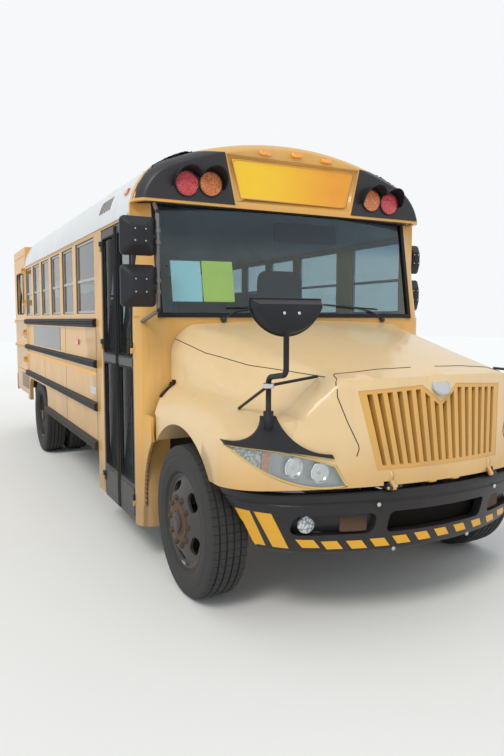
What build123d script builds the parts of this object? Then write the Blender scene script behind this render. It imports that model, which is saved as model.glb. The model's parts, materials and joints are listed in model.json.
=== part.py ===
"""School bus with a tilting nose, a twin-leaf entrance door and a raised lift door.

Millimetres, +Z up, the nose towards -Y, the entrance side towards -X.
The origin is on the ground under the middle of the length.
Stations called "back" are measured from the front corner of the body to the rear.
"""
from math import asin, cos, hypot, pi, sin
import os

from build123d import *

os.makedirs("parts", exist_ok=True)

# Overall sizes
BODY_WIDTH = 2438.0
BODY_LENGTH = 6190.0        # front corner of the body to its rear wall
NOSE_LENGTH = 1700.0        # front of the bumper to the front corner of the body
REAR_BUMPER_DEPTH = 100.0
WALL = 45.0                 # body side, rear wall and door thickness
PANEL = 30.0                # cowl and pillar thickness
GLASS = 6.0
SKIN = 8.0                  # moulded nose shell
SEAT_GAP = 0.3              # between curved faces that meet
DOOR_GAP = 6.0              # around each door

# Heights of the body
COWL_BOTTOM = 254.0
COWL_TOP = 1686.0
SKIRT_BOTTOM = 575.0
FLOOR_TOP = 990.0
FLOOR_THICK = 50.0
SILL = 1722.0
WINDOW_TOP = 2345.0
GUTTER = 2377.0
PILLAR_REAR = 70.0          # front pillars meet the sides and the roof here
ROOF_TOP = 2950.0
ROOF_SPRING = 2400.0        # where the roof starts to curve in
ROOF_CORNER = 380.0
CAP_BOTTOM = 2455.0

# Running gear
WHEELBASE = 4902.0
FRONT_AXLE_BACK = -677.0
TYRE_RADIUS = 460.0
TYRE_WIDTH = 250.0
FRONT_TRACK = 2056.0        # between the middles of the front tyres
REAR_OUTER_TRACK = 2156.0   # between the middles of the outer rear tyres
TWIN_SPACING = 292.0
RIM_RADIUS = 286.0
KINGPIN_OFFSET = 140.0      # from a front wheel's middle in to its kingpin
HUB_BORE = 45.0
RUNNING_FIT = 0.05
RAIL_SPREAD = 864.0         # over the two frame rails
RAIL_BOTTOM = 610.0
RAIL_HEIGHT = 240.0
RAIL_FLANGE = 75.0
RAIL_WEB = 10.0

# Nose
ARCH_RADIUS = 585.0
HOOD_REAR = -112.0
HOOD_BASE = 815.0
HOOD_GAP = 6.0              # between the nose shell and the cowl
HINGE_BACK = -1672.0
HINGE_HEIGHT = 806.0
HINGE_PIN = 8.0
HINGE_BOSS = 13.0
HINGE_LUG = (362.0, 380.0)  # x span of the frame's lugs
HINGE_ARM = (338.0, 356.0)  # x span of the nose's arms
HINGE_NOTCH = 836.0         # the shell is cut to this height over each hinge
FENDER_HALF_WIDTH = 1160.0
FENDER_CREASE = 1043.0

# Derived places
FRONT = -(NOSE_LENGTH + BODY_LENGTH + REAR_BUMPER_DEPTH) / 2
CORNER_Y = FRONT + NOSE_LENGTH
HALF = BODY_WIDTH / 2
INNER = HALF - WALL
AXLE_Z = TYRE_RADIUS
FLOOR_BOTTOM = FLOOR_TOP - FLOOR_THICK
RAIL_TOP = RAIL_BOTTOM + RAIL_HEIGHT


def at(back):
    """Row y of a station measured back from the front corner of the body."""
    return CORNER_Y + back


FRONT_AXLE_Y = at(FRONT_AXLE_BACK)
REAR_AXLE_Y = FRONT_AXLE_Y + WHEELBASE
REAR_Y = at(BODY_LENGTH)


def across(y):
    """Plane at a row y, its x along +X and its y along +Z; it faces the nose."""
    return Plane.XZ.offset(-y)


def block(x_span, y_span, z_span, mode=Mode.ADD):
    """Box between three pairs of coordinates."""
    spans = (x_span, y_span, z_span)
    with Locations(tuple((low + high) / 2 for low, high in spans)):
        Box(*(abs(high - low) for low, high in spans), mode=mode)


def side_prism(points, x_span, mode=Mode.ADD):
    """Prism of a side outline (y, z) between two x."""
    with BuildSketch(Plane.YZ.offset(x_span[0])) as outline:
        with BuildLine():
            Polyline(*points, close=True)
        make_face()
    extrude(outline.sketch, amount=x_span[1] - x_span[0], mode=mode)


def front_prism(points, y_span, mode=Mode.ADD):
    """Prism of a front outline (x, z) between two y."""
    with BuildSketch(across(y_span[1])) as outline:
        with BuildLine():
            Polyline(*points, close=True)
        make_face()
    extrude(outline.sketch, amount=y_span[1] - y_span[0], mode=mode)


def rod(start, end, radius, mode=Mode.ADD):
    """Round bar from one point to another."""
    run = Vector(*end) - Vector(*start)
    with BuildSketch(Plane(origin=start, z_dir=run)) as outline:
        Circle(radius)
    extrude(outline.sketch, amount=run.length, mode=mode)


def x_cylinder(x_span, y, z, radius, mode=Mode.ADD):
    """Cylinder along X between two x."""
    with BuildSketch(Plane.YZ.offset(x_span[0])) as outline:
        with Locations((y, z)):
            Circle(radius)
    extrude(outline.sketch, amount=x_span[1] - x_span[0], mode=mode)


BARREL = 9.0
BARREL_PIN = 5.0
BARREL_HALF = 38.0          # length of one knuckle of a door hinge
BARREL_GAP = 2.0


def hinge_half(pin, height, upper, plate_x, plate_y):
    """One half of a door hinge: a knuckle on the pin line and its plate.

    pin is the hinge's x and y. The upper half carries the pin, and the lower is bored for it.
    """
    low, high = (BARREL_GAP, BARREL_HALF) if upper else (-BARREL_HALF, -BARREL_GAP)
    low, high = height + low, height + high
    rod((*pin, low), (*pin, high), BARREL)
    block(plate_x, plate_y, (low, high))
    if upper:
        rod((*pin, low - BARREL_HALF), (*pin, low + 1), BARREL_PIN - RUNNING_FIT)
    else:
        rod((*pin, low), (*pin, high), BARREL_PIN, Mode.SUBTRACT)


def keep(name, builder):
    """Label a finished piece and write its STEP file."""
    builder.part.label = name
    export_step(builder.part, f"parts/{name}.step")


# Chassis frame: two channel rails and their crossmembers
FRAME_FRONT_BACK = -1480.0
FRAME_REAR_BACK = BODY_LENGTH
CROSSMEMBER_BACKS = (-1440.0, 500.0, 1500.0, 2750.0, 3560.0, 4900.0, 6080.0)
CROSSMEMBER_WIDTH = 70.0
CROSSMEMBER_HEIGHT = 80.0
RAIL_INNER_X = RAIL_SPREAD / 2 - RAIL_FLANGE
hinge_y = at(HINGE_BACK)
with BuildPart() as chassis_frame:
    frame_span = (at(FRAME_FRONT_BACK), at(FRAME_REAR_BACK))
    block((RAIL_INNER_X, RAIL_SPREAD / 2), frame_span, (RAIL_BOTTOM, RAIL_TOP))
    block((RAIL_INNER_X - 1, RAIL_SPREAD / 2 - RAIL_WEB), frame_span,
          (RAIL_BOTTOM + RAIL_WEB, RAIL_TOP - RAIL_WEB), Mode.SUBTRACT)
    mirror(about=Plane.YZ)
    for side in (-1, 1):
        # lug that carries the nose's hinge pin
        lug_x = tuple(side * x for x in HINGE_LUG)
        side_prism(((hinge_y, HINGE_HEIGHT - HINGE_BOSS),
                    (at(FRAME_FRONT_BACK) + 10, HINGE_HEIGHT - HINGE_BOSS),
                    (at(FRAME_FRONT_BACK) + 10, RAIL_TOP - 1), (at(FRAME_FRONT_BACK) - 30, RAIL_TOP - 1),
                    (hinge_y + 30, HINGE_HEIGHT + HINGE_BOSS), (hinge_y, HINGE_HEIGHT + HINGE_BOSS)), lug_x)
        x_cylinder(lug_x, hinge_y, HINGE_HEIGHT, HINGE_BOSS)
        x_cylinder(lug_x, hinge_y, HINGE_HEIGHT, HINGE_PIN, Mode.SUBTRACT)
    for back in CROSSMEMBER_BACKS:
        block((-RAIL_SPREAD / 2 + RAIL_WEB, RAIL_SPREAD / 2 - RAIL_WEB),
              (at(back) - CROSSMEMBER_WIDTH / 2, at(back) + CROSSMEMBER_WIDTH / 2),
              (RAIL_TOP - CROSSMEMBER_HEIGHT, RAIL_TOP - RAIL_WEB))
keep("chassis_frame", chassis_frame)


# Springs: a pack of leaves on concentric arcs, hung from a rail by its eyes
SPRING_WIDTH = 76.0
LEAF = 14.0
LEAF_BITE = 1.0             # each leaf into the one above
CAMBER = 66.0
EYE = 38.0                  # half length of a hanger
PAD = 64.0                  # half length of a spring's pad on its axle


def spring_pack(spring_x, axle_y, seat_z, half_length, leaves, hanger_x, hanger_top):
    """Stacked leaves at a signed x, shorter towards the axle, with a hanger at each end.

    seat_z is the pack's underside at the axle; the hangers span hanger_x and end at hanger_top.
    """
    radius = (half_length ** 2 + CAMBER ** 2) / (2 * CAMBER)
    centre_z = seat_z + leaves * LEAF + radius
    with BuildSketch(Plane.YZ.offset(spring_x - SPRING_WIDTH / 2)) as pack:
        for leaf in range(leaves):
            top_radius = radius + leaf * LEAF - LEAF_BITE
            low_radius = radius + (leaf + 1) * LEAF
            angle = asin(half_length * (1 - leaf / (leaves + 1)) / low_radius)
            tips = [(end * r * sin(angle), centre_z - r * cos(angle))
                    for r, end in ((top_radius, -1), (top_radius, 1), (low_radius, 1), (low_radius, -1))]
            top_left, top_right, low_right, low_left = ((axle_y + y, z) for y, z in tips)
            with BuildLine():
                ThreePointArc(top_left, (axle_y, centre_z - top_radius), top_right)
                Line(top_right, low_right)
                ThreePointArc(low_right, (axle_y, centre_z - low_radius), low_left)
                Line(low_left, top_left)
            make_face()
    extrude(pack.sketch, amount=SPRING_WIDTH)
    eye_z = centre_z - radius + CAMBER - LEAF
    for end in (-1, 1):
        eye_y = axle_y + end * (half_length - EYE)
        block(hanger_x, (eye_y - EYE, eye_y + EYE), (eye_z, hanger_top))


# Front axle: dropped beam, springs and the kingpin bosses at its ends
KINGPIN_X = FRONT_TRACK / 2 - KINGPIN_OFFSET
KINGPIN_BOSS = 38.0
KINGPIN = 18.0
KINGPIN_HALF_HEIGHT = 55.0
BEAM_HALF_DEPTH = 45.0
BEAM_DROP = 70.0
BEAM_HEIGHT = 90.0
BEAM_FLAT_X = 560.0
BEAM_TOP = AXLE_Z - BEAM_DROP
FRONT_LEAVES = 3
FRONT_SPRING_X = RAIL_SPREAD / 2 - SPRING_WIDTH / 2
FRONT_SPRING_HALF = 620.0
YOKE_THICK = 22.0
YOKE_HALF_DEPTH = 42.0
YOKE_GAP = 2.0              # above and below the boss
YOKE_SWEEP = hypot(KINGPIN_BOSS, YOKE_HALF_DEPTH) + 6.0     # a turning yoke stays within this of the kingpin
with BuildPart() as front_axle:
    front_prism(((-BEAM_FLAT_X, BEAM_TOP - BEAM_HEIGHT), (BEAM_FLAT_X, BEAM_TOP - BEAM_HEIGHT),
                 (KINGPIN_X, AXLE_Z - KINGPIN_HALF_HEIGHT), (KINGPIN_X, AXLE_Z + KINGPIN_HALF_HEIGHT),
                 (BEAM_FLAT_X, BEAM_TOP), (-BEAM_FLAT_X, BEAM_TOP),
                 (-KINGPIN_X, AXLE_Z + KINGPIN_HALF_HEIGHT), (-KINGPIN_X, AXLE_Z - KINGPIN_HALF_HEIGHT)),
                (FRONT_AXLE_Y - BEAM_HALF_DEPTH, FRONT_AXLE_Y + BEAM_HALF_DEPTH))
    for side in (-1, 1):
        # the eye is turned down to a round boss, clear of the knuckle
        block((side * (KINGPIN_X - YOKE_SWEEP), side * (KINGPIN_X + 2 * KINGPIN_BOSS)),
              (FRONT_AXLE_Y - 2 * KINGPIN_BOSS, FRONT_AXLE_Y + 2 * KINGPIN_BOSS),
              (AXLE_Z - 2 * KINGPIN_HALF_HEIGHT, AXLE_Z + 2 * KINGPIN_HALF_HEIGHT), Mode.SUBTRACT)
        with Locations((side * KINGPIN_X, FRONT_AXLE_Y, AXLE_Z)):
            Cylinder(KINGPIN_BOSS, 2 * KINGPIN_HALF_HEIGHT)
        block((side * (KINGPIN_X - YOKE_SWEEP - 14), side * KINGPIN_X),
              (FRONT_AXLE_Y - KINGPIN_BOSS / 2, FRONT_AXLE_Y + KINGPIN_BOSS / 2),
              (AXLE_Z - KINGPIN_HALF_HEIGHT, AXLE_Z + KINGPIN_HALF_HEIGHT))
        with Locations((side * KINGPIN_X, FRONT_AXLE_Y, AXLE_Z)):
            Cylinder(KINGPIN, 4 * KINGPIN_HALF_HEIGHT, mode=Mode.SUBTRACT)
        hanger_x = (side * FRONT_SPRING_X - SPRING_WIDTH / 2, side * FRONT_SPRING_X + SPRING_WIDTH / 2)
        block((hanger_x[0] - 6, hanger_x[1] + 6), (FRONT_AXLE_Y - PAD, FRONT_AXLE_Y + PAD),
              (BEAM_TOP - 12, BEAM_TOP + 14))
        spring_pack(side * FRONT_SPRING_X, FRONT_AXLE_Y, BEAM_TOP + 6, FRONT_SPRING_HALF, FRONT_LEAVES,
                    hanger_x, RAIL_BOTTOM)
keep("front_axle", front_axle)


# Steering knuckles: a yoke over the boss, the spindle and a steering arm
SPINDLE_END = 80.0          # outwards of the wheel's middle
PLATE_GAP = 12.0            # from the boss to the knuckle's upright plate
STEERING_ARM = (30.0, 130.0)    # width, length


def steering_knuckle(side):
    """Knuckle of one side; side is -1 at the entrance side and 1 at the driver's."""
    outer_x = KINGPIN_X + KINGPIN_BOSS + PLATE_GAP
    yoke_top = KINGPIN_HALF_HEIGHT + YOKE_GAP + YOKE_THICK
    with BuildPart() as knuckle:
        for end in (-1, 1):
            block((side * (KINGPIN_X - KINGPIN_BOSS), side * (outer_x + YOKE_THICK)),
                  (FRONT_AXLE_Y - YOKE_HALF_DEPTH, FRONT_AXLE_Y + YOKE_HALF_DEPTH),
                  (AXLE_Z + end * (yoke_top - YOKE_THICK), AXLE_Z + end * yoke_top))
        block((side * outer_x, side * (outer_x + YOKE_THICK)),
              (FRONT_AXLE_Y - YOKE_HALF_DEPTH, FRONT_AXLE_Y + YOKE_HALF_DEPTH),
              (AXLE_Z - yoke_top, AXLE_Z + yoke_top))
        with Locations((side * KINGPIN_X, FRONT_AXLE_Y, AXLE_Z)):
            Cylinder(KINGPIN - RUNNING_FIT, 2 * yoke_top)
        x_cylinder((side * (outer_x + YOKE_THICK), side * (FRONT_TRACK / 2 + SPINDLE_END)),
                   FRONT_AXLE_Y, AXLE_Z, HUB_BORE - RUNNING_FIT)
        arm_width, arm_length = STEERING_ARM
        block((side * (KINGPIN_X - arm_width / 2), side * (KINGPIN_X + arm_width / 2)),
              (FRONT_AXLE_Y + YOKE_HALF_DEPTH, FRONT_AXLE_Y + YOKE_HALF_DEPTH + arm_length),
              (AXLE_Z - yoke_top, AXLE_Z - yoke_top + YOKE_THICK))
    return knuckle


for knuckle_name, knuckle_side in (("knuckle_right", -1), ("knuckle_left", 1)):
    keep(knuckle_name, steering_knuckle(knuckle_side))


# Rear axle: banjo housing, tubes, spindles, springs
REAR_TUBE = 70.0
REAR_BANJO = 205.0
REAR_TUBE_X = 600.0
REAR_LEAVES = 5
SPINDLE_REACH = 58.0
REAR_SPRING_X = RAIL_SPREAD / 2 + 60.0
REAR_SPRING_HALF = 700.0
with BuildPart() as rear_axle:
    x_cylinder((-REAR_TUBE_X, REAR_TUBE_X), REAR_AXLE_Y, AXLE_Z, REAR_TUBE)
    x_cylinder((-REAR_BANJO / 2, REAR_BANJO / 2), REAR_AXLE_Y, AXLE_Z, REAR_BANJO)
    x_cylinder((-REAR_OUTER_TRACK / 2 - SPINDLE_REACH, REAR_OUTER_TRACK / 2 + SPINDLE_REACH),
               REAR_AXLE_Y, AXLE_Z, HUB_BORE - RUNNING_FIT)
    for side in (-1, 1):
        hanger_x = (side * RAIL_SPREAD / 2, side * (REAR_SPRING_X + SPRING_WIDTH / 2))
        pad_x = (side * (REAR_SPRING_X - SPRING_WIDTH / 2 - 6), side * (REAR_SPRING_X + SPRING_WIDTH / 2 + 6))
        block(pad_x, (REAR_AXLE_Y - PAD, REAR_AXLE_Y + PAD), (AXLE_Z, AXLE_Z + REAR_TUBE + 6))
        spring_pack(side * REAR_SPRING_X, REAR_AXLE_Y, AXLE_Z + REAR_TUBE - 6, REAR_SPRING_HALF, REAR_LEAVES,
                    hanger_x, RAIL_TOP - 60)
keep("rear_axle", rear_axle)


# Tyres and wheels: each turned from one section
RIM_EDGE = 30.0             # from the tyre's wall in to the rim's edge
TREAD_EDGE = 22.0           # from the tyre's wall in to its tread
WALL_BULGE = 75.0           # from the rim out to the widest part of the wall
SHOULDER = (42.0, 8.0)      # the shoulder's two corners in from the tread


def tyre_ring(middle_x, axle_y):
    """Tyre ring around the X axis: tread, two shoulders, two bulged walls."""
    half = TYRE_WIDTH / 2
    tread_half = half - TREAD_EDGE
    bead_half = half - RIM_EDGE
    low, high = SHOULDER
    section = ((RIM_RADIUS, -bead_half), (RIM_RADIUS, bead_half),
               (RIM_RADIUS + WALL_BULGE, half), (TYRE_RADIUS - low, half - 4.0),
               (TYRE_RADIUS - high, tread_half), (TYRE_RADIUS, tread_half - 26.0),
               (TYRE_RADIUS, 26.0 - tread_half), (TYRE_RADIUS - high, -tread_half),
               (TYRE_RADIUS - low, 4.0 - half), (RIM_RADIUS + WALL_BULGE, -half))
    ring_plane = Plane(origin=(middle_x, axle_y, AXLE_Z), x_dir=(0, 0, 1), z_dir=(0, 1, 0))
    with BuildSketch(ring_plane) as outline:
        with BuildLine():
            Polyline(*section, close=True)
        make_face()
    revolve(outline.sketch, axis=Axis((middle_x, axle_y, AXLE_Z), (1, 0, 0)))


RIM_WALL = 12.0
DISC_THICK = 14.0
DISC_WELD = 30.0            # from the rim's edge in to the disc's weld
HAND_HOLES = 5
HAND_HOLE = (124.0, 60.0)   # length round the wheel, width
HAND_HOLE_CIRCLE = 214.0
HAND_HOLE_TURN = -8.0       # of the first hole from straight behind the axle, in degrees
STUD_CIRCLE = 285.75 / 2
STUD_LAND = 22.0            # flat of the disc outside the studs
HUB_RADIUS = 90.0
HUB_CAP_RADIUS = 56.0
HUB_INNER = 30.0            # a front hub's inner end from the wheel's middle
FRONT_DISH = 128.0          # a front disc's face outwards of the wheel's middle
FRONT_CAP = 150.0           # its hub cap's end
REAR_HUB = (40.0, 95.0)     # a rear hub's and its cap's ends outwards of the outer wheel's middle


def disc_wheel(middle_x, axle_y, side, dish):
    """Steel wheel: rim barrel, dished disc with hand holes and its hub.

    The disc's face is dish outwards of the wheel's middle; side gives outwards.
    """
    half = TYRE_WIDTH / 2 - RIM_EDGE
    barrel_out = RIM_RADIUS - SEAT_GAP
    barrel_in = barrel_out - RIM_WALL
    weld = max(min(dish, half - DISC_WELD), DISC_WELD - half)
    land = STUD_CIRCLE + STUD_LAND
    section = ((barrel_out, -half), (barrel_out, half), (barrel_in, half),
               (barrel_in, weld + DISC_THICK), (land, dish),
               (HUB_RADIUS - 5.0, dish), (HUB_RADIUS - 5.0, dish - DISC_THICK),
               (land, dish - DISC_THICK), (barrel_in, weld - DISC_THICK),
               (barrel_in, -half))
    turned = [(radius, side * reach) for radius, reach in section]
    wheel_plane = Plane(origin=(middle_x, axle_y, AXLE_Z), x_dir=(0, 0, 1), z_dir=(0, 1, 0))
    with BuildSketch(wheel_plane) as outline:
        with BuildLine():
            Polyline(*turned, close=True)
        make_face()
    revolve(outline.sketch, axis=Axis((middle_x, axle_y, AXLE_Z), (1, 0, 0)))
    hole_plane = Plane(origin=(middle_x, axle_y, AXLE_Z), x_dir=(0, 1, 0), z_dir=(1, 0, 0))
    reach = TYRE_WIDTH / 2
    with BuildSketch(hole_plane.offset(side * ((dish + weld) / 2 - reach / 2))) as holes:
        with PolarLocations(HAND_HOLE_CIRCLE, HAND_HOLES, start_angle=HAND_HOLE_TURN):
            SlotOverall(*HAND_HOLE, rotation=90)
    extrude(holes.sketch, amount=side * reach, mode=Mode.SUBTRACT)


def hub(x_span, axle_y, cap_x):
    """Hub drum from one x to another, bored for the spindle, with its cap."""
    x_cylinder(x_span, axle_y, AXLE_Z, HUB_RADIUS)
    x_cylinder((x_span[1], cap_x), axle_y, AXLE_Z, HUB_CAP_RADIUS)
    x_cylinder((x_span[0] * 2 - x_span[1], cap_x * 0.5 + x_span[1] * 0.5), axle_y, AXLE_Z, HUB_BORE,
               Mode.SUBTRACT)


for corner, corner_side in (("front_right", -1), ("front_left", 1)):
    wheel_x = corner_side * FRONT_TRACK / 2
    with BuildPart() as tyre:
        tyre_ring(wheel_x, FRONT_AXLE_Y)
    keep(f"tyre_{corner}", tyre)
    with BuildPart() as wheel:
        disc_wheel(wheel_x, FRONT_AXLE_Y, corner_side, FRONT_DISH)
        hub((wheel_x - corner_side * HUB_INNER, wheel_x + corner_side * FRONT_DISH), FRONT_AXLE_Y,
            wheel_x + corner_side * FRONT_CAP)
    keep(f"wheel_{corner}", wheel)

for corner, corner_side in (("rear_right", -1), ("rear_left", 1)):
    outer_x = corner_side * REAR_OUTER_TRACK / 2
    inner_x = outer_x - corner_side * TWIN_SPACING
    with BuildPart() as tyre:
        tyre_ring(outer_x, REAR_AXLE_Y)
        tyre_ring(inner_x, REAR_AXLE_Y)
    keep(f"tyre_{corner}", tyre)
    with BuildPart() as wheel:
        disc_wheel(outer_x, REAR_AXLE_Y, corner_side, -TWIN_SPACING / 2 + DISC_THICK)
        disc_wheel(inner_x, REAR_AXLE_Y, corner_side, TWIN_SPACING / 2)
        hub((inner_x, outer_x + corner_side * REAR_HUB[0]), REAR_AXLE_Y, outer_x + corner_side * REAR_HUB[1])
    keep(f"wheel_{corner}", wheel)


# Engine with its radiator, driveline with exhaust, and the fuel tank
ENGINE_SPAN = (-1150.0, -160.0)
ENGINE_HALF = 330.0
ENGINE_TOP = 1240.0
SUMP_HALF = 250.0
SUMP_INSET = (60.0, 20.0)   # from the engine's front; above the rails' bottom
ENGINE_MOUNT = -760.0       # back of the beam that carries it
MOUNT_BEAM = (80.0, 60.0)   # length, height
RADIATOR_GAP = 6.0          # to the rails' flanges
RADIATOR_BACKS = (-1450.0, -1390.0)
RADIATOR_TOP = 1262.0
ENGINE_REAR_Y = at(ENGINE_SPAN[1])
with BuildPart() as engine:
    block((-ENGINE_HALF, ENGINE_HALF), (at(ENGINE_SPAN[0]), ENGINE_REAR_Y), (RAIL_TOP, ENGINE_TOP))
    block((-SUMP_HALF, SUMP_HALF), (at(ENGINE_SPAN[0]) + SUMP_INSET[0], ENGINE_REAR_Y),
          (RAIL_BOTTOM + SUMP_INSET[1], RAIL_TOP))
    beam_length, beam_height = MOUNT_BEAM
    block((RAIL_WEB - RAIL_SPREAD / 2, RAIL_SPREAD / 2 - RAIL_WEB),
          (at(ENGINE_MOUNT) - beam_length / 2, at(ENGINE_MOUNT) + beam_length / 2),
          (RAIL_TOP - 2 * beam_height, RAIL_TOP - beam_height))
    # the radiator stands on the first crossmember
    block((RADIATOR_GAP - RAIL_INNER_X, RAIL_INNER_X - RADIATOR_GAP), (at(RADIATOR_BACKS[0]), at(RADIATOR_BACKS[1])),
          (RAIL_TOP - RAIL_WEB, RADIATOR_TOP))
keep("engine", engine)

GEARBOX_HALF = 150.0
GEARBOX_REAR = 420.0
GEARBOX_INSET = (30.0, 60.0)    # above the rails' bottom and below their top
SHAFT_RADIUS = 50.0
SHAFT_START = (400.0, 90.0)     # back; height above the rails' bottom
SHAFT_END = (60.0, 20.0)        # into the axle's housing; above its middle
EXHAUST_X = -180.0
EXHAUST_RISE = 70.0             # above the rails' bottom
EXHAUST_RADIUS = 45.0
EXHAUST_BACKS = (380.0, BODY_LENGTH - 60.0)
MUFFLER = (2850.0, 3450.0, 85.0)    # front and rear backs, radius
with BuildPart() as driveline:
    block((-GEARBOX_HALF, GEARBOX_HALF), (ENGINE_REAR_Y, at(GEARBOX_REAR)),
          (RAIL_BOTTOM + GEARBOX_INSET[0], RAIL_TOP - GEARBOX_INSET[1]))
    rod((0, at(SHAFT_START[0]), RAIL_BOTTOM + SHAFT_START[1]),
        (0, REAR_AXLE_Y - REAR_BANJO + SHAFT_END[0], AXLE_Z + SHAFT_END[1]), SHAFT_RADIUS)
    exhaust_z = RAIL_BOTTOM + EXHAUST_RISE
    for front, rear, radius in ((*EXHAUST_BACKS, EXHAUST_RADIUS), MUFFLER):
        rod((EXHAUST_X, at(front), exhaust_z), (EXHAUST_X, at(rear), exhaust_z), radius)
    add(rear_axle.part, mode=Mode.SUBTRACT)
keep("driveline", driveline)

TANK_BACKS = (1700.0, 2650.0)
TANK_WIDTH = 420.0
with BuildPart() as fuel_tank:
    block((RAIL_SPREAD / 2 + 60, RAIL_SPREAD / 2 + 60 + TANK_WIDTH), (at(TANK_BACKS[0]), at(TANK_BACKS[1])),
          (RAIL_BOTTOM - 60, RAIL_TOP - 20))
    fillet(fuel_tank.edges().filter_by(Axis.Y), 60)
    for back in (TANK_BACKS[0] + 200, TANK_BACKS[1] - 200):
        block((RAIL_SPREAD / 2, RAIL_SPREAD / 2 + 90), (at(back) - 40, at(back) + 40),
              (RAIL_BOTTOM + 40, RAIL_TOP - 80))
keep("fuel_tank", fuel_tank)


# Entrance: door opening, its hinges, steps and their well
DOOR_FRONT = 26.0
DOOR_REAR = 846.0
DOOR_BOTTOM = 261.0
DOOR_TOP = 2356.0
PLATE = 20.0                # length of a hinge's plate beside its pin
ENTRANCE_PIN_X = -HALF - BARREL - 1.0
FRONT_LEAF_PIN = (ENTRANCE_PIN_X, at(DOOR_FRONT - DOOR_GAP / 2))
REAR_LEAF_PIN = (ENTRANCE_PIN_X, at(DOOR_REAR + DOOR_GAP / 2))
LOW_HINGES = (420.0, 1480.0)
HIGH_HINGE = 2240.0
STEP_COUNT = 3
STEP_PLATE = 25.0
FIRST_STEP = 330.0
STEP_DEPTH = 230.0
STEP_RISE = (FLOOR_TOP - FIRST_STEP) / STEP_COUNT
WELL_INNER_X = -INNER + STEP_COUNT * STEP_DEPTH
WELL_FRONT = 60.0
WELL_REAR = 840.0
with BuildPart() as stepwell:
    for step in range(STEP_COUNT):
        tread_x = -INNER + step * STEP_DEPTH
        tread_top = FIRST_STEP + step * STEP_RISE
        block((tread_x, tread_x + STEP_DEPTH), (at(WELL_FRONT), at(WELL_REAR)),
              (tread_top - STEP_PLATE, tread_top))
        riser_top = min(tread_top + STEP_RISE, FLOOR_BOTTOM)
        block((tread_x + STEP_DEPTH - STEP_PLATE, tread_x + STEP_DEPTH), (at(WELL_FRONT), at(WELL_REAR)),
              (tread_top, riser_top))
    stair = [(-INNER, FIRST_STEP - STEP_PLATE), (-INNER, FLOOR_BOTTOM), (WELL_INNER_X, FLOOR_BOTTOM)]
    for step in reversed(range(STEP_COUNT)):
        tread_top = FIRST_STEP + step * STEP_RISE
        stair.append((-INNER + (step + 1) * STEP_DEPTH, tread_top - STEP_PLATE))
        if step:
            stair.append((-INNER + step * STEP_DEPTH, tread_top - STEP_PLATE))
    front_prism(stair, (at(WELL_FRONT), at(WELL_FRONT) + STEP_PLATE))
    front_prism(stair, (at(WELL_REAR) - STEP_PLATE, at(WELL_REAR)))
keep("stepwell", stepwell)


# Floor with its cross sills on the rails
FLOOR_FRONT = WELL_FRONT
SILL_COUNT = 9
WHEEL_HOUSE_X = 600.0
WHEEL_HOUSE_GAP = 40.0
with BuildPart() as floor:
    block((-INNER, INNER), (at(FLOOR_FRONT), REAR_Y - WALL), (FLOOR_BOTTOM, FLOOR_TOP))
    block((-INNER, WELL_INNER_X), (at(FLOOR_FRONT), at(WELL_REAR)), (FLOOR_BOTTOM, FLOOR_TOP),
          Mode.SUBTRACT)
    for number in range(SILL_COUNT):
        sill_y = at(FLOOR_FRONT) + 1000 + number * (BODY_LENGTH - 1200) / SILL_COUNT
        block((-INNER, INNER), (sill_y - 25, sill_y + 25), (RAIL_TOP, FLOOR_BOTTOM))
    # wheel houses leave the rear tyres free
    for side in (-1, 1):
        block((side * WHEEL_HOUSE_X, side * INNER),
              (REAR_AXLE_Y - TYRE_RADIUS - WHEEL_HOUSE_GAP, REAR_AXLE_Y + TYRE_RADIUS + WHEEL_HOUSE_GAP),
              (RAIL_TOP, FLOOR_BOTTOM), Mode.SUBTRACT)
keep("floor", floor)

# Grab rails at each end of the steps, from the first tread to the last
GRAB_RADIUS = 15.0
GRAB_WALL_GAP = 6.0         # from a rail to the well's end wall
GRAB_LOW = (90.0, 1240.0)   # in from the door, height of the lower bend
GRAB_HIGH = (60.0, 1780.0)  # out from the well's inner end, height of the upper bend
GRAB_BEND = 80.0
with BuildPart() as grab_rails:
    low_x = -INNER + GRAB_LOW[0]
    high_x = WELL_INNER_X - GRAB_HIGH[0]
    last_tread = FIRST_STEP + (STEP_COUNT - 1) * STEP_RISE
    for rail_back in (WELL_FRONT + STEP_PLATE + GRAB_WALL_GAP + GRAB_RADIUS,
                      WELL_REAR - STEP_PLATE - GRAB_WALL_GAP - GRAB_RADIUS):
        with BuildLine() as grab_line:
            FilletPolyline((low_x, at(rail_back), FIRST_STEP), (low_x, at(rail_back), GRAB_LOW[1]),
                           (high_x, at(rail_back), GRAB_HIGH[1]), (high_x, at(rail_back), last_tread),
                           radius=GRAB_BEND)
        with BuildSketch(Plane(origin=(low_x, at(rail_back), FIRST_STEP), z_dir=(0, 0, 1))):
            Circle(GRAB_RADIUS)
        sweep(path=grab_line.wires()[0])
keep("grab_rails", grab_rails)

# Mud flaps hung from the floor behind the rear wheels
FLAP_X = (700.0, 1160.0)
FLAP_BEHIND = 640.0         # from the rear axle
FLAP_THICK = 10.0
FLAP_BOTTOM = 250.0
with BuildPart() as mud_flaps:
    flap_y = (REAR_AXLE_Y + FLAP_BEHIND, REAR_AXLE_Y + FLAP_BEHIND + FLAP_THICK)
    for side in (-1, 1):
        block((side * FLAP_X[0], side * FLAP_X[1]), flap_y, (FLAP_BOTTOM, FLOOR_BOTTOM))
keep("mud_flaps", mud_flaps)


# Windows: one wide light, then equal lights along each side
FIRST_WINDOW = (1090.0, 1812.0)
PILLAR_START = 1879.0
WINDOW_PITCH = 643.0
PILLAR_HALF = 60.0
DRIVER_WINDOW = (150.0, 850.0)
LIFT_FRONT = 5092.0
LIFT_REAR = 6110.0
SASH = 24.0
SASH_DEPTH = 22.0
MID_RAIL = 2010.0


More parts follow.
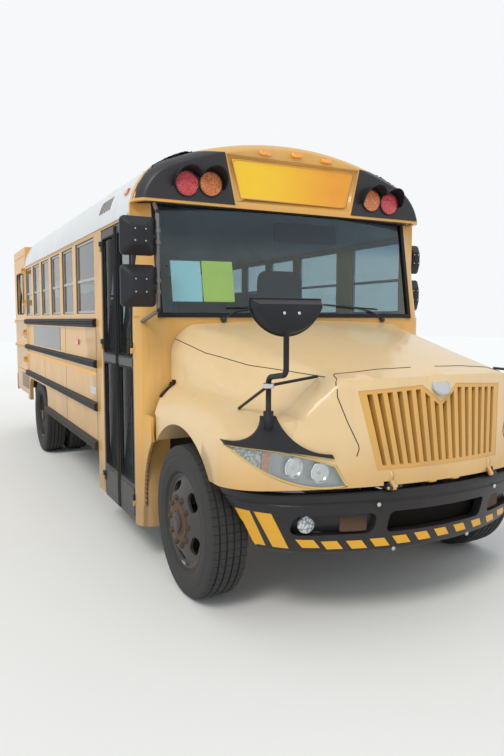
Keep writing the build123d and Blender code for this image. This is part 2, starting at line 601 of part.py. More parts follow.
def light_spans(count):
    """Back stations of the side windows, front to rear."""
    spans = [FIRST_WINDOW]
    for number in range(count):
        start = PILLAR_START + number * WINDOW_PITCH
        spans.append((start + PILLAR_HALF, start + WINDOW_PITCH - PILLAR_HALF))
    return spans


RIGHT_LIGHTS = light_spans(5)
LEFT_LIGHTS = [DRIVER_WINDOW] + light_spans(6)


# Side walls: windows and the rear wheel arch cut; the left one carries the stop arm's base
RAIL_DEPTH = 32.0
LIFT_PIN = (-HALF - RAIL_DEPTH - DOOR_GAP, at(LIFT_FRONT + DOOR_GAP / 2))
LIFT_HINGES = (1120.0, 1490.0, 1900.0, 2330.0)
STOP_LUG = (116.0, 132.0)   # from the arm's middle up and down to its lugs
STOP_BACK = 980.0
STOP_Z = 1465.0
STOP_BASE = (130.0, 26.0, 200.0)
STOP_THICK = 12.0
STOP_STAND = HALF + RAIL_DEPTH + 14.0
STOP_PIN_X = STOP_STAND + STOP_THICK / 2
STOP_PIN = 7.0
ARCH_TOP = 880.0
ARCH_HALF = 700.0
ARCH_CORNER = 160.0
ARCH_SKIN = 8.0             # wall left outside the tyre's top


def rear_arch(side):
    """Cut the rear wheel arch, a flat-topped opening with round shoulders."""
    with BuildSketch(Plane.YZ.offset(side * (HALF + 60))) as outline:
        with Locations((REAR_AXLE_Y, 0)):
            Rectangle(2 * ARCH_HALF, 2 * ARCH_TOP)
        fillet(outline.vertices(), ARCH_CORNER)
    extrude(outline.sketch, amount=-side * 200, mode=Mode.SUBTRACT)
    x_cylinder((side * (INNER - 60), side * (HALF - ARCH_SKIN)), REAR_AXLE_Y, AXLE_Z,
               TYRE_RADIUS + WHEEL_HOUSE_GAP, Mode.SUBTRACT)


def cut_lights(side, spans):
    """Cut the window openings of one side."""
    for start, end in spans:
        block((side * (INNER - 1), side * (HALF + 1)), (at(start), at(end)), (SILL, WINDOW_TOP),
              Mode.SUBTRACT)


with BuildPart() as side_wall_right:
    block((-HALF, -INNER), (at(DOOR_REAR + DOOR_GAP), at(LIFT_FRONT)), (SKIRT_BOTTOM, GUTTER))
    cut_lights(-1, RIGHT_LIGHTS)
    rear_arch(-1)
    block((-HALF, -INNER), (at(DOOR_REAR + DOOR_GAP), at(DOOR_REAR + 200)), (COWL_BOTTOM + 20, SKIRT_BOTTOM))
    block((-HALF, -INNER), (at(PILLAR_REAR), at(DOOR_REAR + DOOR_GAP)), (DOOR_TOP + DOOR_GAP, GUTTER))
    for height in (*LOW_HINGES, HIGH_HINGE):
        hinge_half(REAR_LEAF_PIN, height, False, (ENTRANCE_PIN_X, -HALF + 2),
                   (REAR_LEAF_PIN[1] + DOOR_GAP / 2, REAR_LEAF_PIN[1] + PLATE))
    for height in LIFT_HINGES:
        hinge_half(LIFT_PIN, height, False, (LIFT_PIN[0], -HALF + 2),
                   (LIFT_PIN[1] - PLATE, LIFT_PIN[1] - DOOR_GAP / 2))
keep("side_wall_right", side_wall_right)

with BuildPart() as side_wall_left:
    block((INNER, HALF), (at(PILLAR_REAR), REAR_Y - WALL), (SKIRT_BOTTOM, GUTTER))
    block((INNER, HALF), (at(DOOR_FRONT - DOOR_GAP), at(PILLAR_REAR)), (SKIRT_BOTTOM, COWL_TOP))
    cut_lights(1, LEFT_LIGHTS)
    rear_arch(1)
    base_length, base_depth, base_height = STOP_BASE
    block((HALF, HALF + base_depth), (at(STOP_BACK) - base_length, at(STOP_BACK) - 20),
          (STOP_Z - base_height / 2, STOP_Z + base_height / 2))
    for end in (-1, 1):
        lug_z = (STOP_Z + end * STOP_LUG[0], STOP_Z + end * STOP_LUG[1])
        block((HALF - 1, STOP_PIN_X + 14), (at(STOP_BACK) - 14, at(STOP_BACK) + 14), lug_z)
        rod((STOP_PIN_X, at(STOP_BACK), lug_z[0]), (STOP_PIN_X, at(STOP_BACK), lug_z[1]), STOP_PIN, Mode.SUBTRACT)
keep("side_wall_left", side_wall_left)

# Lift doorway: the sill panel below it, its rear post and its raised header
LIFT_BOTTOM = 960.0
LIFT_TOP = 2540.0
HEADER_TOP = 2650.0
HEADER_DEPTH = 330.0
with BuildPart() as lift_doorway:
    block((-HALF, -INNER), (at(LIFT_FRONT), REAR_Y - WALL), (SKIRT_BOTTOM + 60, LIFT_BOTTOM - DOOR_GAP))
    rear_arch(-1)
    block((-HALF, -INNER), (at(LIFT_REAR), REAR_Y - WALL), (LIFT_BOTTOM - DOOR_GAP, LIFT_TOP))
    block((-HALF, -INNER), (at(LIFT_FRONT - 60), at(LIFT_FRONT)), (GUTTER, LIFT_TOP + DOOR_GAP))
    block((-HALF, -HALF + HEADER_DEPTH), (at(LIFT_FRONT - 60), REAR_Y - WALL),
          (LIFT_TOP + DOOR_GAP, HEADER_TOP))
    block((-INNER, -HALF + HEADER_DEPTH), (at(LIFT_FRONT - 60), at(LIFT_FRONT - 60) + PANEL),
          (GUTTER, HEADER_TOP))
    block((-HALF, -INNER), (at(LIFT_REAR), REAR_Y - WALL), (LIFT_TOP, HEADER_TOP))
    block((-INNER, -HALF + HEADER_DEPTH), (REAR_Y - WALL - PANEL, REAR_Y - WALL), (GUTTER, HEADER_TOP))
keep("lift_doorway", lift_doorway)


# Roof: an arched skin with its gutters
def roof_shape(inset, bottom):
    """Closed outline of the roof's cross-section, drawn in the plane in use.

    The corner arc of ROOF_CORNER runs tangent into one large crown arc.
    """
    centre_x = HALF - ROOF_CORNER
    rise = ROOF_TOP - ROOF_SPRING
    crown = (centre_x ** 2 + rise ** 2 - ROOF_CORNER ** 2) / (2 * (rise - ROOF_CORNER))
    tilt = asin(centre_x / (crown - ROOF_CORNER))
    corner = ROOF_CORNER - inset
    start = asin(max(bottom - ROOF_SPRING, 0.0) / corner)
    middle = (start + pi / 2 - tilt) / 2

    def corner_point(angle):
        return centre_x + corner * cos(angle), ROOF_SPRING + corner * sin(angle)

    foot = corner_point(start)
    bend = corner_point(middle)
    join = corner_point(pi / 2 - tilt)
    points = [(foot[0], bottom), foot] if bottom < ROOF_SPRING else [foot]
    if bottom < ROOF_SPRING:
        Line(points[0], foot)
        Line((-foot[0], foot[1]), (-foot[0], bottom))
    ThreePointArc(foot, bend, join)
    ThreePointArc(join, (0, ROOF_TOP - inset), (-join[0], join[1]))
    ThreePointArc((-join[0], join[1]), (-bend[0], bend[1]), (-foot[0], foot[1]))
    Line((-foot[0], bottom), (foot[0], bottom))


ROOF_SKIN = 40.0
CAP_REAR = PILLAR_REAR
GUTTER_SIZE = 14.0
with BuildPart() as roof:
    with BuildSketch(across(REAR_Y - WALL)):
        with BuildLine():
            roof_shape(0.0, GUTTER)
        make_face()
        with BuildLine():
            roof_shape(ROOF_SKIN, GUTTER)
        make_face(mode=Mode.SUBTRACT)
    extrude(amount=REAR_Y - WALL - at(CAP_REAR))
    block((HALF, HALF + GUTTER_SIZE), (at(CAP_REAR), REAR_Y - WALL), (GUTTER, GUTTER + GUTTER_SIZE))
    block((-HALF, -HALF - GUTTER_SIZE), (at(CAP_REAR), at(LIFT_FRONT - 60)), (GUTTER, GUTTER + GUTTER_SIZE))
    block((-HALF - 20, -HALF + HEADER_DEPTH), (at(LIFT_FRONT - 60), REAR_Y - WALL),
          (GUTTER - 1, HEADER_TOP), Mode.SUBTRACT)
keep("roof", roof)


# Front cap: a moulding that carries the lamps and the blank sign
CAP_FACE_BACK = -80.0
CAP_SECTIONS = (             # back station, inset of the roof outline
    (CAP_REAR, 0.0),
    (-25.0, 14.0),
    (CAP_FACE_BACK, 58.0))
SIGN_OUTLINE = ((-482.0, 2500.0), (482.0, 2500.0), (560.0, 2820.0), (-560.0, 2820.0))
SIGN_RECESS = 8.0
CAP_WALL = 30.0


def cap_form(inset):
    """Solid of the cap, set in all round by inset."""
    with BuildPart() as form:
        for back, taper in CAP_SECTIONS:
            with BuildSketch(across(at(back) + inset)):
                with BuildLine():
                    roof_shape(taper + inset, CAP_BOTTOM)
                make_face()
        loft()
    return form.part


cap_outside = cap_form(0.0)
cap_inside = cap_form(CAP_WALL)
with BuildPart() as front_cap:
    add(cap_outside)
    add(cap_inside, mode=Mode.SUBTRACT)
    front_prism(SIGN_OUTLINE, (at(-120), at(CAP_FACE_BACK) + 14), Mode.SUBTRACT)
keep("front_cap", front_cap)


# Front pillars and windscreen
SCREEN_BOTTOM = COWL_TOP + 32.0
SCREEN_TOP = CAP_BOTTOM - 12.0
SCREEN_HALF = 1050.0
SCREEN_PLANS = (            # height, back of the middle, back of the ends
    (SCREEN_BOTTOM, -188.0, -104.0),
    (SCREEN_TOP, -62.0, 18.0))


def screen_form(half_width, front_offset, rear_offset, low, high):
    """Curved raked sheet between two offsets from the glass's outer face."""
    (z0, mid0, end0), (z1, mid1, end1) = SCREEN_PLANS
    with BuildPart() as sheet:
        for z in (low, high):
            share = (z - z0) / (z1 - z0)
            middle = at(mid0 + share * (mid1 - mid0))
            end = at(end0 + share * (end1 - end0))
            with BuildSketch(Plane.XY.offset(z)):
                with BuildLine():
                    ThreePointArc((-half_width, end + front_offset), (0, middle + front_offset),
                                  (half_width, end + front_offset))
                    Line((half_width, end + front_offset), (half_width, end + rear_offset))
                    ThreePointArc((half_width, end + rear_offset), (0, middle + rear_offset),
                                  (-half_width, end + rear_offset))
                    Line((-half_width, end + rear_offset), (-half_width, end + front_offset))
                make_face()
        loft()
    return sheet.part


SCREEN_RUBBER = 32.0
screen_sheet = screen_form(SCREEN_HALF, 0.0, GLASS, SCREEN_BOTTOM, SCREEN_TOP)
SCREEN_PROUD = 10.0         # how far the rubber stands before the glass
SCREEN_LIP = 30.0           # how far it reaches behind the glass's outer face
SCREEN_CLEAR = 30.0         # the cut through it passes both by this
frame_outside = screen_form(SCREEN_HALF + SCREEN_RUBBER, -SCREEN_PROUD, SCREEN_LIP, COWL_TOP, CAP_BOTTOM)
frame_opening = screen_form(SCREEN_HALF, -SCREEN_PROUD - SCREEN_CLEAR, SCREEN_LIP + SCREEN_CLEAR,
                            SCREEN_BOTTOM, SCREEN_TOP)
with BuildPart() as windscreen:
    add(screen_sheet)
keep("windscreen", windscreen)

with BuildPart() as windscreen_frame:
    add(frame_outside)
    add(frame_opening, mode=Mode.SUBTRACT)
keep("windscreen_frame", windscreen_frame)

with BuildPart() as front_pillars:
    for z, screen_end in ((COWL_TOP, SCREEN_PLANS[0][2]), (CAP_BOTTOM, SCREEN_PLANS[1][2])):
        edge_x = SCREEN_HALF + SCREEN_RUBBER + SEAT_GAP
        nose_y = at(screen_end) - 2.0
        with BuildSketch(Plane.XY.offset(z)):
            with BuildLine():
                ThreePointArc((edge_x, nose_y), (HALF - 40, at(screen_end + 40)), (HALF, at(PILLAR_REAR - 20)))
                Line((HALF, at(PILLAR_REAR - 20)), (HALF, at(PILLAR_REAR)))
                Line((HALF, at(PILLAR_REAR)), (HALF - PANEL, at(PILLAR_REAR)))
                Line((HALF - PANEL, at(PILLAR_REAR)), (edge_x, nose_y + 60))
                Line((edge_x, nose_y + 60), (edge_x, nose_y))
            make_face()
    loft()
    mirror(about=Plane.YZ)
    # the entrance side gives way to the door's front edge
    block((-HALF - 1, -INNER + 10), (at(DOOR_FRONT - DOOR_GAP), at(PILLAR_REAR) + 1),
          (COWL_TOP - 1, DOOR_TOP + DOOR_GAP), Mode.SUBTRACT)
    hinge_half(FRONT_LEAF_PIN, HIGH_HINGE, False, (ENTRANCE_PIN_X, 40 - HALF),
               (FRONT_LEAF_PIN[1] - 16, FRONT_LEAF_PIN[1] - DOOR_GAP / 2))
keep("front_pillars", front_pillars)


# Cowl: the body's rounded front below the windscreen, with splash panels and bulkhead
COWL_END = -104.0
COWL_MIDDLE = -190.0
COWL_ROUND_X = 1110.0
COWL_SPLASH_X = 1190.0
COWL_LOW_X = 1010.0
COWL_OPEN_TOP = 1250.0


def cowl_plan(inset):
    """Closed plan outline of the cowl with rounded front corners."""
    half = HALF - inset
    round_x = COWL_ROUND_X - inset * 0.5
    end_y = at(COWL_END) + inset
    rear_y = at(DOOR_FRONT - DOOR_GAP)
    bend = (half - 28.0, at(-62.0) + inset * 0.8)
    Line((half, rear_y), (half, at(12.0)))
    ThreePointArc((half, at(12.0)), bend, (round_x, end_y))
    ThreePointArc((round_x, end_y), (0, at(COWL_MIDDLE) + inset), (-round_x, end_y))
    ThreePointArc((-round_x, end_y), (-bend[0], bend[1]), (-half, at(12.0)))
    Line((-half, at(12.0)), (-half, rear_y))
    Line((-half, rear_y), (half, rear_y))


with BuildPart() as cowl:
    with BuildSketch(Plane.XY.offset(COWL_BOTTOM)):
        with BuildLine():
            cowl_plan(0.0)
        make_face()
    extrude(amount=COWL_TOP - COWL_BOTTOM)
    with BuildSketch(Plane.XY.offset(COWL_BOTTOM - 1)):
        with BuildLine():
            cowl_plan(PANEL)
        make_face()
    extrude(amount=COWL_TOP - PANEL - COWL_BOTTOM, mode=Mode.SUBTRACT)
    block((-COWL_LOW_X, COWL_LOW_X), (at(-300), at(DOOR_FRONT)), (COWL_BOTTOM - 1, COWL_OPEN_TOP),
          Mode.SUBTRACT)
    for side in (-1, 1):
        block((side * (COWL_SPLASH_X - 24), side * COWL_SPLASH_X), (at(-262), at(-60)),
              (COWL_BOTTOM + 150, FENDER_CREASE - 6))
    x_cylinder((-HALF, HALF), FRONT_AXLE_Y, AXLE_Z, ARCH_RADIUS, Mode.SUBTRACT)
    block((-INNER, INNER), (at(DOOR_FRONT - DOOR_GAP) - PANEL, at(DOOR_FRONT - DOOR_GAP)),
          (FLOOR_BOTTOM, COWL_TOP - PANEL))
    for height in LOW_HINGES:
        hinge_half(FRONT_LEAF_PIN, height, False, (ENTRANCE_PIN_X, -HALF + 2),
                   (FRONT_LEAF_PIN[1] - 11, FRONT_LEAF_PIN[1] - DOOR_GAP / 2))
keep("cowl", cowl)


# Nose shell: a crowned top lofted onto two fenders, trimmed by the nose's plan
CROWN_SECTIONS = (          # back, crown z, shoulder x, shoulder z, side x, side z, side bulge
    (HOOD_REAR, 1675.0, 850.0, 1650.0, 1000.0, 1400.0, 52.0),
    (-950.0, 1540.0, 700.0, 1468.0, 915.0, 1250.0, 14.0),
    (-1700.0, 1345.0, 545.0, 1325.0, 740.0, 1130.0, 8.0))
FENDER_SECTIONS = (         # back, inner x, inner z, top bulge, outer z
    (HOOD_REAR, 900.0, 1300.0, 40.0, 1060.0),
    (-900.0, 860.0, 1240.0, 44.0, 1060.0),
    (-1700.0, 640.0, 1130.0, 40.0, 1000.0))
NOSE_PLANS = (              # height, back of the middle, back at the lamps, back of the corners
    (780.0, -1683.0, -1470.0, -1180.0),
    (1700.0, -1574.0, -1330.0, -1060.0))
LAMP_X = 990.0


def crown_form(inset):
    """Solid under the crowned top of the nose."""
    with BuildPart() as form:
        for back, crown_z, shoulder_x, shoulder_z, side_x, side_z, bulge in CROWN_SECTIONS:
            run = hypot(side_x - shoulder_x, shoulder_z - side_z)
            out_x = (shoulder_z - side_z) / run
            out_z = (side_x - shoulder_x) / run
            bend = ((shoulder_x + side_x) / 2 + out_x * bulge - inset,
                    (shoulder_z + side_z) / 2 + out_z * bulge - inset * out_z)
            base = HOOD_BASE - inset
            side = side_x - inset
            shoulder = (shoulder_x - inset * 0.5, shoulder_z - inset)
            with BuildSketch(across(at(back))):
                with BuildLine():
                    ThreePointArc((-shoulder[0], shoulder[1]), (0, crown_z - inset), shoulder)
                    ThreePointArc(shoulder, bend, (side, side_z))
                    Line((side, side_z), (side, base))
                    Line((side, base), (-side, base))
                    Line((-side, base), (-side, side_z))
                    ThreePointArc((-side, side_z), (-bend[0], bend[1]), (-shoulder[0], shoulder[1]))
                make_face()
        loft()
    return form.part


def fender_form(inset):
    """Solid of both fenders: a domed top falling to the crease, then an upright lip."""
    with BuildPart() as form:
        outer = FENDER_HALF_WIDTH - inset
        base = HOOD_BASE - inset
        for back, inner_x, inner_z, bulge, outer_z in FENDER_SECTIONS:
            bend = ((inner_x + outer) / 2, (inner_z + outer_z) / 2 + bulge - inset)
            with BuildSketch(across(at(back))):
                with BuildLine():
                    Line((inner_x, base), (inner_x, inner_z - inset))
                    ThreePointArc((inner_x, inner_z - inset), bend, (outer, outer_z - inset))
                    Line((outer, outer_z - inset), (outer, base))
                    Line((outer, base), (inner_x, base))
                make_face()
        loft()
        mirror(about=Plane.YZ)
    return form.part


def nose_form(inset):
    """Solid inside the nose's plan outline, leaning back as it rises."""
    with BuildPart() as form:
        for height, middle, lamp, corner in NOSE_PLANS:
            outer = FENDER_HALF_WIDTH + 8.0 - inset
            front_y = at(middle) + inset
            lamp_x = LAMP_X - inset * 0.5
            lamp_y = at(lamp) + inset
            corner_y = at(corner) + inset * 0.5
            bend = (outer - 52.0, (lamp_y + corner_y) / 2 - 38.0)
            rear_y = at(HOOD_REAR)
            with BuildSketch(Plane.XY.offset(height)):
                with BuildLine():
                    ThreePointArc((-lamp_x, lamp_y), (0, front_y), (lamp_x, lamp_y))
                    ThreePointArc((lamp_x, lamp_y), bend, (outer, corner_y))
                    Line((outer, corner_y), (outer, rear_y))
                    Line((outer, rear_y), (-outer, rear_y))
                    Line((-outer, rear_y), (-outer, corner_y))
                    ThreePointArc((-outer, corner_y), (-bend[0], bend[1]), (-lamp_x, lamp_y))
                make_face()
        loft()
    return form.part


def nose_solid(inset):
    """Whole outer form of the nose, set in by inset."""
    crown = crown_form(inset)
    fenders = fender_form(inset)
    plan = nose_form(inset)
    with BuildPart() as form:
        add(crown)
        add(fenders)
        add(plan, mode=Mode.INTERSECT)
    return form.part


GRILLE_TOP = 1305.0
GRILLE_BOTTOM = 895.0
GRILLE_TOP_HALF = 505.0
GRILLE_BOTTOM_HALF = 424.0
NOTCH_HALF = 120.0
NOTCH_TIP = 1232.0
GRILLE_OUTLINE = ((-GRILLE_BOTTOM_HALF, GRILLE_BOTTOM), (GRILLE_BOTTOM_HALF, GRILLE_BOTTOM),
                  (GRILLE_TOP_HALF, GRILLE_TOP), (NOTCH_HALF, GRILLE_TOP + 20), (0, NOTCH_TIP),
                  (-NOTCH_HALF, GRILLE_TOP + 20), (-GRILLE_TOP_HALF, GRILLE_TOP))
LAMP_TIP = (1138.0, 1036.0)
LAMP_BELLY = (958.0, 884.0)
LAMP_TOE = (590.0, 824.0)
LAMP_HEEL = (640.0, 930.0)
LAMP_BROW = (880.0, 1004.0)
NOSE_BACK_SPAN = (-1760.0, -1150.0)


def lamp_outline(side):
    """Teardrop outline of one headlamp in the plane in use."""
    tip, belly, toe, heel, brow = ((side * x, z) for x, z in
                                   (LAMP_TIP, LAMP_BELLY, LAMP_TOE, LAMP_HEEL, LAMP_BROW))
    ThreePointArc(tip, belly, toe)
    Line(toe, heel)
    ThreePointArc(heel, brow, tip)


def lamp_prism(side, margin, mode):
    """Prism of one headlamp's outline through the front of the nose."""
    with BuildSketch(across(at(NOSE_BACK_SPAN[1]))) as outline:
        with BuildLine():
            lamp_outline(side)
        make_face()
        if margin:
            offset(amount=margin, kind=Kind.INTERSECTION)
    extrude(outline.sketch, amount=NOSE_BACK_SPAN[1] - NOSE_BACK_SPAN[0], mode=mode)


nose_outside = nose_solid(0.0)
nose_inside = nose_solid(SKIN)
LINER_INNER_X = 640.0
LINER_THICK = 6.0
LINER_BACKS = (-1250.0, -280.0)     # the liners end clear of the cowl's splash panels
with BuildPart() as wheel_liners:
    for side in (-1, 1):
        liner_x = (side * LINER_INNER_X, side * (FENDER_HALF_WIDTH - SKIN / 2))
        x_cylinder(liner_x, FRONT_AXLE_Y, AXLE_Z, ARCH_RADIUS + LINER_THICK)
        x_cylinder((side * (LINER_INNER_X - 1), side * HALF), FRONT_AXLE_Y, AXLE_Z, ARCH_RADIUS, Mode.SUBTRACT)
    block((-HALF, HALF), (at(LINER_BACKS[0]), at(LINER_BACKS[1])), (HOOD_BASE, COWL_TOP), Mode.INTERSECT)
    add(nose_outside, mode=Mode.INTERSECT)
with BuildPart() as hood:
    add(nose_outside)
    add(nose_inside, mode=Mode.SUBTRACT)
    add(wheel_liners.part)
    # the rear of each fender follows the cowl, then the wheel
    side_prism(((at(0), HOOD_BASE - 20), (at(-270), HOOD_BASE - 20), (at(-270), FENDER_CREASE),
                (at(HOOD_REAR), COWL_OPEN_TOP), (at(0), COWL_OPEN_TOP)), (-HALF, HALF), Mode.SUBTRACT)
    x_cylinder((-HALF, HALF), FRONT_AXLE_Y, AXLE_Z, ARCH_RADIUS, Mode.SUBTRACT)
    with BuildSketch(Plane.XY.offset(HOOD_BASE - 30)):
        with BuildLine():
            cowl_plan(-HOOD_GAP)
        make_face()
    extrude(amount=COWL_TOP - HOOD_BASE + 60, mode=Mode.SUBTRACT)
    front_prism(GRILLE_OUTLINE, (at(NOSE_BACK_SPAN[0]), at(-1400)), Mode.SUBTRACT)
    for side in (-1, 1):
        lamp_prism(side, 2.0, Mode.SUBTRACT)
        # hinge arm behind the shell's lower edge, with its pin
        block((side * (HINGE_ARM[0] - 8), side * (HINGE_LUG[1] + 12)), (at(NOSE_BACK_SPAN[0]), at(-1600)),
              (HOOD_BASE - 20, HINGE_NOTCH), Mode.SUBTRACT)
        arm_x = tuple(side * x for x in HINGE_ARM)
        side_prism(((hinge_y - HINGE_BOSS, HINGE_HEIGHT), (hinge_y + HINGE_BOSS, HINGE_HEIGHT),
                    (hinge_y + 44, HINGE_NOTCH), (hinge_y + 44, GRILLE_BOTTOM - 6),
                    (hinge_y + 14, GRILLE_BOTTOM - 6), (hinge_y + 14, HINGE_NOTCH + 4)), arm_x)
        x_cylinder(arm_x, hinge_y, HINGE_HEIGHT, HINGE_BOSS)
        x_cylinder((arm_x[0], side * (HINGE_LUG[1] + 6)), hinge_y, HINGE_HEIGHT, HINGE_PIN - RUNNING_FIT)
keep("hood", hood)


# Grille: upright bars that follow the nose's curve, in a narrow surround
BAR_COUNT = 17
BAR_WIDTH = 27.0
BAR_DEPTH = 42.0
SURROUND = 22.0
bar_front = nose_form(3.0)
bar_rear = nose_form(3.0 + BAR_DEPTH)
with BuildPart() as grille:
    span = (at(NOSE_BACK_SPAN[0]), at(-1400))
    for number in range(BAR_COUNT):
        share = (number + 0.5) / BAR_COUNT * 2 - 1
        low_x = share * GRILLE_BOTTOM_HALF
        high_x = share * GRILLE_TOP_HALF
        high_z = GRILLE_TOP + 20
        front_prism(((low_x - BAR_WIDTH / 2, GRILLE_BOTTOM), (low_x + BAR_WIDTH / 2, GRILLE_BOTTOM),
                     (high_x + BAR_WIDTH / 2, high_z), (high_x - BAR_WIDTH / 2, high_z)), span)
    with BuildSketch(across(span[1])):
        with BuildLine():
            Polyline(*GRILLE_OUTLINE, close=True)
        make_face()
        with BuildLine():
            Polyline(*GRILLE_OUTLINE, close=True)
        make_face(mode=Mode.PRIVATE)
        offset(amount=-SURROUND, kind=Kind.INTERSECTION, mode=Mode.SUBTRACT)
    extrude(amount=span[1] - span[0])
    with BuildSketch(across(span[1])):
        with BuildLine():
            Polyline(*GRILLE_OUTLINE, close=True)
        make_face()
        offset(amount=-SEAT_GAP, kind=Kind.INTERSECTION)
    extrude(amount=span[1] - span[0], mode=Mode.INTERSECT)
    add(bar_front, mode=Mode.INTERSECT)
    add(bar_rear, mode=Mode.SUBTRACT)
keep("grille", grille)


# Headlamps: a clear teardrop over a bowl, in the shell's opening
LAMP_DEPTH = 70.0
lamp_front = nose_form(0.0)
lamp_rear = nose_form(LAMP_DEPTH)
with BuildPart() as headlamps:
    for side in (-1, 1):
        lamp_prism(side, 0.0, Mode.ADD)
    add(lamp_front, mode=Mode.INTERSECT)
    add(lamp_rear, mode=Mode.SUBTRACT)
keep("headlamps", headlamps)


# Crossover mirrors on the fenders: flared bracket, cranked post, D-shaped head and two braces
POST_X = 960.0
POST_BACK = -1437.0
POST_RADIUS = 14.0
POST_CRANK = 175.0
POST_BEND = 34.0
POST_BEND_Z = (1385.0, 1410.0)  # the crank's two ends
HEAD_WIDTH = 390.0
HEAD_HEIGHT = 176.0
HEAD_DEPTH = 60.0
HEAD_TAPER = 24.0
HEAD_Z = 1682.0
HEAD_SHOULDER = 40.0        # where the round lower edge starts, above the head's middle
BRACKET_THICK = 14.0
BRACKET_OUTER = ((1150.0, 1062.0), (1140.0, 1040.0))
BRACKET_FOOT = ((655.0, 968.0), (665.0, 990.0))
BRACKET_BENDS = ((900.0, 1010.0), (850.0, 1065.0), (1030.0, 1100.0))    # under, inner and outer edges
BRACKET_NECK = 34.0
BRACKET_TOP = 1190.0
COLLAR = (1120.0, 1215.0, 26.0)     # bottom, top, radius
CLAMP = (1343.0, 13.0, 24.0)        # height, half length, radius
BRACE_RADIUS = 8.0
BRACE_ENDS = ((-315.0, 42.0, 1374.0), (10.0, 320.0, 1190.0))    # from the post: x, y; height
bracket_front = nose_form(-BRACKET_THICK)
bracket_seat = nose_form(-SEAT_GAP)
with BuildPart() as crossover_mirrors:
    with BuildSketch(across(at(NOSE_BACK_SPAN[1]))):
        with BuildLine():
            neck = ((POST_X - BRACKET_NECK, BRACKET_TOP), (POST_X + BRACKET_NECK, BRACKET_TOP))
            Line(BRACKET_OUTER[0], BRACKET_OUTER[1])
            ThreePointArc(BRACKET_OUTER[1], BRACKET_BENDS[0], BRACKET_FOOT[0])
            Line(BRACKET_FOOT[0], BRACKET_FOOT[1])
            ThreePointArc(BRACKET_FOOT[1], BRACKET_BENDS[1], neck[0])
            Line(neck[0], neck[1])
            ThreePointArc(neck[1], BRACKET_BENDS[2], BRACKET_OUTER[0])
        make_face()
    extrude(amount=NOSE_BACK_SPAN[1] - NOSE_BACK_SPAN[0])
    add(bracket_front, mode=Mode.INTERSECT)
    add(bracket_seat, mode=Mode.SUBTRACT)
    post_y = at(POST_BACK)
    collar_low, collar_high, collar_radius = COLLAR
    rod((POST_X, post_y, collar_low), (POST_X, post_y, collar_high), collar_radius)
    with BuildLine() as post_line:
        FilletPolyline((POST_X, post_y, collar_high), (POST_X, post_y, POST_BEND_Z[0]),
                       (POST_X, post_y - POST_CRANK, POST_BEND_Z[1]),
                       (POST_X, post_y - POST_CRANK, HEAD_Z - 10), radius=POST_BEND)
    with BuildSketch(Plane(origin=(POST_X, post_y, collar_high), z_dir=(0, 0, 1))):
        Circle(POST_RADIUS)
    sweep(path=post_line.wires()[0])
    with BuildSketch(across(post_y - POST_CRANK + 10)):
        with BuildLine():
            inner_x, outer_x = POST_X - HEAD_WIDTH / 2, POST_X + HEAD_WIDTH / 2
            head_top = HEAD_Z + HEAD_HEIGHT / 2
            shoulder_z = HEAD_Z + HEAD_SHOULDER
            Line((inner_x, head_top), (outer_x, head_top))
            Line((outer_x, head_top), (outer_x, shoulder_z))
            ThreePointArc((outer_x, shoulder_z), (POST_X, HEAD_Z - HEAD_HEIGHT / 2), (inner_x, shoulder_z))
            Line((inner_x, shoulder_z), (inner_x, head_top))
        make_face()
    extrude(amount=HEAD_DEPTH, taper=HEAD_TAPER)
    clamp_z, clamp_half, clamp_radius = CLAMP
    rod((POST_X, post_y, clamp_z - clamp_half), (POST_X, post_y, clamp_z + clamp_half), clamp_radius)
    for brace_x, brace_y, brace_z in BRACE_ENDS:
        rod((POST_X, post_y, clamp_z), (POST_X + brace_x, post_y + brace_y, brace_z), BRACE_RADIUS)
    add(nose_outside, mode=Mode.SUBTRACT)
    mirror(about=Plane.YZ)
keep("crossover_mirrors", crossover_mirrors)


# Front bumper: a curved beam, wider and further forward at its top, on two brackets
BUMPER_BOTTOM = 432.0
BUMPER_TOP = 788.0
BUMPER_WALL = 60.0
BUMPER_CLEAR = 556.0        # from the axle to the bumper's ends
BUMPER_PLANS = (            # height, middle back, shoulder x and back, bend x and back, end x and back
    (BUMPER_BOTTOM, -1604.0, 600.0, -1482.0, 872.0, -1290.0, 985.0, -960.0),
    (BUMPER_TOP, -NOSE_LENGTH, 680.0, -1580.0, 997.0, -1396.0, 1108.0, -1040.0))


def bumper_form(inset):
    """Solid behind the bumper's outer face, set in by inset."""
    with BuildPart() as form:
        for height, middle, shoulder_x, shoulder, bend_x, bend, end_x, end in BUMPER_PLANS:
            crown_y = at(middle) + inset
            shoulder_at = (shoulder_x - 0.3 * inset, at(shoulder) + 0.95 * inset)
            bend_at = (bend_x - 0.75 * inset, at(bend) + 0.65 * inset)
            end_at = (end_x - inset, at(end))
            with BuildSketch(Plane.XY.offset(height)):
                with BuildLine():
                    ThreePointArc((-shoulder_at[0], shoulder_at[1]), (0, crown_y), shoulder_at)
                    ThreePointArc(shoulder_at, bend_at, end_at)
                    Line(end_at, (-end_at[0], end_at[1]))
                    ThreePointArc((-end_at[0], end_at[1]), (-bend_at[0], bend_at[1]),
                                  (-shoulder_at[0], shoulder_at[1]))
                make_face()
        loft()
    return form.part


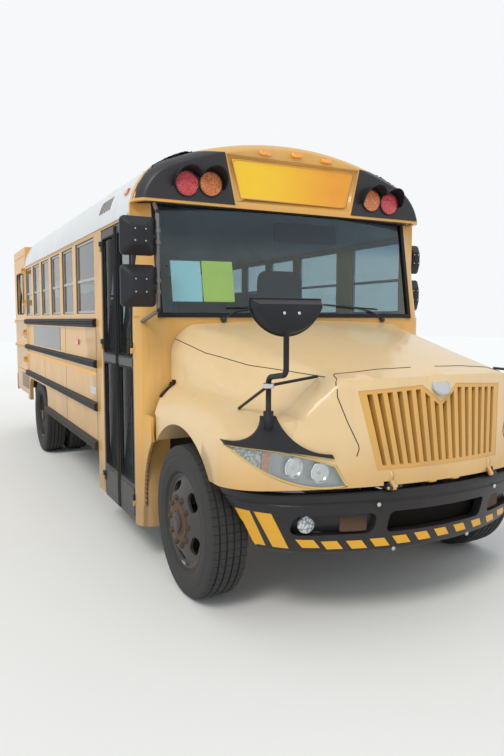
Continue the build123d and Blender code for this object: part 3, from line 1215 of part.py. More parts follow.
AIR_SLOT = (430.0, 530.0, 660.0)        # half width, bottom, top
FOG_SLOT = (560.0, 900.0, 545.0, 665.0)  # inner x, outer x, bottom, top
FRAME_BRACKET = 110.0
bumper_outside = bumper_form(0.0)
bumper_inside = bumper_form(BUMPER_WALL)
bumper_pocket = bumper_form(BUMPER_WALL * 0.7)
with BuildPart() as bumper_shell:
    add(bumper_outside)
    add(bumper_pocket, mode=Mode.SUBTRACT)
with BuildPart() as front_bumper:
    add(bumper_outside)
    add(bumper_inside, mode=Mode.SUBTRACT)
    x_cylinder((-HALF, HALF), FRONT_AXLE_Y, AXLE_Z, BUMPER_CLEAR, Mode.SUBTRACT)
    slot_back = (at(-NOSE_LENGTH - 10), at(-1300))
    half_slot, slot_low, slot_high = AIR_SLOT
    front_prism(((-half_slot, slot_low), (half_slot, slot_low), (half_slot + 25, slot_high),
                 (-half_slot - 25, slot_high)), slot_back, Mode.SUBTRACT)
    fog_in, fog_out, fog_low, fog_high = FOG_SLOT
    for side in (-1, 1):
        with BuildSketch(across(slot_back[1])):
            with Locations((side * (fog_in + fog_out) / 2, (fog_low + fog_high) / 2)):
                RectangleRounded(fog_out - fog_in, fog_high - fog_low, 40)
        fog_tunnel = extrude(amount=slot_back[1] - slot_back[0], mode=Mode.PRIVATE)
        add(fog_tunnel & bumper_shell.part, mode=Mode.SUBTRACT)
        bracket_x = side * (RAIL_SPREAD / 2 - 20)
        block((bracket_x - 30, bracket_x + 30), (at(-1560), at(FRAME_FRONT_BACK)),
              (RAIL_BOTTOM + 20, RAIL_TOP - 80))
    add(bumper_outside, mode=Mode.INTERSECT)
keep("front_bumper", front_bumper)

REAR_BUMPER_HEIGHT = 240.0
with BuildPart() as rear_bumper:
    block((-HALF, HALF), (REAR_Y, REAR_Y + REAR_BUMPER_DEPTH), (RAIL_BOTTOM, RAIL_BOTTOM + REAR_BUMPER_HEIGHT))
    fillet(rear_bumper.edges().filter_by(Axis.Z).group_by(Axis.Y)[-1], 70)
keep("rear_bumper", rear_bumper)


# Rear wall: arched plate with the emergency doorway and two lights
REAR_DOOR_HALF = 400.0
REAR_DOOR_BOTTOM = FLOOR_TOP + 4.0
REAR_DOOR_TOP = 2300.0
REAR_PIN = (-REAR_DOOR_HALF - DOOR_GAP / 2, REAR_Y + 12.0)
REAR_HINGES = (1120.0, 1650.0, 2180.0)
REAR_LIGHT = (560.0, 1050.0, 1740.0, 2260.0)    # inner x, outer x, bottom, top
with BuildPart() as rear_wall:
    with BuildSketch(across(REAR_Y)):
        with BuildLine():
            roof_shape(0.0, RAIL_TOP + 10)
        make_face()
        with Locations((-HALF + HEADER_DEPTH / 2, (GUTTER + HEADER_TOP) / 2)):
            Rectangle(HEADER_DEPTH, HEADER_TOP - GUTTER)
        with Locations((0, (REAR_DOOR_BOTTOM + REAR_DOOR_TOP) / 2)):
            Rectangle(2 * (REAR_DOOR_HALF + DOOR_GAP), REAR_DOOR_TOP - REAR_DOOR_BOTTOM + 2 * DOOR_GAP,
                      mode=Mode.SUBTRACT)
        light_in, light_out, light_low, light_high = REAR_LIGHT
        for side in (-1, 1):
            with Locations((side * (light_in + light_out) / 2, (light_low + light_high) / 2)):
                RectangleRounded(light_out - light_in, light_high - light_low, 50, mode=Mode.SUBTRACT)
    extrude(amount=WALL)
    for height in REAR_HINGES:
        hinge_half(REAR_PIN, height, False, (REAR_PIN[0] - PLATE, REAR_PIN[0] - DOOR_GAP / 2),
                   (REAR_Y - 2, REAR_PIN[1]))
keep("rear_wall", rear_wall)


# Doors: framed leaves, each with its panes set in the middle of its thickness
def framed_leaf(plane, size, panes, thick, pane_radius):
    """Leaf of a door and its glass.

    plane has the leaf's inner face at its origin's corner, x along the leaf, y up, z outwards.
    size is the leaf's width and height; panes are (x0, x1, y0, y1) on it.
    """
    with BuildPart() as leaf:
        with BuildSketch(plane) as face:
            Rectangle(*size, align=(Align.MIN, Align.MIN))
            for x0, x1, y0, y1 in panes:
                with Locations(((x0 + x1) / 2, (y0 + y1) / 2)):
                    RectangleRounded(x1 - x0, y1 - y0, pane_radius, mode=Mode.SUBTRACT)
        extrude(face.sketch, amount=thick)
    with BuildPart() as glass:
        with BuildSketch(plane.offset(thick / 2 - GLASS / 2)) as face:
            for x0, x1, y0, y1 in panes:
                with Locations(((x0 + x1) / 2, (y0 + y1) / 2)):
                    RectangleRounded(x1 - x0, y1 - y0, pane_radius)
        extrude(face.sketch, amount=GLASS)
    return leaf, glass


DOOR_THICK = 35.0
DOOR_FACE_X = -HALF + 4.0
STILE = 46.0
KICK_TOP = 529.0
MID_LOW = 1335.0
MID_HIGH = 1415.0
DOOR_GLASS_TOP = 2289.0
DOOR_MIDDLE = (DOOR_FRONT + DOOR_REAR) / 2
leaf_width = DOOR_MIDDLE - DOOR_FRONT - DOOR_GAP / 2
leaf_panes = [(STILE, leaf_width - STILE, KICK_TOP - DOOR_BOTTOM, MID_LOW - DOOR_BOTTOM),
              (STILE, leaf_width - STILE, MID_HIGH - DOOR_BOTTOM, DOOR_GLASS_TOP - DOOR_BOTTOM)]
for leaf_name, leaf_back in (("front", DOOR_FRONT), ("rear", DOOR_MIDDLE + DOOR_GAP / 2)):
    # the plane faces the entrance side, so its x runs forward
    leaf_plane = Plane(origin=(DOOR_FACE_X + DOOR_THICK, at(leaf_back) + leaf_width, DOOR_BOTTOM),
                       x_dir=(0, -1, 0), z_dir=(-1, 0, 0))
    leaf, glass = framed_leaf(leaf_plane, (leaf_width, DOOR_TOP - DOOR_BOTTOM), leaf_panes, DOOR_THICK, 20)
    pin, inward = (FRONT_LEAF_PIN, 1) if leaf_name == "front" else (REAR_LEAF_PIN, -1)
    with leaf:
        for height in (*LOW_HINGES, HIGH_HINGE):
            hinge_half(pin, height, True, (pin[0], DOOR_FACE_X + 2),
                       (pin[1] + inward * DOOR_GAP / 2, pin[1] + inward * PLATE))
    keep(f"entrance_leaf_{leaf_name}", leaf)
    keep(f"entrance_glass_{leaf_name}", glass)

LIFT_PANE = (5274.0, 5924.0, 1750.0, 2321.0)    # front, rear, bottom, top
lift_width = LIFT_REAR - LIFT_FRONT - 2 * DOOR_GAP
lift_plane = Plane(origin=(-INNER, at(LIFT_REAR - DOOR_GAP), LIFT_BOTTOM), x_dir=(0, -1, 0), z_dir=(-1, 0, 0))
lift_panes = [(LIFT_REAR - DOOR_GAP - LIFT_PANE[1], LIFT_REAR - DOOR_GAP - LIFT_PANE[0],
               LIFT_PANE[2] - LIFT_BOTTOM, LIFT_PANE[3] - LIFT_BOTTOM)]
lift_leaf, lift_door_glass = framed_leaf(lift_plane, (lift_width, LIFT_TOP - LIFT_BOTTOM), lift_panes, WALL, 40)
keep("lift_door_glass", lift_door_glass)

rear_plane = Plane(origin=(REAR_DOOR_HALF, REAR_Y - WALL, REAR_DOOR_BOTTOM), x_dir=(-1, 0, 0), z_dir=(0, 1, 0))
rear_panes = [(90, 2 * REAR_DOOR_HALF - 90, 240, 620),
              (90, 2 * REAR_DOOR_HALF - 90, 760, REAR_DOOR_TOP - REAR_DOOR_BOTTOM - 70)]
rear_door, rear_door_glass = framed_leaf(rear_plane, (2 * REAR_DOOR_HALF, REAR_DOOR_TOP - REAR_DOOR_BOTTOM),
                                         rear_panes, WALL, 40)
with rear_door:
    for height in REAR_HINGES:
        hinge_half(REAR_PIN, height, True, (REAR_PIN[0] + DOOR_GAP / 2, REAR_PIN[0] + PLATE),
                   (REAR_Y - 2, REAR_PIN[1]))
keep("rear_door", rear_door)
keep("rear_door_glass", rear_door_glass)


# Side windows: a sash with a middle rail in each light, and its two panes
with BuildPart() as window_sashes:
    for side, spans in ((-1, RIGHT_LIGHTS), (1, LEFT_LIGHTS)):
        sash_x = (side * (INNER + 10), side * (INNER + 10 + SASH_DEPTH))
        for start, end in spans:
            block(sash_x, (at(start), at(end)), (SILL, WINDOW_TOP))
            for low, high in ((SILL + SASH, MID_RAIL - SASH / 2), (MID_RAIL + SASH / 2, WINDOW_TOP - SASH)):
                block((sash_x[0] - side, sash_x[1] + side), (at(start) + SASH, at(end) - SASH), (low, high),
                      Mode.SUBTRACT)
keep("window_sashes", window_sashes)

with BuildPart() as side_glass:
    for side, spans in ((-1, RIGHT_LIGHTS), (1, LEFT_LIGHTS)):
        pane_x = side * (INNER + 10 + SASH_DEPTH / 2)
        for start, end in spans:
            for low, high in ((SILL + SASH, MID_RAIL - SASH / 2), (MID_RAIL + SASH / 2, WINDOW_TOP - SASH)):
                block((pane_x - GLASS / 2, pane_x + GLASS / 2), (at(start) + SASH, at(end) - SASH), (low, high))
    for side in (-1, 1):
        light_in, light_out, light_low, light_high = REAR_LIGHT
        with BuildSketch(across(REAR_Y - WALL / 2 + GLASS / 2)):
            with Locations((side * (light_in + light_out) / 2, (light_low + light_high) / 2)):
                RectangleRounded(light_out - light_in, light_high - light_low, 50)
        extrude(amount=GLASS)
keep("side_glass", side_glass)


# Rub rails: ribbed pressings along the sides, and the lengths on the lift door
RAIL_START = 1065.0
RAIL_RIBS = 3
RAIL_GROOVE = 9.0           # depth between two ribs
RAIL_EDGE = 0.2             # share of its height that each sloping edge takes
SIDE_RAILS = (              # bottom, top, end short of the rear arch
    (1605.0, 1680.0, False),
    (1266.0, 1336.0, False),
    (903.0, 984.0, False),
    (SKIRT_BOTTOM, 661.0, True))


def rub_rail(side, span, low, high):
    """Pressed rail with sloping edges and grooves between its ribs, on one side of the body."""
    edge = RAIL_EDGE * (high - low)
    rib = (high - low - 2 * edge) / (2 * RAIL_RIBS - 1)
    face_x = side * (HALF + RAIL_DEPTH)
    points = [(side * HALF, low)]
    for number in range(RAIL_RIBS):
        start = low + edge + 2 * number * rib
        if number:
            points.append((face_x - side * RAIL_GROOVE, start - rib / 2))
        points += [(face_x, start), (face_x, start + rib)]
    points.append((side * HALF, high))
    with BuildSketch(across(span[1])) as outline:
        with BuildLine():
            Polyline(*points, close=True)
        make_face()
    extrude(outline.sketch, amount=span[1] - span[0])


ARCH_FRONT_Y = REAR_AXLE_Y - ARCH_HALF
with BuildPart() as rub_rails:
    for low, high, short in SIDE_RAILS:
        right_end = ARCH_FRONT_Y if short else at(LIFT_FRONT)
        left_end = ARCH_FRONT_Y if short else REAR_Y - WALL
        rub_rail(-1, (at(RAIL_START), right_end), low, high)
        rub_rail(1, (at(RAIL_START), left_end), low, high)
keep("rub_rails", rub_rails)

with BuildPart() as lift_door:
    add(lift_leaf.part)
    for low, high, _ in SIDE_RAILS[:2]:
        rub_rail(-1, (at(LIFT_FRONT + DOOR_GAP), at(LIFT_REAR - DOOR_GAP)), low, high)
    for height in LIFT_HINGES:
        hinge_half(LIFT_PIN, height, True, (LIFT_PIN[0], -HALF + 2),
                   (LIFT_PIN[1] + DOOR_GAP / 2, LIFT_PIN[1] + PLATE))
keep("lift_door", lift_door)


# Warning lamps in pairs, front and rear, each pair under one double-arched visor
WARNING_LAMP = 90.0
WARNING_PAIR = ((858.0, 2588.0), (683.0, 2600.0))
LENS_DEPTH = 28.0
VISOR_DEPTH = 130.0
VISOR_WALL = 6.0
VISOR_RADIUS = WARNING_LAMP + 14.0
VISOR_FOOT = 20.0           # its lower edge below the lamps' middles
VISOR_FOOT_DEPTH = 44.0     # how far that edge stands out
lamp_faces = ((at(CAP_FACE_BACK), -1, VISOR_DEPTH), (REAR_Y, 1, REAR_BUMPER_DEPTH - 4))
with BuildPart() as warning_lamps:
    for face_y, outward, _ in lamp_faces:
        for side in (-1, 1):
            for lamp_x, lamp_z in WARNING_PAIR:
                rod((side * lamp_x, face_y, lamp_z), (side * lamp_x, face_y + outward * LENS_DEPTH, lamp_z),
                    WARNING_LAMP)
keep("warning_lamps", warning_lamps)

with BuildPart() as lamp_visors:
    foot_z = WARNING_PAIR[0][1] - VISOR_FOOT
    for face_y, outward, visor_reach in lamp_faces:
        for side in (-1, 1):
            for radius, mode in ((VISOR_RADIUS, Mode.ADD), (VISOR_RADIUS - VISOR_WALL, Mode.SUBTRACT)):
                for lamp_x, lamp_z in WARNING_PAIR:
                    rod((side * lamp_x, face_y, lamp_z), (side * lamp_x, face_y + outward * visor_reach, lamp_z),
                        radius, mode)
            # open below, and cut back towards its foot
            visor_x = side * sum(x for x, _ in WARNING_PAIR) / 2
            brow_z = WARNING_PAIR[1][1] + VISOR_RADIUS
            end_y = face_y + outward * (visor_reach + 1)
            side_prism(((face_y - outward, foot_z), (face_y + outward * VISOR_FOOT_DEPTH, foot_z), (end_y, brow_z),
                        (end_y, foot_z - 2 * VISOR_RADIUS), (face_y - outward, foot_z - 2 * VISOR_RADIUS)),
                       (visor_x - 2.5 * VISOR_RADIUS, visor_x + 2.5 * VISOR_RADIUS), Mode.SUBTRACT)
keep("lamp_visors", lamp_visors)

CAP_LAMPS = ((-259.0, 2853.0), (0.0, 2866.0), (259.0, 2853.0))
CAP_LAMP_SIZE = (92.0, 24.0, 30.0)
TAIL_LAMPS = ((930.0, 1560.0, 89.0), (930.0, 1350.0, 89.0), (930.0, 1190.0, 50.0))   # x, z, radius
with BuildPart() as marker_lamps:
    for lamp_x, lamp_z in CAP_LAMPS:
        for face_y, outward, _ in lamp_faces:
            block((lamp_x - CAP_LAMP_SIZE[0] / 2, lamp_x + CAP_LAMP_SIZE[0] / 2),
                  (face_y, face_y + outward * CAP_LAMP_SIZE[1]),
                  (lamp_z - CAP_LAMP_SIZE[2] / 2, lamp_z + CAP_LAMP_SIZE[2] / 2))
    for side in (-1, 1):
        for lamp_x, lamp_z, radius in TAIL_LAMPS:
            rod((side * lamp_x, REAR_Y, lamp_z), (side * lamp_x, REAR_Y + LENS_DEPTH, lamp_z), radius)
keep("marker_lamps", marker_lamps)


# Side mirrors: two heads with pyramid backs on a tube loop each side
MIRROR_REACH = 1391.0
MIRROR_TUBE = 12.0
MIRROR_TUBE_BACK = 22.0     # from the heads' glass forward to the tube
MIRROR_HEADS = ((2190.0, 240.0), (1882.0, 262.0))   # middle z, height
MIRROR_HEAD_DEPTH = 78.0
MIRROR_SKIRT = 16.0         # upright edge before the back slopes in
MIRROR_FLAT = 0.46          # share of a head's width and height that its flat middle has
MIRROR_CORNER = 30.0
ENTRANCE_MIRROR = (226.0, -300.0, 14.0)     # head width, back, gap from head to tube
DRIVER_MIRROR = (150.0, 175.0, -30.0)
LOOP_LOW = 1718.0
LOOP_HIGH = 2360.0
ENTRANCE_FOOT = (-1180.0, -50.0, 1655.0)    # x, back, z of the loop's ends on the body
ENTRANCE_TOP = (-1085.0, -60.0, 2440.0)
DRIVER_FEET = (1735.0, 2335.0)
DRIVER_FOOT_BACK = 40.0     # the feet stand this far forward of the tube


def mirror_face(side, width, y, middle_z, height, share):
    """Rounded outline of a head at a row y, at a share of its size."""
    with BuildSketch(across(y)) as outline:
        with Locations((side * (MIRROR_REACH - width / 2), middle_z)):
            RectangleRounded(width * share, height * share, MIRROR_CORNER * share)
    return outline.sketch


def mirror_heads(side, width, back, tube_x):
    """Two pyramid-backed heads whose outer edges lie at MIRROR_REACH, clamped on a tube."""
    for middle_z, height in MIRROR_HEADS:
        extrude(mirror_face(side, width, at(back), middle_z, height, 1.0), amount=MIRROR_SKIRT)
        loft([mirror_face(side, width, at(back) - MIRROR_SKIRT, middle_z, height, 1.0),
              mirror_face(side, width, at(back) - MIRROR_HEAD_DEPTH, middle_z, height, MIRROR_FLAT)])
        clamp_y = at(back) - MIRROR_TUBE_BACK
        rod((tube_x, clamp_y, middle_z), (side * (MIRROR_REACH - width / 2), clamp_y, middle_z), MIRROR_TUBE - 2)


with BuildPart() as side_mirrors:
    width, back, tube_gap = ENTRANCE_MIRROR
    tube_x = -(MIRROR_REACH - width - tube_gap)
    mirror_heads(-1, width, back, tube_x)
    loop_y = at(back) - MIRROR_TUBE_BACK
    rod((ENTRANCE_FOOT[0], at(ENTRANCE_FOOT[1]), ENTRANCE_FOOT[2]), (tube_x, loop_y, LOOP_LOW + MIRROR_TUBE),
        MIRROR_TUBE)
    rod((tube_x, loop_y, LOOP_LOW), (tube_x, loop_y, LOOP_HIGH), MIRROR_TUBE)
    rod((tube_x, loop_y, LOOP_HIGH - MIRROR_TUBE), (ENTRANCE_TOP[0], at(ENTRANCE_TOP[1]), ENTRANCE_TOP[2]),
        MIRROR_TUBE)
    width, back, tube_gap = DRIVER_MIRROR
    tube_x = MIRROR_REACH - width - tube_gap
    mirror_heads(1, width, back, tube_x)
    loop_y = at(back) - MIRROR_TUBE_BACK
    rod((tube_x, loop_y, LOOP_LOW), (tube_x, loop_y, LOOP_HIGH), MIRROR_TUBE)
    for foot_z in DRIVER_FEET:
        rod((HALF, loop_y - DRIVER_FOOT_BACK, foot_z), (tube_x, loop_y, foot_z), MIRROR_TUBE)
    for body_piece in (cowl, front_pillars, windscreen_frame, front_cap, side_wall_left):
        add(body_piece.part, mode=Mode.SUBTRACT)
keep("side_mirrors", side_mirrors)


# Passenger benches: cushions, backs and their frames
BENCH_ROWS = ((-1, 5), (1, 6))          # side, rows
BENCH_START = 1330.0
BENCH_PITCH = 745.0
BENCH_WIDTH = 860.0
BENCH_DEPTH = 390.0
CUSHION_THICK = 110.0
CUSHION_TOP = FLOOR_TOP + 445.0
BACK_THICK = 90.0
BACK_HEIGHT = 620.0
BENCH_WALL_GAP = 14.0
bench_places = [(side, at(BENCH_START + row * BENCH_PITCH)) for side, rows in BENCH_ROWS for row in range(rows)]


def bench_span(side):
    """Two x of a bench, from the wall to the aisle."""
    return side * (INNER - BENCH_WALL_GAP), side * (INNER - BENCH_WALL_GAP - BENCH_WIDTH)


with BuildPart() as seat_cushions:
    for side, seat_y in bench_places:
        block(bench_span(side), (seat_y, seat_y + BENCH_DEPTH), (CUSHION_TOP - CUSHION_THICK, CUSHION_TOP))
keep("seat_cushions", seat_cushions)

with BuildPart() as seat_backs:
    for side, seat_y in bench_places:
        block(bench_span(side), (seat_y + BENCH_DEPTH + 2, seat_y + BENCH_DEPTH + 2 + BACK_THICK),
              (CUSHION_TOP - CUSHION_THICK, CUSHION_TOP - CUSHION_THICK + BACK_HEIGHT))
keep("seat_backs", seat_backs)

LEG = 28.0
LEG_INSET = 60.0            # of the legs from each end and from the cushion's front
FRAME_INSET = (30.0, 20.0)  # of the frame from the cushion's front and the back's rear
with BuildPart() as seat_frames:
    for side, seat_y in bench_places:
        wall_x, aisle_x = bench_span(side)
        bench_bottom = CUSHION_TOP - CUSHION_THICK
        block((wall_x, aisle_x), (seat_y + FRAME_INSET[0], seat_y + BENCH_DEPTH + BACK_THICK - FRAME_INSET[1]),
              (bench_bottom - LEG, bench_bottom))
        for leg_x in (aisle_x + side * LEG_INSET, wall_x - side * LEG_INSET):
            for leg_y in (seat_y + LEG_INSET, seat_y + BENCH_DEPTH):
                block((leg_x, leg_x + side * LEG), (leg_y, leg_y + LEG), (FLOOR_TOP, bench_bottom - LEG))
keep("seat_frames", seat_frames)


# Driver's place: seat on its pedestal, dashboard, steering wheel with its column
DRIVER_X = 560.0
DRIVER_CUSHION = (500.0, 700.0, 1150.0)     # width, front and rear backs
DRIVER_CUSHION_TOP = 1510.0
DRIVER_CUSHION_THICK = 110.0
DRIVER_CORNER = 60.0
DRIVER_BACK = (480.0, 1100.0, 1200.0)       # width, front and rear backs
DRIVER_BACK_TOP = 2130.0
PEDESTAL = (300.0, 780.0, 1080.0)           # width, front and rear backs
with BuildPart() as driver_seat:
    width, front, rear = DRIVER_CUSHION
    block((DRIVER_X - width / 2, DRIVER_X + width / 2), (at(front), at(rear)),
          (DRIVER_CUSHION_TOP - DRIVER_CUSHION_THICK, DRIVER_CUSHION_TOP))
    fillet(driver_seat.edges().filter_by(Axis.Z), DRIVER_CORNER)
    width, front, rear = DRIVER_BACK
    block((DRIVER_X - width / 2, DRIVER_X + width / 2), (at(front), at(rear)), (DRIVER_CUSHION_TOP, DRIVER_BACK_TOP))
    width, front, rear = PEDESTAL
    block((DRIVER_X - width / 2, DRIVER_X + width / 2), (at(front), at(rear)),
          (FLOOR_TOP, DRIVER_CUSHION_TOP - DRIVER_CUSHION_THICK))
keep("driver_seat", driver_seat)

DASH_ENTRANCE_X = -430.0
DASH_WALL_GAP = 4.0
DASH_SECTION = ((0.0, FLOOR_TOP), (110.0, FLOOR_TOP), (250.0, 1330.0), (170.0, 1560.0), (0.0, 1640.0))
with BuildPart() as dashboard:
    dash_y = at(DOOR_FRONT - DOOR_GAP)
    side_prism([(dash_y + reach, z) for reach, z in DASH_SECTION], (DASH_ENTRANCE_X, INNER - DASH_WALL_GAP))
keep("dashboard", dashboard)

STEER_RADIUS = 228.0
STEER_RIM = 15.0
STEER_PLACE = (430.0, 1590.0)               # back, height
STEER_LEAN = 30.0                           # of its column from upright, in degrees
SPOKE = (40.0, 16.0)                        # width, thickness
STEER_HUB = 60.0
COLUMN = (30.0, 420.0)                      # radius, length
with BuildPart() as steering_wheel:
    lean = STEER_LEAN * pi / 180
    wheel_plane = Plane(origin=(DRIVER_X, at(STEER_PLACE[0]), STEER_PLACE[1]), x_dir=(1, 0, 0),
                        z_dir=(0, sin(lean), cos(lean)))
    with BuildSketch(Plane(origin=wheel_plane.origin, x_dir=(1, 0, 0), z_dir=wheel_plane.y_dir)):
        with Locations((STEER_RADIUS, 0)):
            Circle(STEER_RIM)
    revolve(axis=Axis(wheel_plane.origin, wheel_plane.z_dir))
    with BuildSketch(wheel_plane.offset(-SPOKE[1] / 2)):
        Rectangle(2 * STEER_RADIUS, SPOKE[0])
        Circle(STEER_HUB)
    extrude(amount=SPOKE[1])
    rod(wheel_plane.origin, tuple(wheel_plane.origin - wheel_plane.z_dir * COLUMN[1]), COLUMN[0])
    add(dashboard.part, mode=Mode.SUBTRACT)
keep("steering_wheel", steering_wheel)


# Stop arm: an octagonal blade folded back along the driver's side
STOP_ACROSS = 457.0
with BuildPart() as stop_arm:
    with BuildSketch(Plane.YZ.offset(STOP_STAND)):
        with Locations((at(STOP_BACK) + 40 + STOP_ACROSS / 2, STOP_Z)):
            RegularPolygon(STOP_ACROSS / 2, 8, major_radius=False, rotation=22.5)
        with Locations((at(STOP_BACK) + 50, STOP_Z)):
            Rectangle(100, 220)
    extrude(amount=STOP_THICK)
    rod((STOP_PIN_X, at(STOP_BACK), STOP_Z - 110), (STOP_PIN_X, at(STOP_BACK), STOP_Z + 110), 12)
    rod((STOP_PIN_X, at(STOP_BACK), STOP_Z - STOP_LUG[1]), (STOP_PIN_X, at(STOP_BACK), STOP_Z + STOP_LUG[1]),
        STOP_PIN - RUNNING_FIT)
keep("stop_arm", stop_arm)
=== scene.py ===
"""Looks of a short conventional school bus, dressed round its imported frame.

Metres, +Z up, the nose towards -Y and the entrance side towards -X, as in the frame.
Stations called "back" are measured from the front corner of the body to the rear.
"""
from dataclasses import dataclass, field
from enum import Enum
import json
import logging
import math

import bmesh
import bpy
import numpy as np
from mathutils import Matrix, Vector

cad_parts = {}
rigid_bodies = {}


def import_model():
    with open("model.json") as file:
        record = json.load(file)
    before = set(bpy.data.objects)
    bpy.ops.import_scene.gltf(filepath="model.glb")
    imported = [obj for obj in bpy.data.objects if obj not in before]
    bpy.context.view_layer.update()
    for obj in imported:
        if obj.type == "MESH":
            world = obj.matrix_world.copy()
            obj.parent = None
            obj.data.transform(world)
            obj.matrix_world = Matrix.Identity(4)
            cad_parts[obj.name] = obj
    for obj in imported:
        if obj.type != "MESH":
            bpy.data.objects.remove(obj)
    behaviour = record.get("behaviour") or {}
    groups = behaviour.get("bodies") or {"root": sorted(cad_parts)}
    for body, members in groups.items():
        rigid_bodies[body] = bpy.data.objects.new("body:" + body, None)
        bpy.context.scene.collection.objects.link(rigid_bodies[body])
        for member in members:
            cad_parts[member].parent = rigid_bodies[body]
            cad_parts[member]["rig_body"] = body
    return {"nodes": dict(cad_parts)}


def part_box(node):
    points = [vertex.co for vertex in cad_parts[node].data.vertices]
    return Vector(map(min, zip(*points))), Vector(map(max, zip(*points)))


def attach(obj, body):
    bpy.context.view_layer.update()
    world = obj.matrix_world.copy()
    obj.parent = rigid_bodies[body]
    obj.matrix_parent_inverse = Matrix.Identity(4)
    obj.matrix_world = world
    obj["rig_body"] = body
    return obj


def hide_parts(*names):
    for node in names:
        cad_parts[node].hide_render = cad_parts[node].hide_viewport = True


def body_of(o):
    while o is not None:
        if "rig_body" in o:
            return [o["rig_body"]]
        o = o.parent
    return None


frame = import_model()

log = logging.getLogger("bus")
Array = np.ndarray
Colour = tuple[float, float, float]
Point = tuple[float, float, float]
Flat = tuple[float, float]
Socket = bpy.types.NodeSocket

DOOR_EDGE = 0.020           # from the body's front corner to the driver's wall's front edge
CORNER_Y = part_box("side_wall_left")[0].y - DOOR_EDGE
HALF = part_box("rear_wall")[1].x
REAR_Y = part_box("rear_wall")[1].y
LAMP_FACE_Y = CORNER_Y - 0.080          # the cap's face that carries the lamps and the sign
FORM_GAP = 1e-6             # points of a form that are closer are one
NODE_GAP = 1e-5             # the same for a copied CAD node
NODE_SHARP = 30.0           # edge angle in degrees from which a copied node's shading breaks


def at(back: float) -> float:
    """Row y of a station measured back from the front corner of the body."""
    return CORNER_Y + back


class Facing(Enum):
    """The way a flat piece faces: its own two axes and its outward normal."""

    FRONT = ((1, 0, 0), (0, 0, 1), (0, -1, 0))
    REAR = ((1, 0, 0), (0, 0, 1), (0, 1, 0))
    RIGHT = ((0, 1, 0), (0, 0, 1), (-1, 0, 0))
    LEFT = ((0, 1, 0), (0, 0, 1), (1, 0, 0))
    UP = ((1, 0, 0), (0, 1, 0), (0, 0, 1))

    @property
    def axes(self) -> Array:
        """The three axes as the rows of a matrix."""
        return np.array(self.value, float)


def side_of(side: int) -> tuple[str, Facing]:
    """Name and facing of the entrance side, -1, or of the driver's side, 1."""
    return ("right", Facing.RIGHT) if side < 0 else ("left", Facing.LEFT)


@dataclass
class Form:
    """A mesh in the making: its points, its four-cornered faces and its other faces."""

    points: Array
    quads: Array = field(default_factory=lambda: np.zeros((0, 4), int))
    others: list[list[int]] = field(default_factory=list)

    def turned(self, degrees: float, axis: Point, about: Point = (0.0, 0.0, 0.0)) -> "Form":
        """The form turned about an axis through a point, by the rotation formula of Rodrigues.

        Args:
            degrees: the angle.
            axis: its direction.
            about: a point on it.

        Returns:
            The turned form.
        """
        k = np.array(axis, float) / np.linalg.norm(axis)
        cross = np.array([[0, -k[2], k[1]], [k[2], 0, -k[0]], [-k[1], k[0], 0]])
        angle = math.radians(degrees)
        matrix = np.eye(3) + math.sin(angle) * cross + (1 - math.cos(angle)) * cross @ cross
        origin = np.array(about)
        return Form((self.points - origin) @ matrix.T + origin, self.quads, self.others)

    def mirrored(self) -> "Form":
        """The form on the other side of the middle, its faces turned to stay outward."""
        return Form(self.points * [-1, 1, 1], self.quads[:, ::-1], [face[::-1] for face in self.others])

    def both_sides(self) -> "Form":
        """The form and its mirror image."""
        return joined(self, self.mirrored())

    def repeated(self, offsets: Array) -> "Form":
        """Copies of the form at each of (k, 3) offsets, as one form.

        Args:
            offsets: (k, 3) moves.

        Returns:
            The copies as one form.
        """
        offsets = np.asarray(offsets, float).reshape(-1, 3)
        count = len(self.points)
        points = (self.points[None] + offsets[:, None]).reshape(-1, 3)
        steps = np.arange(len(offsets)) * count
        quads = (self.quads[None] + steps[:, None, None]).reshape(-1, 4)
        others = [[corner + step for corner in face] for step in steps for face in self.others]
        return Form(points, quads, others)


def joined(*forms: Form) -> Form:
    """Several forms as one.

    Args:
        forms: the forms, whose faces keep their own points.

    Returns:
        One form that holds them all.
    """
    steps = np.cumsum([0] + [len(form.points) for form in forms])
    return Form(np.concatenate([form.points for form in forms]),
                np.concatenate([form.quads + step for form, step in zip(forms, steps)]).astype(int),
                [[corner + step for corner in face] for form, step in zip(forms, steps) for face in form.others])


def woven(points: Array, round_rows: bool = False, round_columns: bool = False, capped: bool = False) -> Form:
    """Quads over a grid of points, each joining a point to the next in its row and column.

    Args:
        points: (rows, columns, 3) places.
        round_rows: joins the last row to the first.
        round_columns: joins the last column to the first.
        capped: closes the first and last row with a face each.

    Returns:
        The form of the grid.
    """
    rows, columns = points.shape[:2]
    index = np.arange(rows * columns).reshape(rows, columns)
    if round_rows:
        index = np.vstack([index, index[:1]])
    if round_columns:
        index = np.hstack([index, index[:, :1]])
    quads = np.stack([index[:-1, :-1], index[:-1, 1:], index[1:, 1:], index[1:, :-1]], -1).reshape(-1, 4)
    caps = [list(range(columns))[::-1], list(range((rows - 1) * columns, rows * columns))] if capped else []
    return Form(points.reshape(-1, 3), quads, caps)


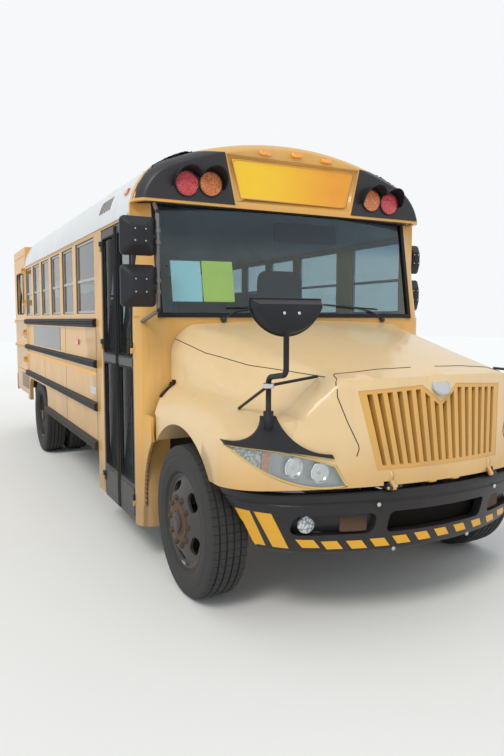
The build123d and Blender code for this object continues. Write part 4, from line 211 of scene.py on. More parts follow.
def carried(path: Array, section: Array, up: Point = (0, 0, 1), scale: Array | float = 1.0,
            closed: bool = False) -> Form:
    """A section carried along a path.

    Each ring is the path's point plus the section's two numbers times the path's side and its upper
    normal; the side is the cross product of the path's direction and up.

    Args:
        path: (n, 3) places.
        section: (k, 2) outline, around the path.
        up: a direction that the path never follows.
        scale: factor on the section, one for all or one for each place.
        closed: joins the path's end to its start.

    Returns:
        The carried form, its ends closed.
    """
    path = np.asarray(path, float)
    ahead = np.roll(path, -1, 0) - np.roll(path, 1, 0) if closed else np.gradient(path, axis=0)
    ahead /= np.linalg.norm(ahead, axis=1, keepdims=True)
    side = np.cross(ahead, np.array(up, float))
    side /= np.linalg.norm(side, axis=1, keepdims=True)
    upper = np.cross(side, ahead)
    width = np.broadcast_to(scale, len(path))[:, None, None] * np.asarray(section)[None]
    points = path[:, None] + width[..., :1] * side[:, None] + width[..., 1:] * upper[:, None]
    return woven(points, round_rows=closed, round_columns=True, capped=not closed)


def sheet(face: Array, behind: Array) -> Form:
    """A closed sheet: a (rows, columns, 3) grid, the same grid moved by behind, and the rim between them.

    Args:
        face: the grid.
        behind: the move to its back.

    Returns:
        The closed sheet.
    """
    edge = np.concatenate([face[0], face[1:, -1], face[-1, -2::-1], face[-2:0:-1, 0]])
    rim = woven(np.stack([edge, edge + behind]), round_columns=True)
    return joined(woven(face), woven((face + behind)[::-1]), rim)


def circle(radius: float, sides: int) -> Array:
    """Outline of a circle: cosine and sine of equal steps times the radius."""
    angle = np.arange(sides) / sides * 2 * np.pi
    return np.stack([np.cos(angle), np.sin(angle)], 1) * radius


def tube(path: Array, radius: float, sides: int = 10, up: Point = (0, 0, 1), closed: bool = False) -> Form:
    """Round bar along a path."""
    return carried(path, circle(radius, sides), up, closed=closed)


def beading(outline: Array, middle: Point, facing: Facing, radius: float) -> Form:
    """A closed tube along a flat outline.

    Each place is the middle plus the outline's two numbers along the face's own axes.

    Args:
        outline: (n, 2) corners, round once.
        middle: the outline's origin.
        facing: the way the outline looks.
        radius: the tube's radius.

    Returns:
        The tube.
    """
    across, upward, normal = facing.axes
    path = np.array(middle) + outline[:, :1] * across + outline[:, 1:] * upward
    return tube(path, radius, 8, tuple(np.abs(normal)), closed=True)


def spun(profile: Array, centre: Point, axis: Facing, sides: int = 32) -> Form:
    """A profile turned about an axis: radius times cosine and sine across it, the reach along it.

    Args:
        profile: (n, 2) reach along the axis and radius; an end of radius 0 closes there.
        centre: the point where the reach is 0.
        axis: the side that the form faces.
        sides: steps round the axis.

    Returns:
        The turned form, closed at both ends.
    """
    across, upward, normal = axis.axes
    ring = circle(1.0, sides)
    reach, radius = np.asarray(profile, float).T
    points = (np.array(centre) + reach[:, None, None] * normal
              + radius[:, None, None] * (ring[None, :, :1] * across + ring[None, :, 1:] * upward))
    return woven(points, round_columns=True, capped=True)


def ribbed(centre: Point, facing: Facing, foot: list[tuple[float, float]], radius: float,
           reach: tuple[float, float], rib: float, steps: int, tip: float, sides: int) -> Form:
    """A domed lens: the reach rises as one less the squared radius share, and falls back at every second ring.

    Args:
        centre: the lens's middle on its seat.
        facing: the way it looks.
        foot: reach and radius of the rings before the dome.
        radius: the dome's radius.
        reach: the dome's reach at its edge, and how much it rises.
        rib: how far every second ring falls back.
        steps: number of rings.
        tip: reach of the middle.
        sides: steps round the axis.

    Returns:
        The lens.
    """
    share = np.linspace(1.0, 0.06, steps)
    rise = reach[0] + reach[1] * (1 - share ** 2) - rib * (np.arange(steps) % 2)
    return spun([*foot, *zip(rise, share * radius), (tip, 0.0)], centre, facing, sides)


def slab(outline: Array, depth: float, centre: Point, facing: Facing, crown: float = 0.0) -> Form:
    """A flat outline given a depth behind its face.

    Args:
        outline: (n, 2) corners on the face's two axes, round once.
        depth: how far it reaches behind its face.
        centre: the outline's origin, on the face.
        facing: the way the face looks.
        crown: the rim's step back from the face, for a softened edge.

    Returns:
        The slab, with a face at each side.
    """
    across, upward, normal = facing.axes
    outline = np.asarray(outline, float)
    middle = outline.mean(0)
    inner = middle + (outline - middle) * (1 - crown / np.abs(outline - middle).max()) if crown else outline
    rings = [(inner, 0.0), (outline, -crown), (outline, -depth)] if crown else [(outline, 0.0), (outline, -depth)]
    points = np.stack([np.array(centre) + ring[:, :1] * across + ring[:, 1:] * upward + reach * normal
                       for ring, reach in rings])
    return woven(points, round_columns=True, capped=True)


def rounded(width: float, height: float, radius: float, steps: int = 5) -> Array:
    """Outline of a rectangle with round corners: four quarter circles.

    Args:
        width: its whole width.
        height: its whole height.
        radius: the corners' radius.
        steps: points on each corner.

    Returns:
        (4 * steps, 2) corners about the middle.
    """
    turn = np.linspace(0, np.pi / 2, steps)
    corners = [(1, 1, 0.0), (-1, 1, 0.5), (-1, -1, 1.0), (1, -1, 1.5)]
    return np.concatenate([np.stack([x * (width / 2 - radius) + radius * np.cos(turn + quarter * np.pi),
                                     z * (height / 2 - radius) + radius * np.sin(turn + quarter * np.pi)], 1)
                           for x, z, quarter in corners])


def rounded_box(low: Point, high: Point) -> Form:
    """Block between two corners.

    Args:
        low: its lowest corner.
        high: its highest corner.

    Returns:
        The block.
    """
    low, high = np.array(low, float), np.array(high, float)
    middle, size = (low + high) / 2, np.abs(high - low)
    outline = np.array([(-1, -1), (1, -1), (1, 1), (-1, 1)]) * size[:2] / 2
    return slab(outline, size[2], (middle[0], middle[1], max(low[2], high[2])), Facing.UP)


def rivets(places: Array, facing: Facing, radius: float = 0.0055) -> Form:
    """Low domed heads at each of (n, 3) places."""
    profile = [(0.0, radius), (radius * 0.35, radius * 0.8), (radius * 0.5, radius * 0.3)]
    return spun(profile, (0, 0, 0), facing, 6).repeated(places)


def bolts(places: Array, facing: Facing, radius: float, reach: float) -> Form:
    """Six-sided heads with a bevelled face at each of (n, 3) places."""
    profile = [(0.0, radius), (reach * 0.75, radius), (reach, radius * 0.82)]
    return spun(profile, (0, 0, 0), facing, 6).repeated(places)


def runs(corners: list[Point], bend: float, steps: int = 5) -> Array:
    """Path along straight runs whose corners are rounded by parabolas that start bend away.

    Args:
        corners: the runs' ends.
        bend: how far from a corner its rounding starts.
        steps: points on each bend.

    Returns:
        (n, 3) places.
    """
    corners = [np.array(corner, float) for corner in corners]
    path = [corners[0]]
    t = np.linspace(0, 1, steps)[:, None]
    for before, corner, after in zip(corners, corners[1:], corners[2:]):
        enter = corner + (before - corner) / np.linalg.norm(before - corner) * bend
        leave = corner + (after - corner) / np.linalg.norm(after - corner) * bend
        path.extend(enter * (1 - t) ** 2 + 2 * corner * t * (1 - t) + leave * t ** 2)
    path.append(corners[-1])
    return np.array(path)


class Skin:
    """The surface of some CAD nodes, for laying thin pieces on it."""

    def __init__(self, *nodes: str) -> None:
        """Reads the nodes' triangles."""
        self.triangles = np.concatenate([self.read(frame["nodes"][node].data) for node in nodes])

    @staticmethod
    def read(mesh: bpy.types.Mesh) -> Array:
        """A mesh's triangles as (n, 3, 3) corners.

        Args:
            mesh: the mesh.

        Returns:
            The corners.
        """
        mesh.calc_loop_triangles()
        places = np.zeros(len(mesh.vertices) * 3)
        mesh.vertices.foreach_get("co", places)
        corners = np.zeros(len(mesh.loop_triangles) * 3, int)
        mesh.loop_triangles.foreach_get("vertices", corners)
        return places.reshape(-1, 3)[corners].reshape(-1, 3, 3)

    @classmethod
    def of_mesh(cls, mesh: bpy.types.Mesh) -> "Skin":
        """The surface of a mesh made here.

        Args:
            mesh: the mesh.

        Returns:
            Its surface.
        """
        made = cls.__new__(cls)
        made.triangles = cls.read(mesh)
        return made

    def laid(self, points: Array, facing: Facing, lift: float = 0.0) -> Array:
        """Points moved along a direction onto the outermost surface that faces it.

        A point lies over a triangle where its three area shares are all positive; the shares then
        weigh the corners' heights, and the highest of all triangles counts.

        Args:
            points: (n, 3) places.
            facing: the side to lay them on.
            lift: height over the surface.

        Returns:
            (n, 3) places on the surface; one that misses it takes its nearest neighbour's height.
        """
        across, upward, normal = facing.axes
        flat = points @ np.stack([across, upward], 1)
        corners = self.triangles @ np.stack([across, upward], 1)
        heights = self.triangles @ normal
        a, b, c = corners[:, 0], corners[:, 1], corners[:, 2]
        area = (b[:, 0] - a[:, 0]) * (c[:, 1] - a[:, 1]) - (c[:, 0] - a[:, 0]) * (b[:, 1] - a[:, 1])
        wide = np.abs(area) > 1e-12
        a, b, c, area, heights = a[wide], b[wide], c[wide], area[wide], heights[wide]
        best = np.full(len(points), -np.inf)
        for start in range(0, len(points), 256):
            p = flat[start:start + 256, None]
            share_b = ((p[..., 0] - a[:, 0]) * (c[:, 1] - a[:, 1]) - (c[:, 0] - a[:, 0]) * (p[..., 1] - a[:, 1])) / area
            share_c = ((b[:, 0] - a[:, 0]) * (p[..., 1] - a[:, 1]) - (p[..., 0] - a[:, 0]) * (b[:, 1] - a[:, 1])) / area
            share_a = 1 - share_b - share_c
            inside = (share_a >= -1e-6) & (share_b >= -1e-6) & (share_c >= -1e-6)
            height = share_a * heights[:, 0] + share_b * heights[:, 1] + share_c * heights[:, 2]
            best[start:start + 256] = np.where(inside, height, -np.inf).max(1)
        missed = np.isinf(best)
        if missed.all():
            raise ValueError("no point lies over the surface")
        if missed.any():
            gaps = np.linalg.norm(flat[missed][:, None] - flat[~missed][None], axis=2)
            best[missed] = best[~missed][gaps.argmin(1)]
        return points + ((best + lift) - points @ normal)[:, None] * normal

    def decal(self, outline: Array, facing: Facing, lift: float = 0.0015, thick: float = 0.001) -> Form:
        """A thin sheet laid on the surface.

        Args:
            outline: (rows, columns, 3) grid of places over the surface.
            facing: the side to lay it on.
            lift: height of its face over the surface.
            thick: its thickness.

        Returns:
            The closed sheet.
        """
        face = self.laid(outline.reshape(-1, 3), facing, lift).reshape(outline.shape)
        return sheet(face, -facing.axes[2] * thick)

    def strip(self, path: Array, facing: Facing, width: float, lift: float = 0.0008, thick: float = 0.0015) -> Form:
        """A narrow band on the surface.

        Each place of the path gets a point half the width to each side, across the path's direction.

        Args:
            path: (n, 3) places over the surface.
            facing: the side to lay it on.
            width: the band's width.
            lift: height of its face over the surface.
            thick: its thickness.

        Returns:
            The closed band.
        """
        across, upward, _ = facing.axes
        flat = path @ np.stack([across, upward], 1)
        ahead = np.gradient(flat, axis=0)
        ahead /= np.linalg.norm(ahead, axis=1, keepdims=True)
        aside = np.stack([-ahead[:, 1], ahead[:, 0]], 1) * width / 2
        grid = np.stack([flat - aside, flat + aside])
        return self.decal(grid[..., :1] * across + grid[..., 1:] * upward, facing, lift, thick)


def grid_between(low: tuple[float, float], high: tuple[float, float], facing: Facing, rows: int, columns: int,
                 lean: float = 0.0) -> Array:
    """Grid of places on a face's own two axes, its upper edge moved across by lean.

    Args:
        low: the lower corner on the two axes.
        high: the upper corner.
        facing: the face whose axes count.
        rows: steps upwards.
        columns: steps across.
        lean: the upper edge's move across.

    Returns:
        (rows, columns, 3) places.
    """
    across, upward, _ = facing.axes
    u, v = np.meshgrid(np.linspace(low[0], high[0], columns), np.linspace(low[1], high[1], rows))
    u = u + lean * (v - low[1]) / (high[1] - low[1])
    return u[..., None] * across + v[..., None] * upward


class Graph:
    """Short calls that make and join the nodes of a material or a group."""

    def __init__(self, tree: bpy.types.NodeTree) -> None:
        """Keeps the tree that the nodes go into."""
        self.tree = tree

    def node(self, kind: str, inputs: dict[str | int, object] | None = None, **settings: object) -> bpy.types.Node:
        """Makes a node, its settings set and its inputs linked or filled.

        Args:
            kind: the node's type.
            inputs: sockets to link or values to fill in, by name or number.
            settings: the node's own settings.

        Returns:
            The node.
        """
        made = self.tree.nodes.new(kind)
        for name, value in settings.items():
            setattr(made, name, value)
        for name, value in (inputs or {}).items():
            if isinstance(value, bpy.types.NodeSocket):
                self.tree.links.new(value, made.inputs[name])
            else:
                made.inputs[name].default_value = value
        return made

    def math(self, operation: str, a: Socket | float, b: Socket | float = 0.0) -> Socket:
        """One sum, product or the like of two numbers."""
        return self.node("ShaderNodeMath", {0: a, 1: b}, operation=operation).outputs[0]

    def rise(self, value: Socket | float, low: Socket | float, high: Socket | float) -> Socket:
        """A smooth step from 0 at low to 1 at high."""
        return self.node("ShaderNodeMapRange", {0: value, 1: low, 2: high}, interpolation_type="SMOOTHSTEP").outputs[0]

    def mix(self, factor: Socket | float, a: Socket | tuple, b: Socket | tuple) -> Socket:
        """A colour between two.

        Args:
            factor: the share of b.
            a: a colour.
            b: another.

        Returns:
            The mixed colour.
        """
        a = a if isinstance(a, bpy.types.NodeSocket) else (*a, 1.0)
        b = b if isinstance(b, bpy.types.NodeSocket) else (*b, 1.0)
        return self.node("ShaderNodeMix", {0: factor, 6: a, 7: b}, data_type="RGBA").outputs[2]

    def noise(self, vector: Socket, scale: Socket | float, detail: float = 3.0, stretch: Point = (1, 1, 1)) -> Socket:
        """Noise on coordinates stretched by three factors."""
        moved = self.node("ShaderNodeMapping", {"Vector": vector, "Scale": stretch}).outputs[0]
        return self.node("ShaderNodeTexNoise", {"Vector": moved, "Scale": scale, "Detail": detail}).outputs[0]

    def place(self) -> Socket:
        """Object coordinates."""
        return self.node("ShaderNodeTexCoord").outputs["Object"]

    def split(self, vector: Socket) -> list[Socket]:
        """The three numbers of a vector."""
        return list(self.node("ShaderNodeSeparateXYZ", {0: vector}).outputs)


def fresh_material(name: str) -> tuple[bpy.types.Material, Graph, bpy.types.Node]:
    """A new material with its graph and its shader.

    Args:
        name: the material's name.

    Returns:
        The material, its graph and its shader.
    """
    made = bpy.data.materials.new(name)
    made.use_nodes = True
    return made, Graph(made.node_tree), made.node_tree.nodes["Principled BSDF"]


class Effect(Enum):
    """The shader effects that several finishes share, each a node group."""

    GRIME = "grime"
    FADE = "sun_fade"
    STREAKS = "rain_streaks"
    CHIPS = "chips"
    GRAIN = "grain"

    def tree(self) -> bpy.types.NodeTree:
        """The effect's node group, made at its first use."""
        return bpy.data.node_groups.get(self.value) or EffectMaker(self).tree


class EffectMaker:
    """Builds the node group of one effect."""

    SOCKETS = {
        Effect.GRIME: ("Mask", {"Low": 0.3, "High": 1.2, "Amount": 0.5}),
        Effect.FADE: ("Mask", {"Amount": 0.5, "Scale": 1.5}),
        Effect.STREAKS: ("Mask", {"Amount": 0.5, "Scale": 1.0}),
        Effect.CHIPS: ("Mask", {"Amount": 0.1, "Scale": 60.0}),
        Effect.GRAIN: ("Height", {"Scale": 300.0, "Coarse": 0.2}),
    }

    def __init__(self, effect: Effect) -> None:
        """Makes the group with its sockets and joins its nodes.

        Args:
            effect: the effect to build.
        """
        self.tree = bpy.data.node_groups.new(effect.value, "ShaderNodeTree")
        output, inputs = self.SOCKETS[effect]
        face = self.tree.interface
        face.new_socket("Vector", in_out="INPUT", socket_type="NodeSocketVector")
        for name, value in inputs.items():
            face.new_socket(name, in_out="INPUT", socket_type="NodeSocketFloat").default_value = value
        face.new_socket(output, in_out="OUTPUT", socket_type="NodeSocketFloat")
        self.graph = Graph(self.tree)
        source = self.graph.node("NodeGroupInput").outputs
        made = getattr(self, effect.name.lower())(*[source[name] for name in ("Vector", *inputs)])
        self.graph.node("NodeGroupOutput", {0: made})

    def grime(self, vector: Socket, low: Socket, high: Socket, amount: Socket) -> Socket:
        """Road dirt: full at the low height, gone at the high one, broken up by two noises.

        Args:
            vector: the coordinates.
            low: height where it is full.
            high: height where it is gone.
            amount: how strong it is.

        Returns:
            The mask, from 0 to about 1.
        """
        g = self.graph
        height = g.split(vector)[2]
        patchy = g.math("MULTIPLY_ADD", g.noise(vector, 5.0, 6.0), 0.6)
        broken = g.math("ADD", height, g.math("MULTIPLY", g.math("SUBTRACT", g.noise(vector, 2.3, 5.0), 0.5), 0.7))
        near = g.rise(broken, high, low)
        return g.math("MULTIPLY", g.math("MULTIPLY", near, amount), g.math("ADD", patchy, 0.45))

    def fade(self, vector: Socket, amount: Socket, scale: Socket) -> Socket:
        """Sun fading: wide soft patches with a finer mottle.

        Args:
            vector: the coordinates.
            amount: how strong it is.
            scale: scale of its noise.

        Returns:
            The mask, from 0 to about 1.
        """
        g = self.graph
        wide = g.rise(g.noise(vector, scale, 2.0), 0.3, 0.75)
        fine = g.math("MULTIPLY", g.noise(vector, 38.0, 4.0), 0.3)
        return g.math("MULTIPLY", g.math("ADD", wide, fine), amount)

    def streaks(self, vector: Socket, amount: Socket, scale: Socket) -> Socket:
        """Rain marks: noise drawn out downwards.

        Args:
            vector: the coordinates.
            amount: how strong it is.
            scale: scale of its noise.

        Returns:
            The mask, from 0 to about 1.
        """
        g = self.graph
        drawn = g.node("ShaderNodeMapping", {"Vector": vector, "Scale": (16.0, 16.0, 0.9)}).outputs[0]
        lines = g.node("ShaderNodeTexNoise", {"Vector": drawn, "Scale": scale, "Detail": 4.0}).outputs[0]
        return g.math("MULTIPLY", g.rise(lines, 0.5, 0.78), amount)

    def chips(self, vector: Socket, amount: Socket, scale: Socket) -> Socket:
        """Small spots where the coat is gone, gathered in patches.

        Args:
            vector: the coordinates.
            amount: how strong it is.
            scale: scale of its noise.

        Returns:
            The mask, from 0 to about 1.
        """
        g = self.graph
        spots = g.node("ShaderNodeTexNoise", {"Vector": vector, "Scale": scale, "Detail": 5.0}).outputs[0]
        patches = g.math("MULTIPLY", g.math("SUBTRACT", g.noise(vector, 3.1, 2.0), 0.5), 0.22)
        level = g.math("SUBTRACT", 0.78, g.math("MULTIPLY", amount, 0.3))
        return g.rise(g.math("ADD", spots, patches), level, g.math("ADD", level, 0.03))

    def grain(self, vector: Socket, scale: Socket, coarse: Socket) -> Socket:
        """Surface grain: fine noise with a share of coarser noise.

        Args:
            vector: the coordinates.
            scale: scale of its noise.
            coarse: share of the coarser noise.

        Returns:
            The height.
        """
        g = self.graph
        fine = g.node("ShaderNodeTexNoise", {"Vector": vector, "Scale": scale, "Detail": 2.0}).outputs[0]
        return g.math("ADD", fine, g.math("MULTIPLY", g.noise(vector, 14.0, 2.0), coarse))


@dataclass(frozen=True)
class Finish:
    """A coat or raw surface with the dirt and wear that it carries."""

    name: str
    colour: Colour
    roughness: float = 0.5
    metallic: float = 0.0
    coat: float = 0.0
    specular: float = 0.5
    fade: float = 0.15
    faded: Colour | None = None
    grime: float = 0.3
    grime_colour: Colour = (0.16, 0.125, 0.09)
    grime_heights: Flat = (0.3, 1.3)
    streaks: float = 0.0
    streak_colour: Colour = (0.10, 0.08, 0.06)
    chips: float = 0.0
    chip_colour: Colour = (0.12, 0.06, 0.035)
    chip_scale: float = 60.0
    grain: float = 0.05
    grain_scale: float = 350.0
    slot: str | None = None

    def effect(self, graph: Graph, effect: Effect, vector: Socket, **values: float) -> Socket:
        """Places a shared effect with this finish's values.

        Args:
            graph: the material's graph.
            effect: the effect.
            vector: the coordinates.
            values: the group's inputs.

        Returns:
            The group's output.
        """
        made = graph.node("ShaderNodeGroup", node_tree=effect.tree())
        graph.tree.links.new(vector, made.inputs["Vector"])
        for name, value in values.items():
            made.inputs[name].default_value = value
        return made.outputs[0]

    def coloured(self, graph: Graph, vector: Socket) -> Socket:
        """The clean colour over the surface, before dirt."""
        faded = self.faded or tuple(0.5 * part + 0.5 * sum(self.colour) / 3 + 0.03 for part in self.colour)
        return graph.mix(self.effect(graph, Effect.FADE, vector, Amount=self.fade), self.colour, faded)

    def height(self, graph: Graph, vector: Socket) -> Socket:
        """The height of the surface's fine relief."""
        return self.effect(graph, Effect.GRAIN, vector, Scale=self.grain_scale)

    def material(self) -> bpy.types.Material:
        """The finish's material, made at its first use.

        Returns:
            The material.
        """
        known = bpy.data.materials.get(self.name)
        if known:
            return known
        made, graph, shader = fresh_material(self.name)
        made.diffuse_color = (*self.colour, 1.0)
        vector = graph.place()
        colour = self.coloured(graph, vector)
        rough = self.roughness
        if self.streaks:
            colour = graph.mix(self.effect(graph, Effect.STREAKS, vector, Amount=self.streaks), colour,
                               self.streak_colour)
        if self.chips:
            colour = graph.mix(self.effect(graph, Effect.CHIPS, vector, Amount=self.chips, Scale=self.chip_scale),
                               colour, self.chip_colour)
        if self.grime:
            low, high = self.grime_heights
            dirt = self.effect(graph, Effect.GRIME, vector, Low=low, High=high, Amount=self.grime)
            colour = graph.mix(dirt, colour, self.grime_colour)
            rough = graph.math("MULTIPLY_ADD", dirt, 0.4)
            rough.node.inputs[2].default_value = self.roughness
        graph.tree.links.new(colour, shader.inputs["Base Color"])
        if isinstance(rough, float):
            shader.inputs["Roughness"].default_value = rough
        else:
            graph.tree.links.new(graph.math("MINIMUM", rough, 0.95), shader.inputs["Roughness"])
        shader.inputs["Metallic"].default_value = self.metallic
        shader.inputs["Coat Weight"].default_value = self.coat
        shader.inputs["Coat Roughness"].default_value = 0.12
        shader.inputs["Specular IOR Level"].default_value = self.specular
        if self.grain:
            bump = graph.node("ShaderNodeBump", {"Height": self.height(graph, vector), "Strength": self.grain,
                                                 "Distance": 0.004})
            graph.tree.links.new(bump.outputs[0], shader.inputs["Normal"])
        return made


@dataclass(frozen=True)
class TopLit(Finish):
    """Paint painted paler from one height up: painted light on a top that the sun lights."""

    pale: Colour = (0.78, 0.62, 0.38)
    pale_heights: Flat = (1.2, 1.6)
    pale_amount: float = 0.7

    def coloured(self, graph: Graph, vector: Socket) -> Socket:
        """The faded colour, mixed with the pale one by height and a soft noise; the pale share is painted light on the
        sunlit top.

        Args:
            graph: the material's graph.
            vector: the coordinates.

        Returns:
            The colour.
        """
        base = super().coloured(graph, vector)
        wavy = graph.math("MULTIPLY_ADD", graph.noise(vector, 2.0, 3.0), 0.3)
        height = graph.math("ADD", graph.split(vector)[2], graph.math("SUBTRACT", wavy, 0.15))
        share = graph.math("MULTIPLY", graph.rise(height, *self.pale_heights), self.pale_amount)
        return graph.mix(share, base, self.pale)


@dataclass(frozen=True)
class Glass:
    """A clear or tinted pane, whose tint may darken in a band at its top."""

    name: str
    tint: Colour = (0.9, 0.95, 0.95)
    roughness: float = 0.0
    band: Colour | None = None
    band_heights: Flat = (0.0, 1.0)
    dirt: float = 0.0
    clear: float = 1.0
    slot: str | None = None

    def material(self) -> bpy.types.Material:
        """The pane's material, made at its first use.

        Returns:
            The material.
        """
        known = bpy.data.materials.get(self.name)
        if known:
            return known
        made, graph, shader = fresh_material(self.name)
        made.diffuse_color = (*self.tint, 0.4)
        vector = graph.place()
        shader.inputs["Transmission Weight"].default_value = self.clear
        shader.inputs["IOR"].default_value = 1.45
        smear = graph.rise(graph.noise(vector, 6.0, 5.0), 0.4, 0.8)
        colour = graph.mix(graph.math("MULTIPLY", smear, 0.25), self.tint, tuple(0.75 * part for part in self.tint))
        if self.band:
            colour = graph.mix(graph.rise(graph.split(vector)[2], *self.band_heights), colour, self.band)
        graph.tree.links.new(colour, shader.inputs["Base Color"])
        rough = graph.math("MULTIPLY_ADD", smear, self.dirt)
        rough.node.inputs[2].default_value = self.roughness
        graph.tree.links.new(rough, shader.inputs["Roughness"])
        return made


Coat = Finish | Glass


def merge(mesh: bpy.types.Mesh, gap: float, outward: bool) -> None:
    """Merges the points of a mesh that lie within a gap, and where asked turns its faces outward.

    Args:
        mesh: the mesh.
        gap: the largest gap closed.
        outward: whether its faces are turned outward.
    """
    work = bmesh.new()
    work.from_mesh(mesh)
    bmesh.ops.remove_doubles(work, verts=work.verts, dist=gap)
    if outward:
        bmesh.ops.recalc_face_normals(work, faces=work.faces)
    work.to_mesh(mesh)
    work.free()


def cleaned(name: str, form: Form) -> bpy.types.Mesh:
    """A mesh of a form, its doubles merged and its faces turned outward.

    Args:
        name: the mesh's name.
        form: its points and faces.

    Returns:
        The mesh.
    """
    mesh = bpy.data.meshes.new(name)
    mesh.from_pydata(form.points.tolist(), [], form.quads.tolist() + form.others)
    merge(mesh, FORM_GAP, True)
    return mesh


def carved(name: str, form: Form, cutter: Form) -> bpy.types.Mesh:
    """A form less a cutter.

    Args:
        name: the mesh's name.
        form: the closed form to cut.
        cutter: the closed form taken out of it.

    Returns:
        The mesh that is left.
    """
    works = [bpy.data.objects.new(f"{name}_{k}", cleaned(f"{name}_{k}", part)) for k, part in enumerate((form, cutter))]
    for work in works:
        bpy.context.collection.objects.link(work)
    cut = works[0].modifiers.new("cut", "BOOLEAN")
    cut.operation, cut.solver, cut.object = "DIFFERENCE", "EXACT", works[1]
    mesh = bpy.data.meshes.new_from_object(works[0].evaluated_get(bpy.context.evaluated_depsgraph_get()))
    mesh.name = name
    for work in works:
        bpy.data.objects.remove(work)
    return mesh


def finished(name: str, form: Form, coat: Coat, body: str = "body", replaces: tuple[str, ...] = (),
             sharp: float = 35.0) -> bpy.types.Object:
    """Makes a piece of a form, dresses it and hangs it on its body.

    Args:
        name: the piece's name.
        form: its points and faces.
        coat: its finish.
        body: the body that it moves with.
        replaces: the CAD nodes that it stands for.
        sharp: the edge angle in degrees from which shading breaks.

    Returns:
        The piece.
    """
    return placed(name, cleaned(name, form), coat, body, replaces, sharp)


def placed(name: str, mesh: bpy.types.Mesh, coat: Coat, body: str, replaces: tuple[str, ...],
           sharp: float) -> bpy.types.Object:
    """Gives a mesh its shading, finish and body, and reports it.

    Args:
        name: the piece's name.
        mesh: its mesh.
        coat: its finish.
        body: the body that it moves with.
        replaces: the CAD nodes that it stands for.
        sharp: the edge angle in degrees from which shading breaks.

    Returns:
        The piece.
    """
    mesh.polygons.foreach_set("use_smooth", [True] * len(mesh.polygons))
    mesh.set_sharp_from_angle(angle=math.radians(sharp))
    mesh.materials.clear()
    mesh.materials.append(coat.material())
    piece = bpy.data.objects.new(name, mesh)
    bpy.context.collection.objects.link(piece)
    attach(piece, body)
    if replaces:
        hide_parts(*replaces)
    log.info("%s on %s: %d faces", name, body, len(mesh.polygons))
    return piece


def dressed(node: str, coat: Coat) -> bpy.types.Object:
    """A merged copy of a CAD node with smooth shading, which stands for the node.

    Args:
        node: the CAD node.
        coat: its finish.

    Returns:
        The copy.
    """
    mesh = frame["nodes"][node].data.copy()
    mesh.name = f"{node}_dressed"
    merge(mesh, NODE_GAP, False)
    if mesh.has_custom_normals:
        mesh.normals_split_custom_set(np.zeros((len(mesh.loops), 3)).tolist())
    return placed(f"{node}_dressed", mesh, coat, body_of(frame["nodes"][node])[0], (node,), NODE_SHARP)


YELLOW = Finish("bus_yellow", (0.70, 0.37, 0.065), 0.42, coat=0.35, fade=0.35, faded=(0.68, 0.44, 0.20), grime=0.45,
                grime_colour=(0.25, 0.19, 0.13), streaks=0.10, chips=0.05, grain=0.04, slot="yellow_paint")
# The hood's top is painted paler from 1.2 m up: painted light where the sun falls on it.
HOOD_YELLOW = TopLit("hood_yellow", (0.70, 0.38, 0.08), 0.40, coat=0.4, fade=0.3, faded=(0.72, 0.45, 0.18),
                       grime=0.35, grime_colour=(0.28, 0.21, 0.14), streaks=0.05, chips=0.08, grain=0.04,
                       slot="yellow_paint")
ROOF_WHITE = Finish("roof_white", (0.70, 0.73, 0.76), 0.45, coat=0.2, fade=0.4, faded=(0.60, 0.62, 0.62), grime=0.0,
                    streaks=0.22, streak_colour=(0.36, 0.34, 0.30), grain=0.04, slot="white_paint")
BLACK_PAINT = Finish("black_paint", (0.008, 0.008, 0.010), 0.38, specular=0.28, coat=0.15, fade=0.4,
                     faded=(0.018, 0.018, 0.020), grime=0.15, streaks=0.10, streak_colour=(0.05, 0.047, 0.043),
                     grain=0.05, slot="black_paint")
RAIL_BLACK = Finish("rail_black", (0.009, 0.009, 0.010), 0.55, specular=0.28, fade=0.5,
                    faded=(0.024, 0.023, 0.022), grime=0.2, streaks=0.12, streak_colour=(0.06, 0.055, 0.05),
                    grain=0.08, slot="rubber_black")
FRAME_BLACK = Finish("frame_black", (0.018, 0.017, 0.016), 0.6, fade=0.5, faded=(0.06, 0.05, 0.042), grime=0.7,
                     grime_colour=(0.13, 0.095, 0.065), chips=0.3, grain=0.2, slot="frame_black")
ENGINE_GREY = Finish("engine_grey", (0.12, 0.12, 0.12), 0.55, metallic=0.4, grime=0.6, chips=0.25, grain=0.2,
                     slot="engine_grey")
TANK_STEEL = Finish("tank_steel", (0.05, 0.05, 0.052), 0.5, metallic=0.3, grime=0.6, chips=0.15, grain=0.1,
                    slot="tank_steel")
FLOOR_RUBBER = Finish("floor_rubber", (0.045, 0.045, 0.045), 0.8, grime=0.15, grime_heights=(0.9, 1.3), grain=0.3,
                      grain_scale=180.0, slot="floor_rubber")
RUBBER = Finish("trim_rubber", (0.007, 0.007, 0.008), 0.6, specular=0.28, fade=0.5, faded=(0.016, 0.016, 0.017),
                grime=0.1, grain=0.15, slot="rubber_black")
PLASTIC = Finish("moulded_plastic", (0.013, 0.014, 0.018), 0.45, specular=0.3, fade=0.4,
                 faded=(0.034, 0.036, 0.042), grime=0.15, grain=0.25, grain_scale=500.0, slot="plastic_black")
SASH = Finish("sash_metal", (0.45, 0.45, 0.44), 0.42, metallic=0.7, fade=0.4, grime=0.2, streaks=0.15, grain=0.08,
              slot="sash_dark")
DASH = Finish("dash_grey", (0.06, 0.062, 0.066), 0.6, grime=0.1, grain=0.25, slot="dash_grey")
SEAT_TEAL = Finish("seat_vinyl", (0.022, 0.06, 0.075), 0.5, fade=0.3, faded=(0.05, 0.10, 0.115), grime=0.0,
                   grain=0.35, grain_scale=420.0, slot="seat_vinyl")
SEAT_GREY = Finish("seat_cloth", (0.09, 0.092, 0.098), 0.85, grime=0.0, grain=0.5, grain_scale=700.0,
                   slot="seat_grey")
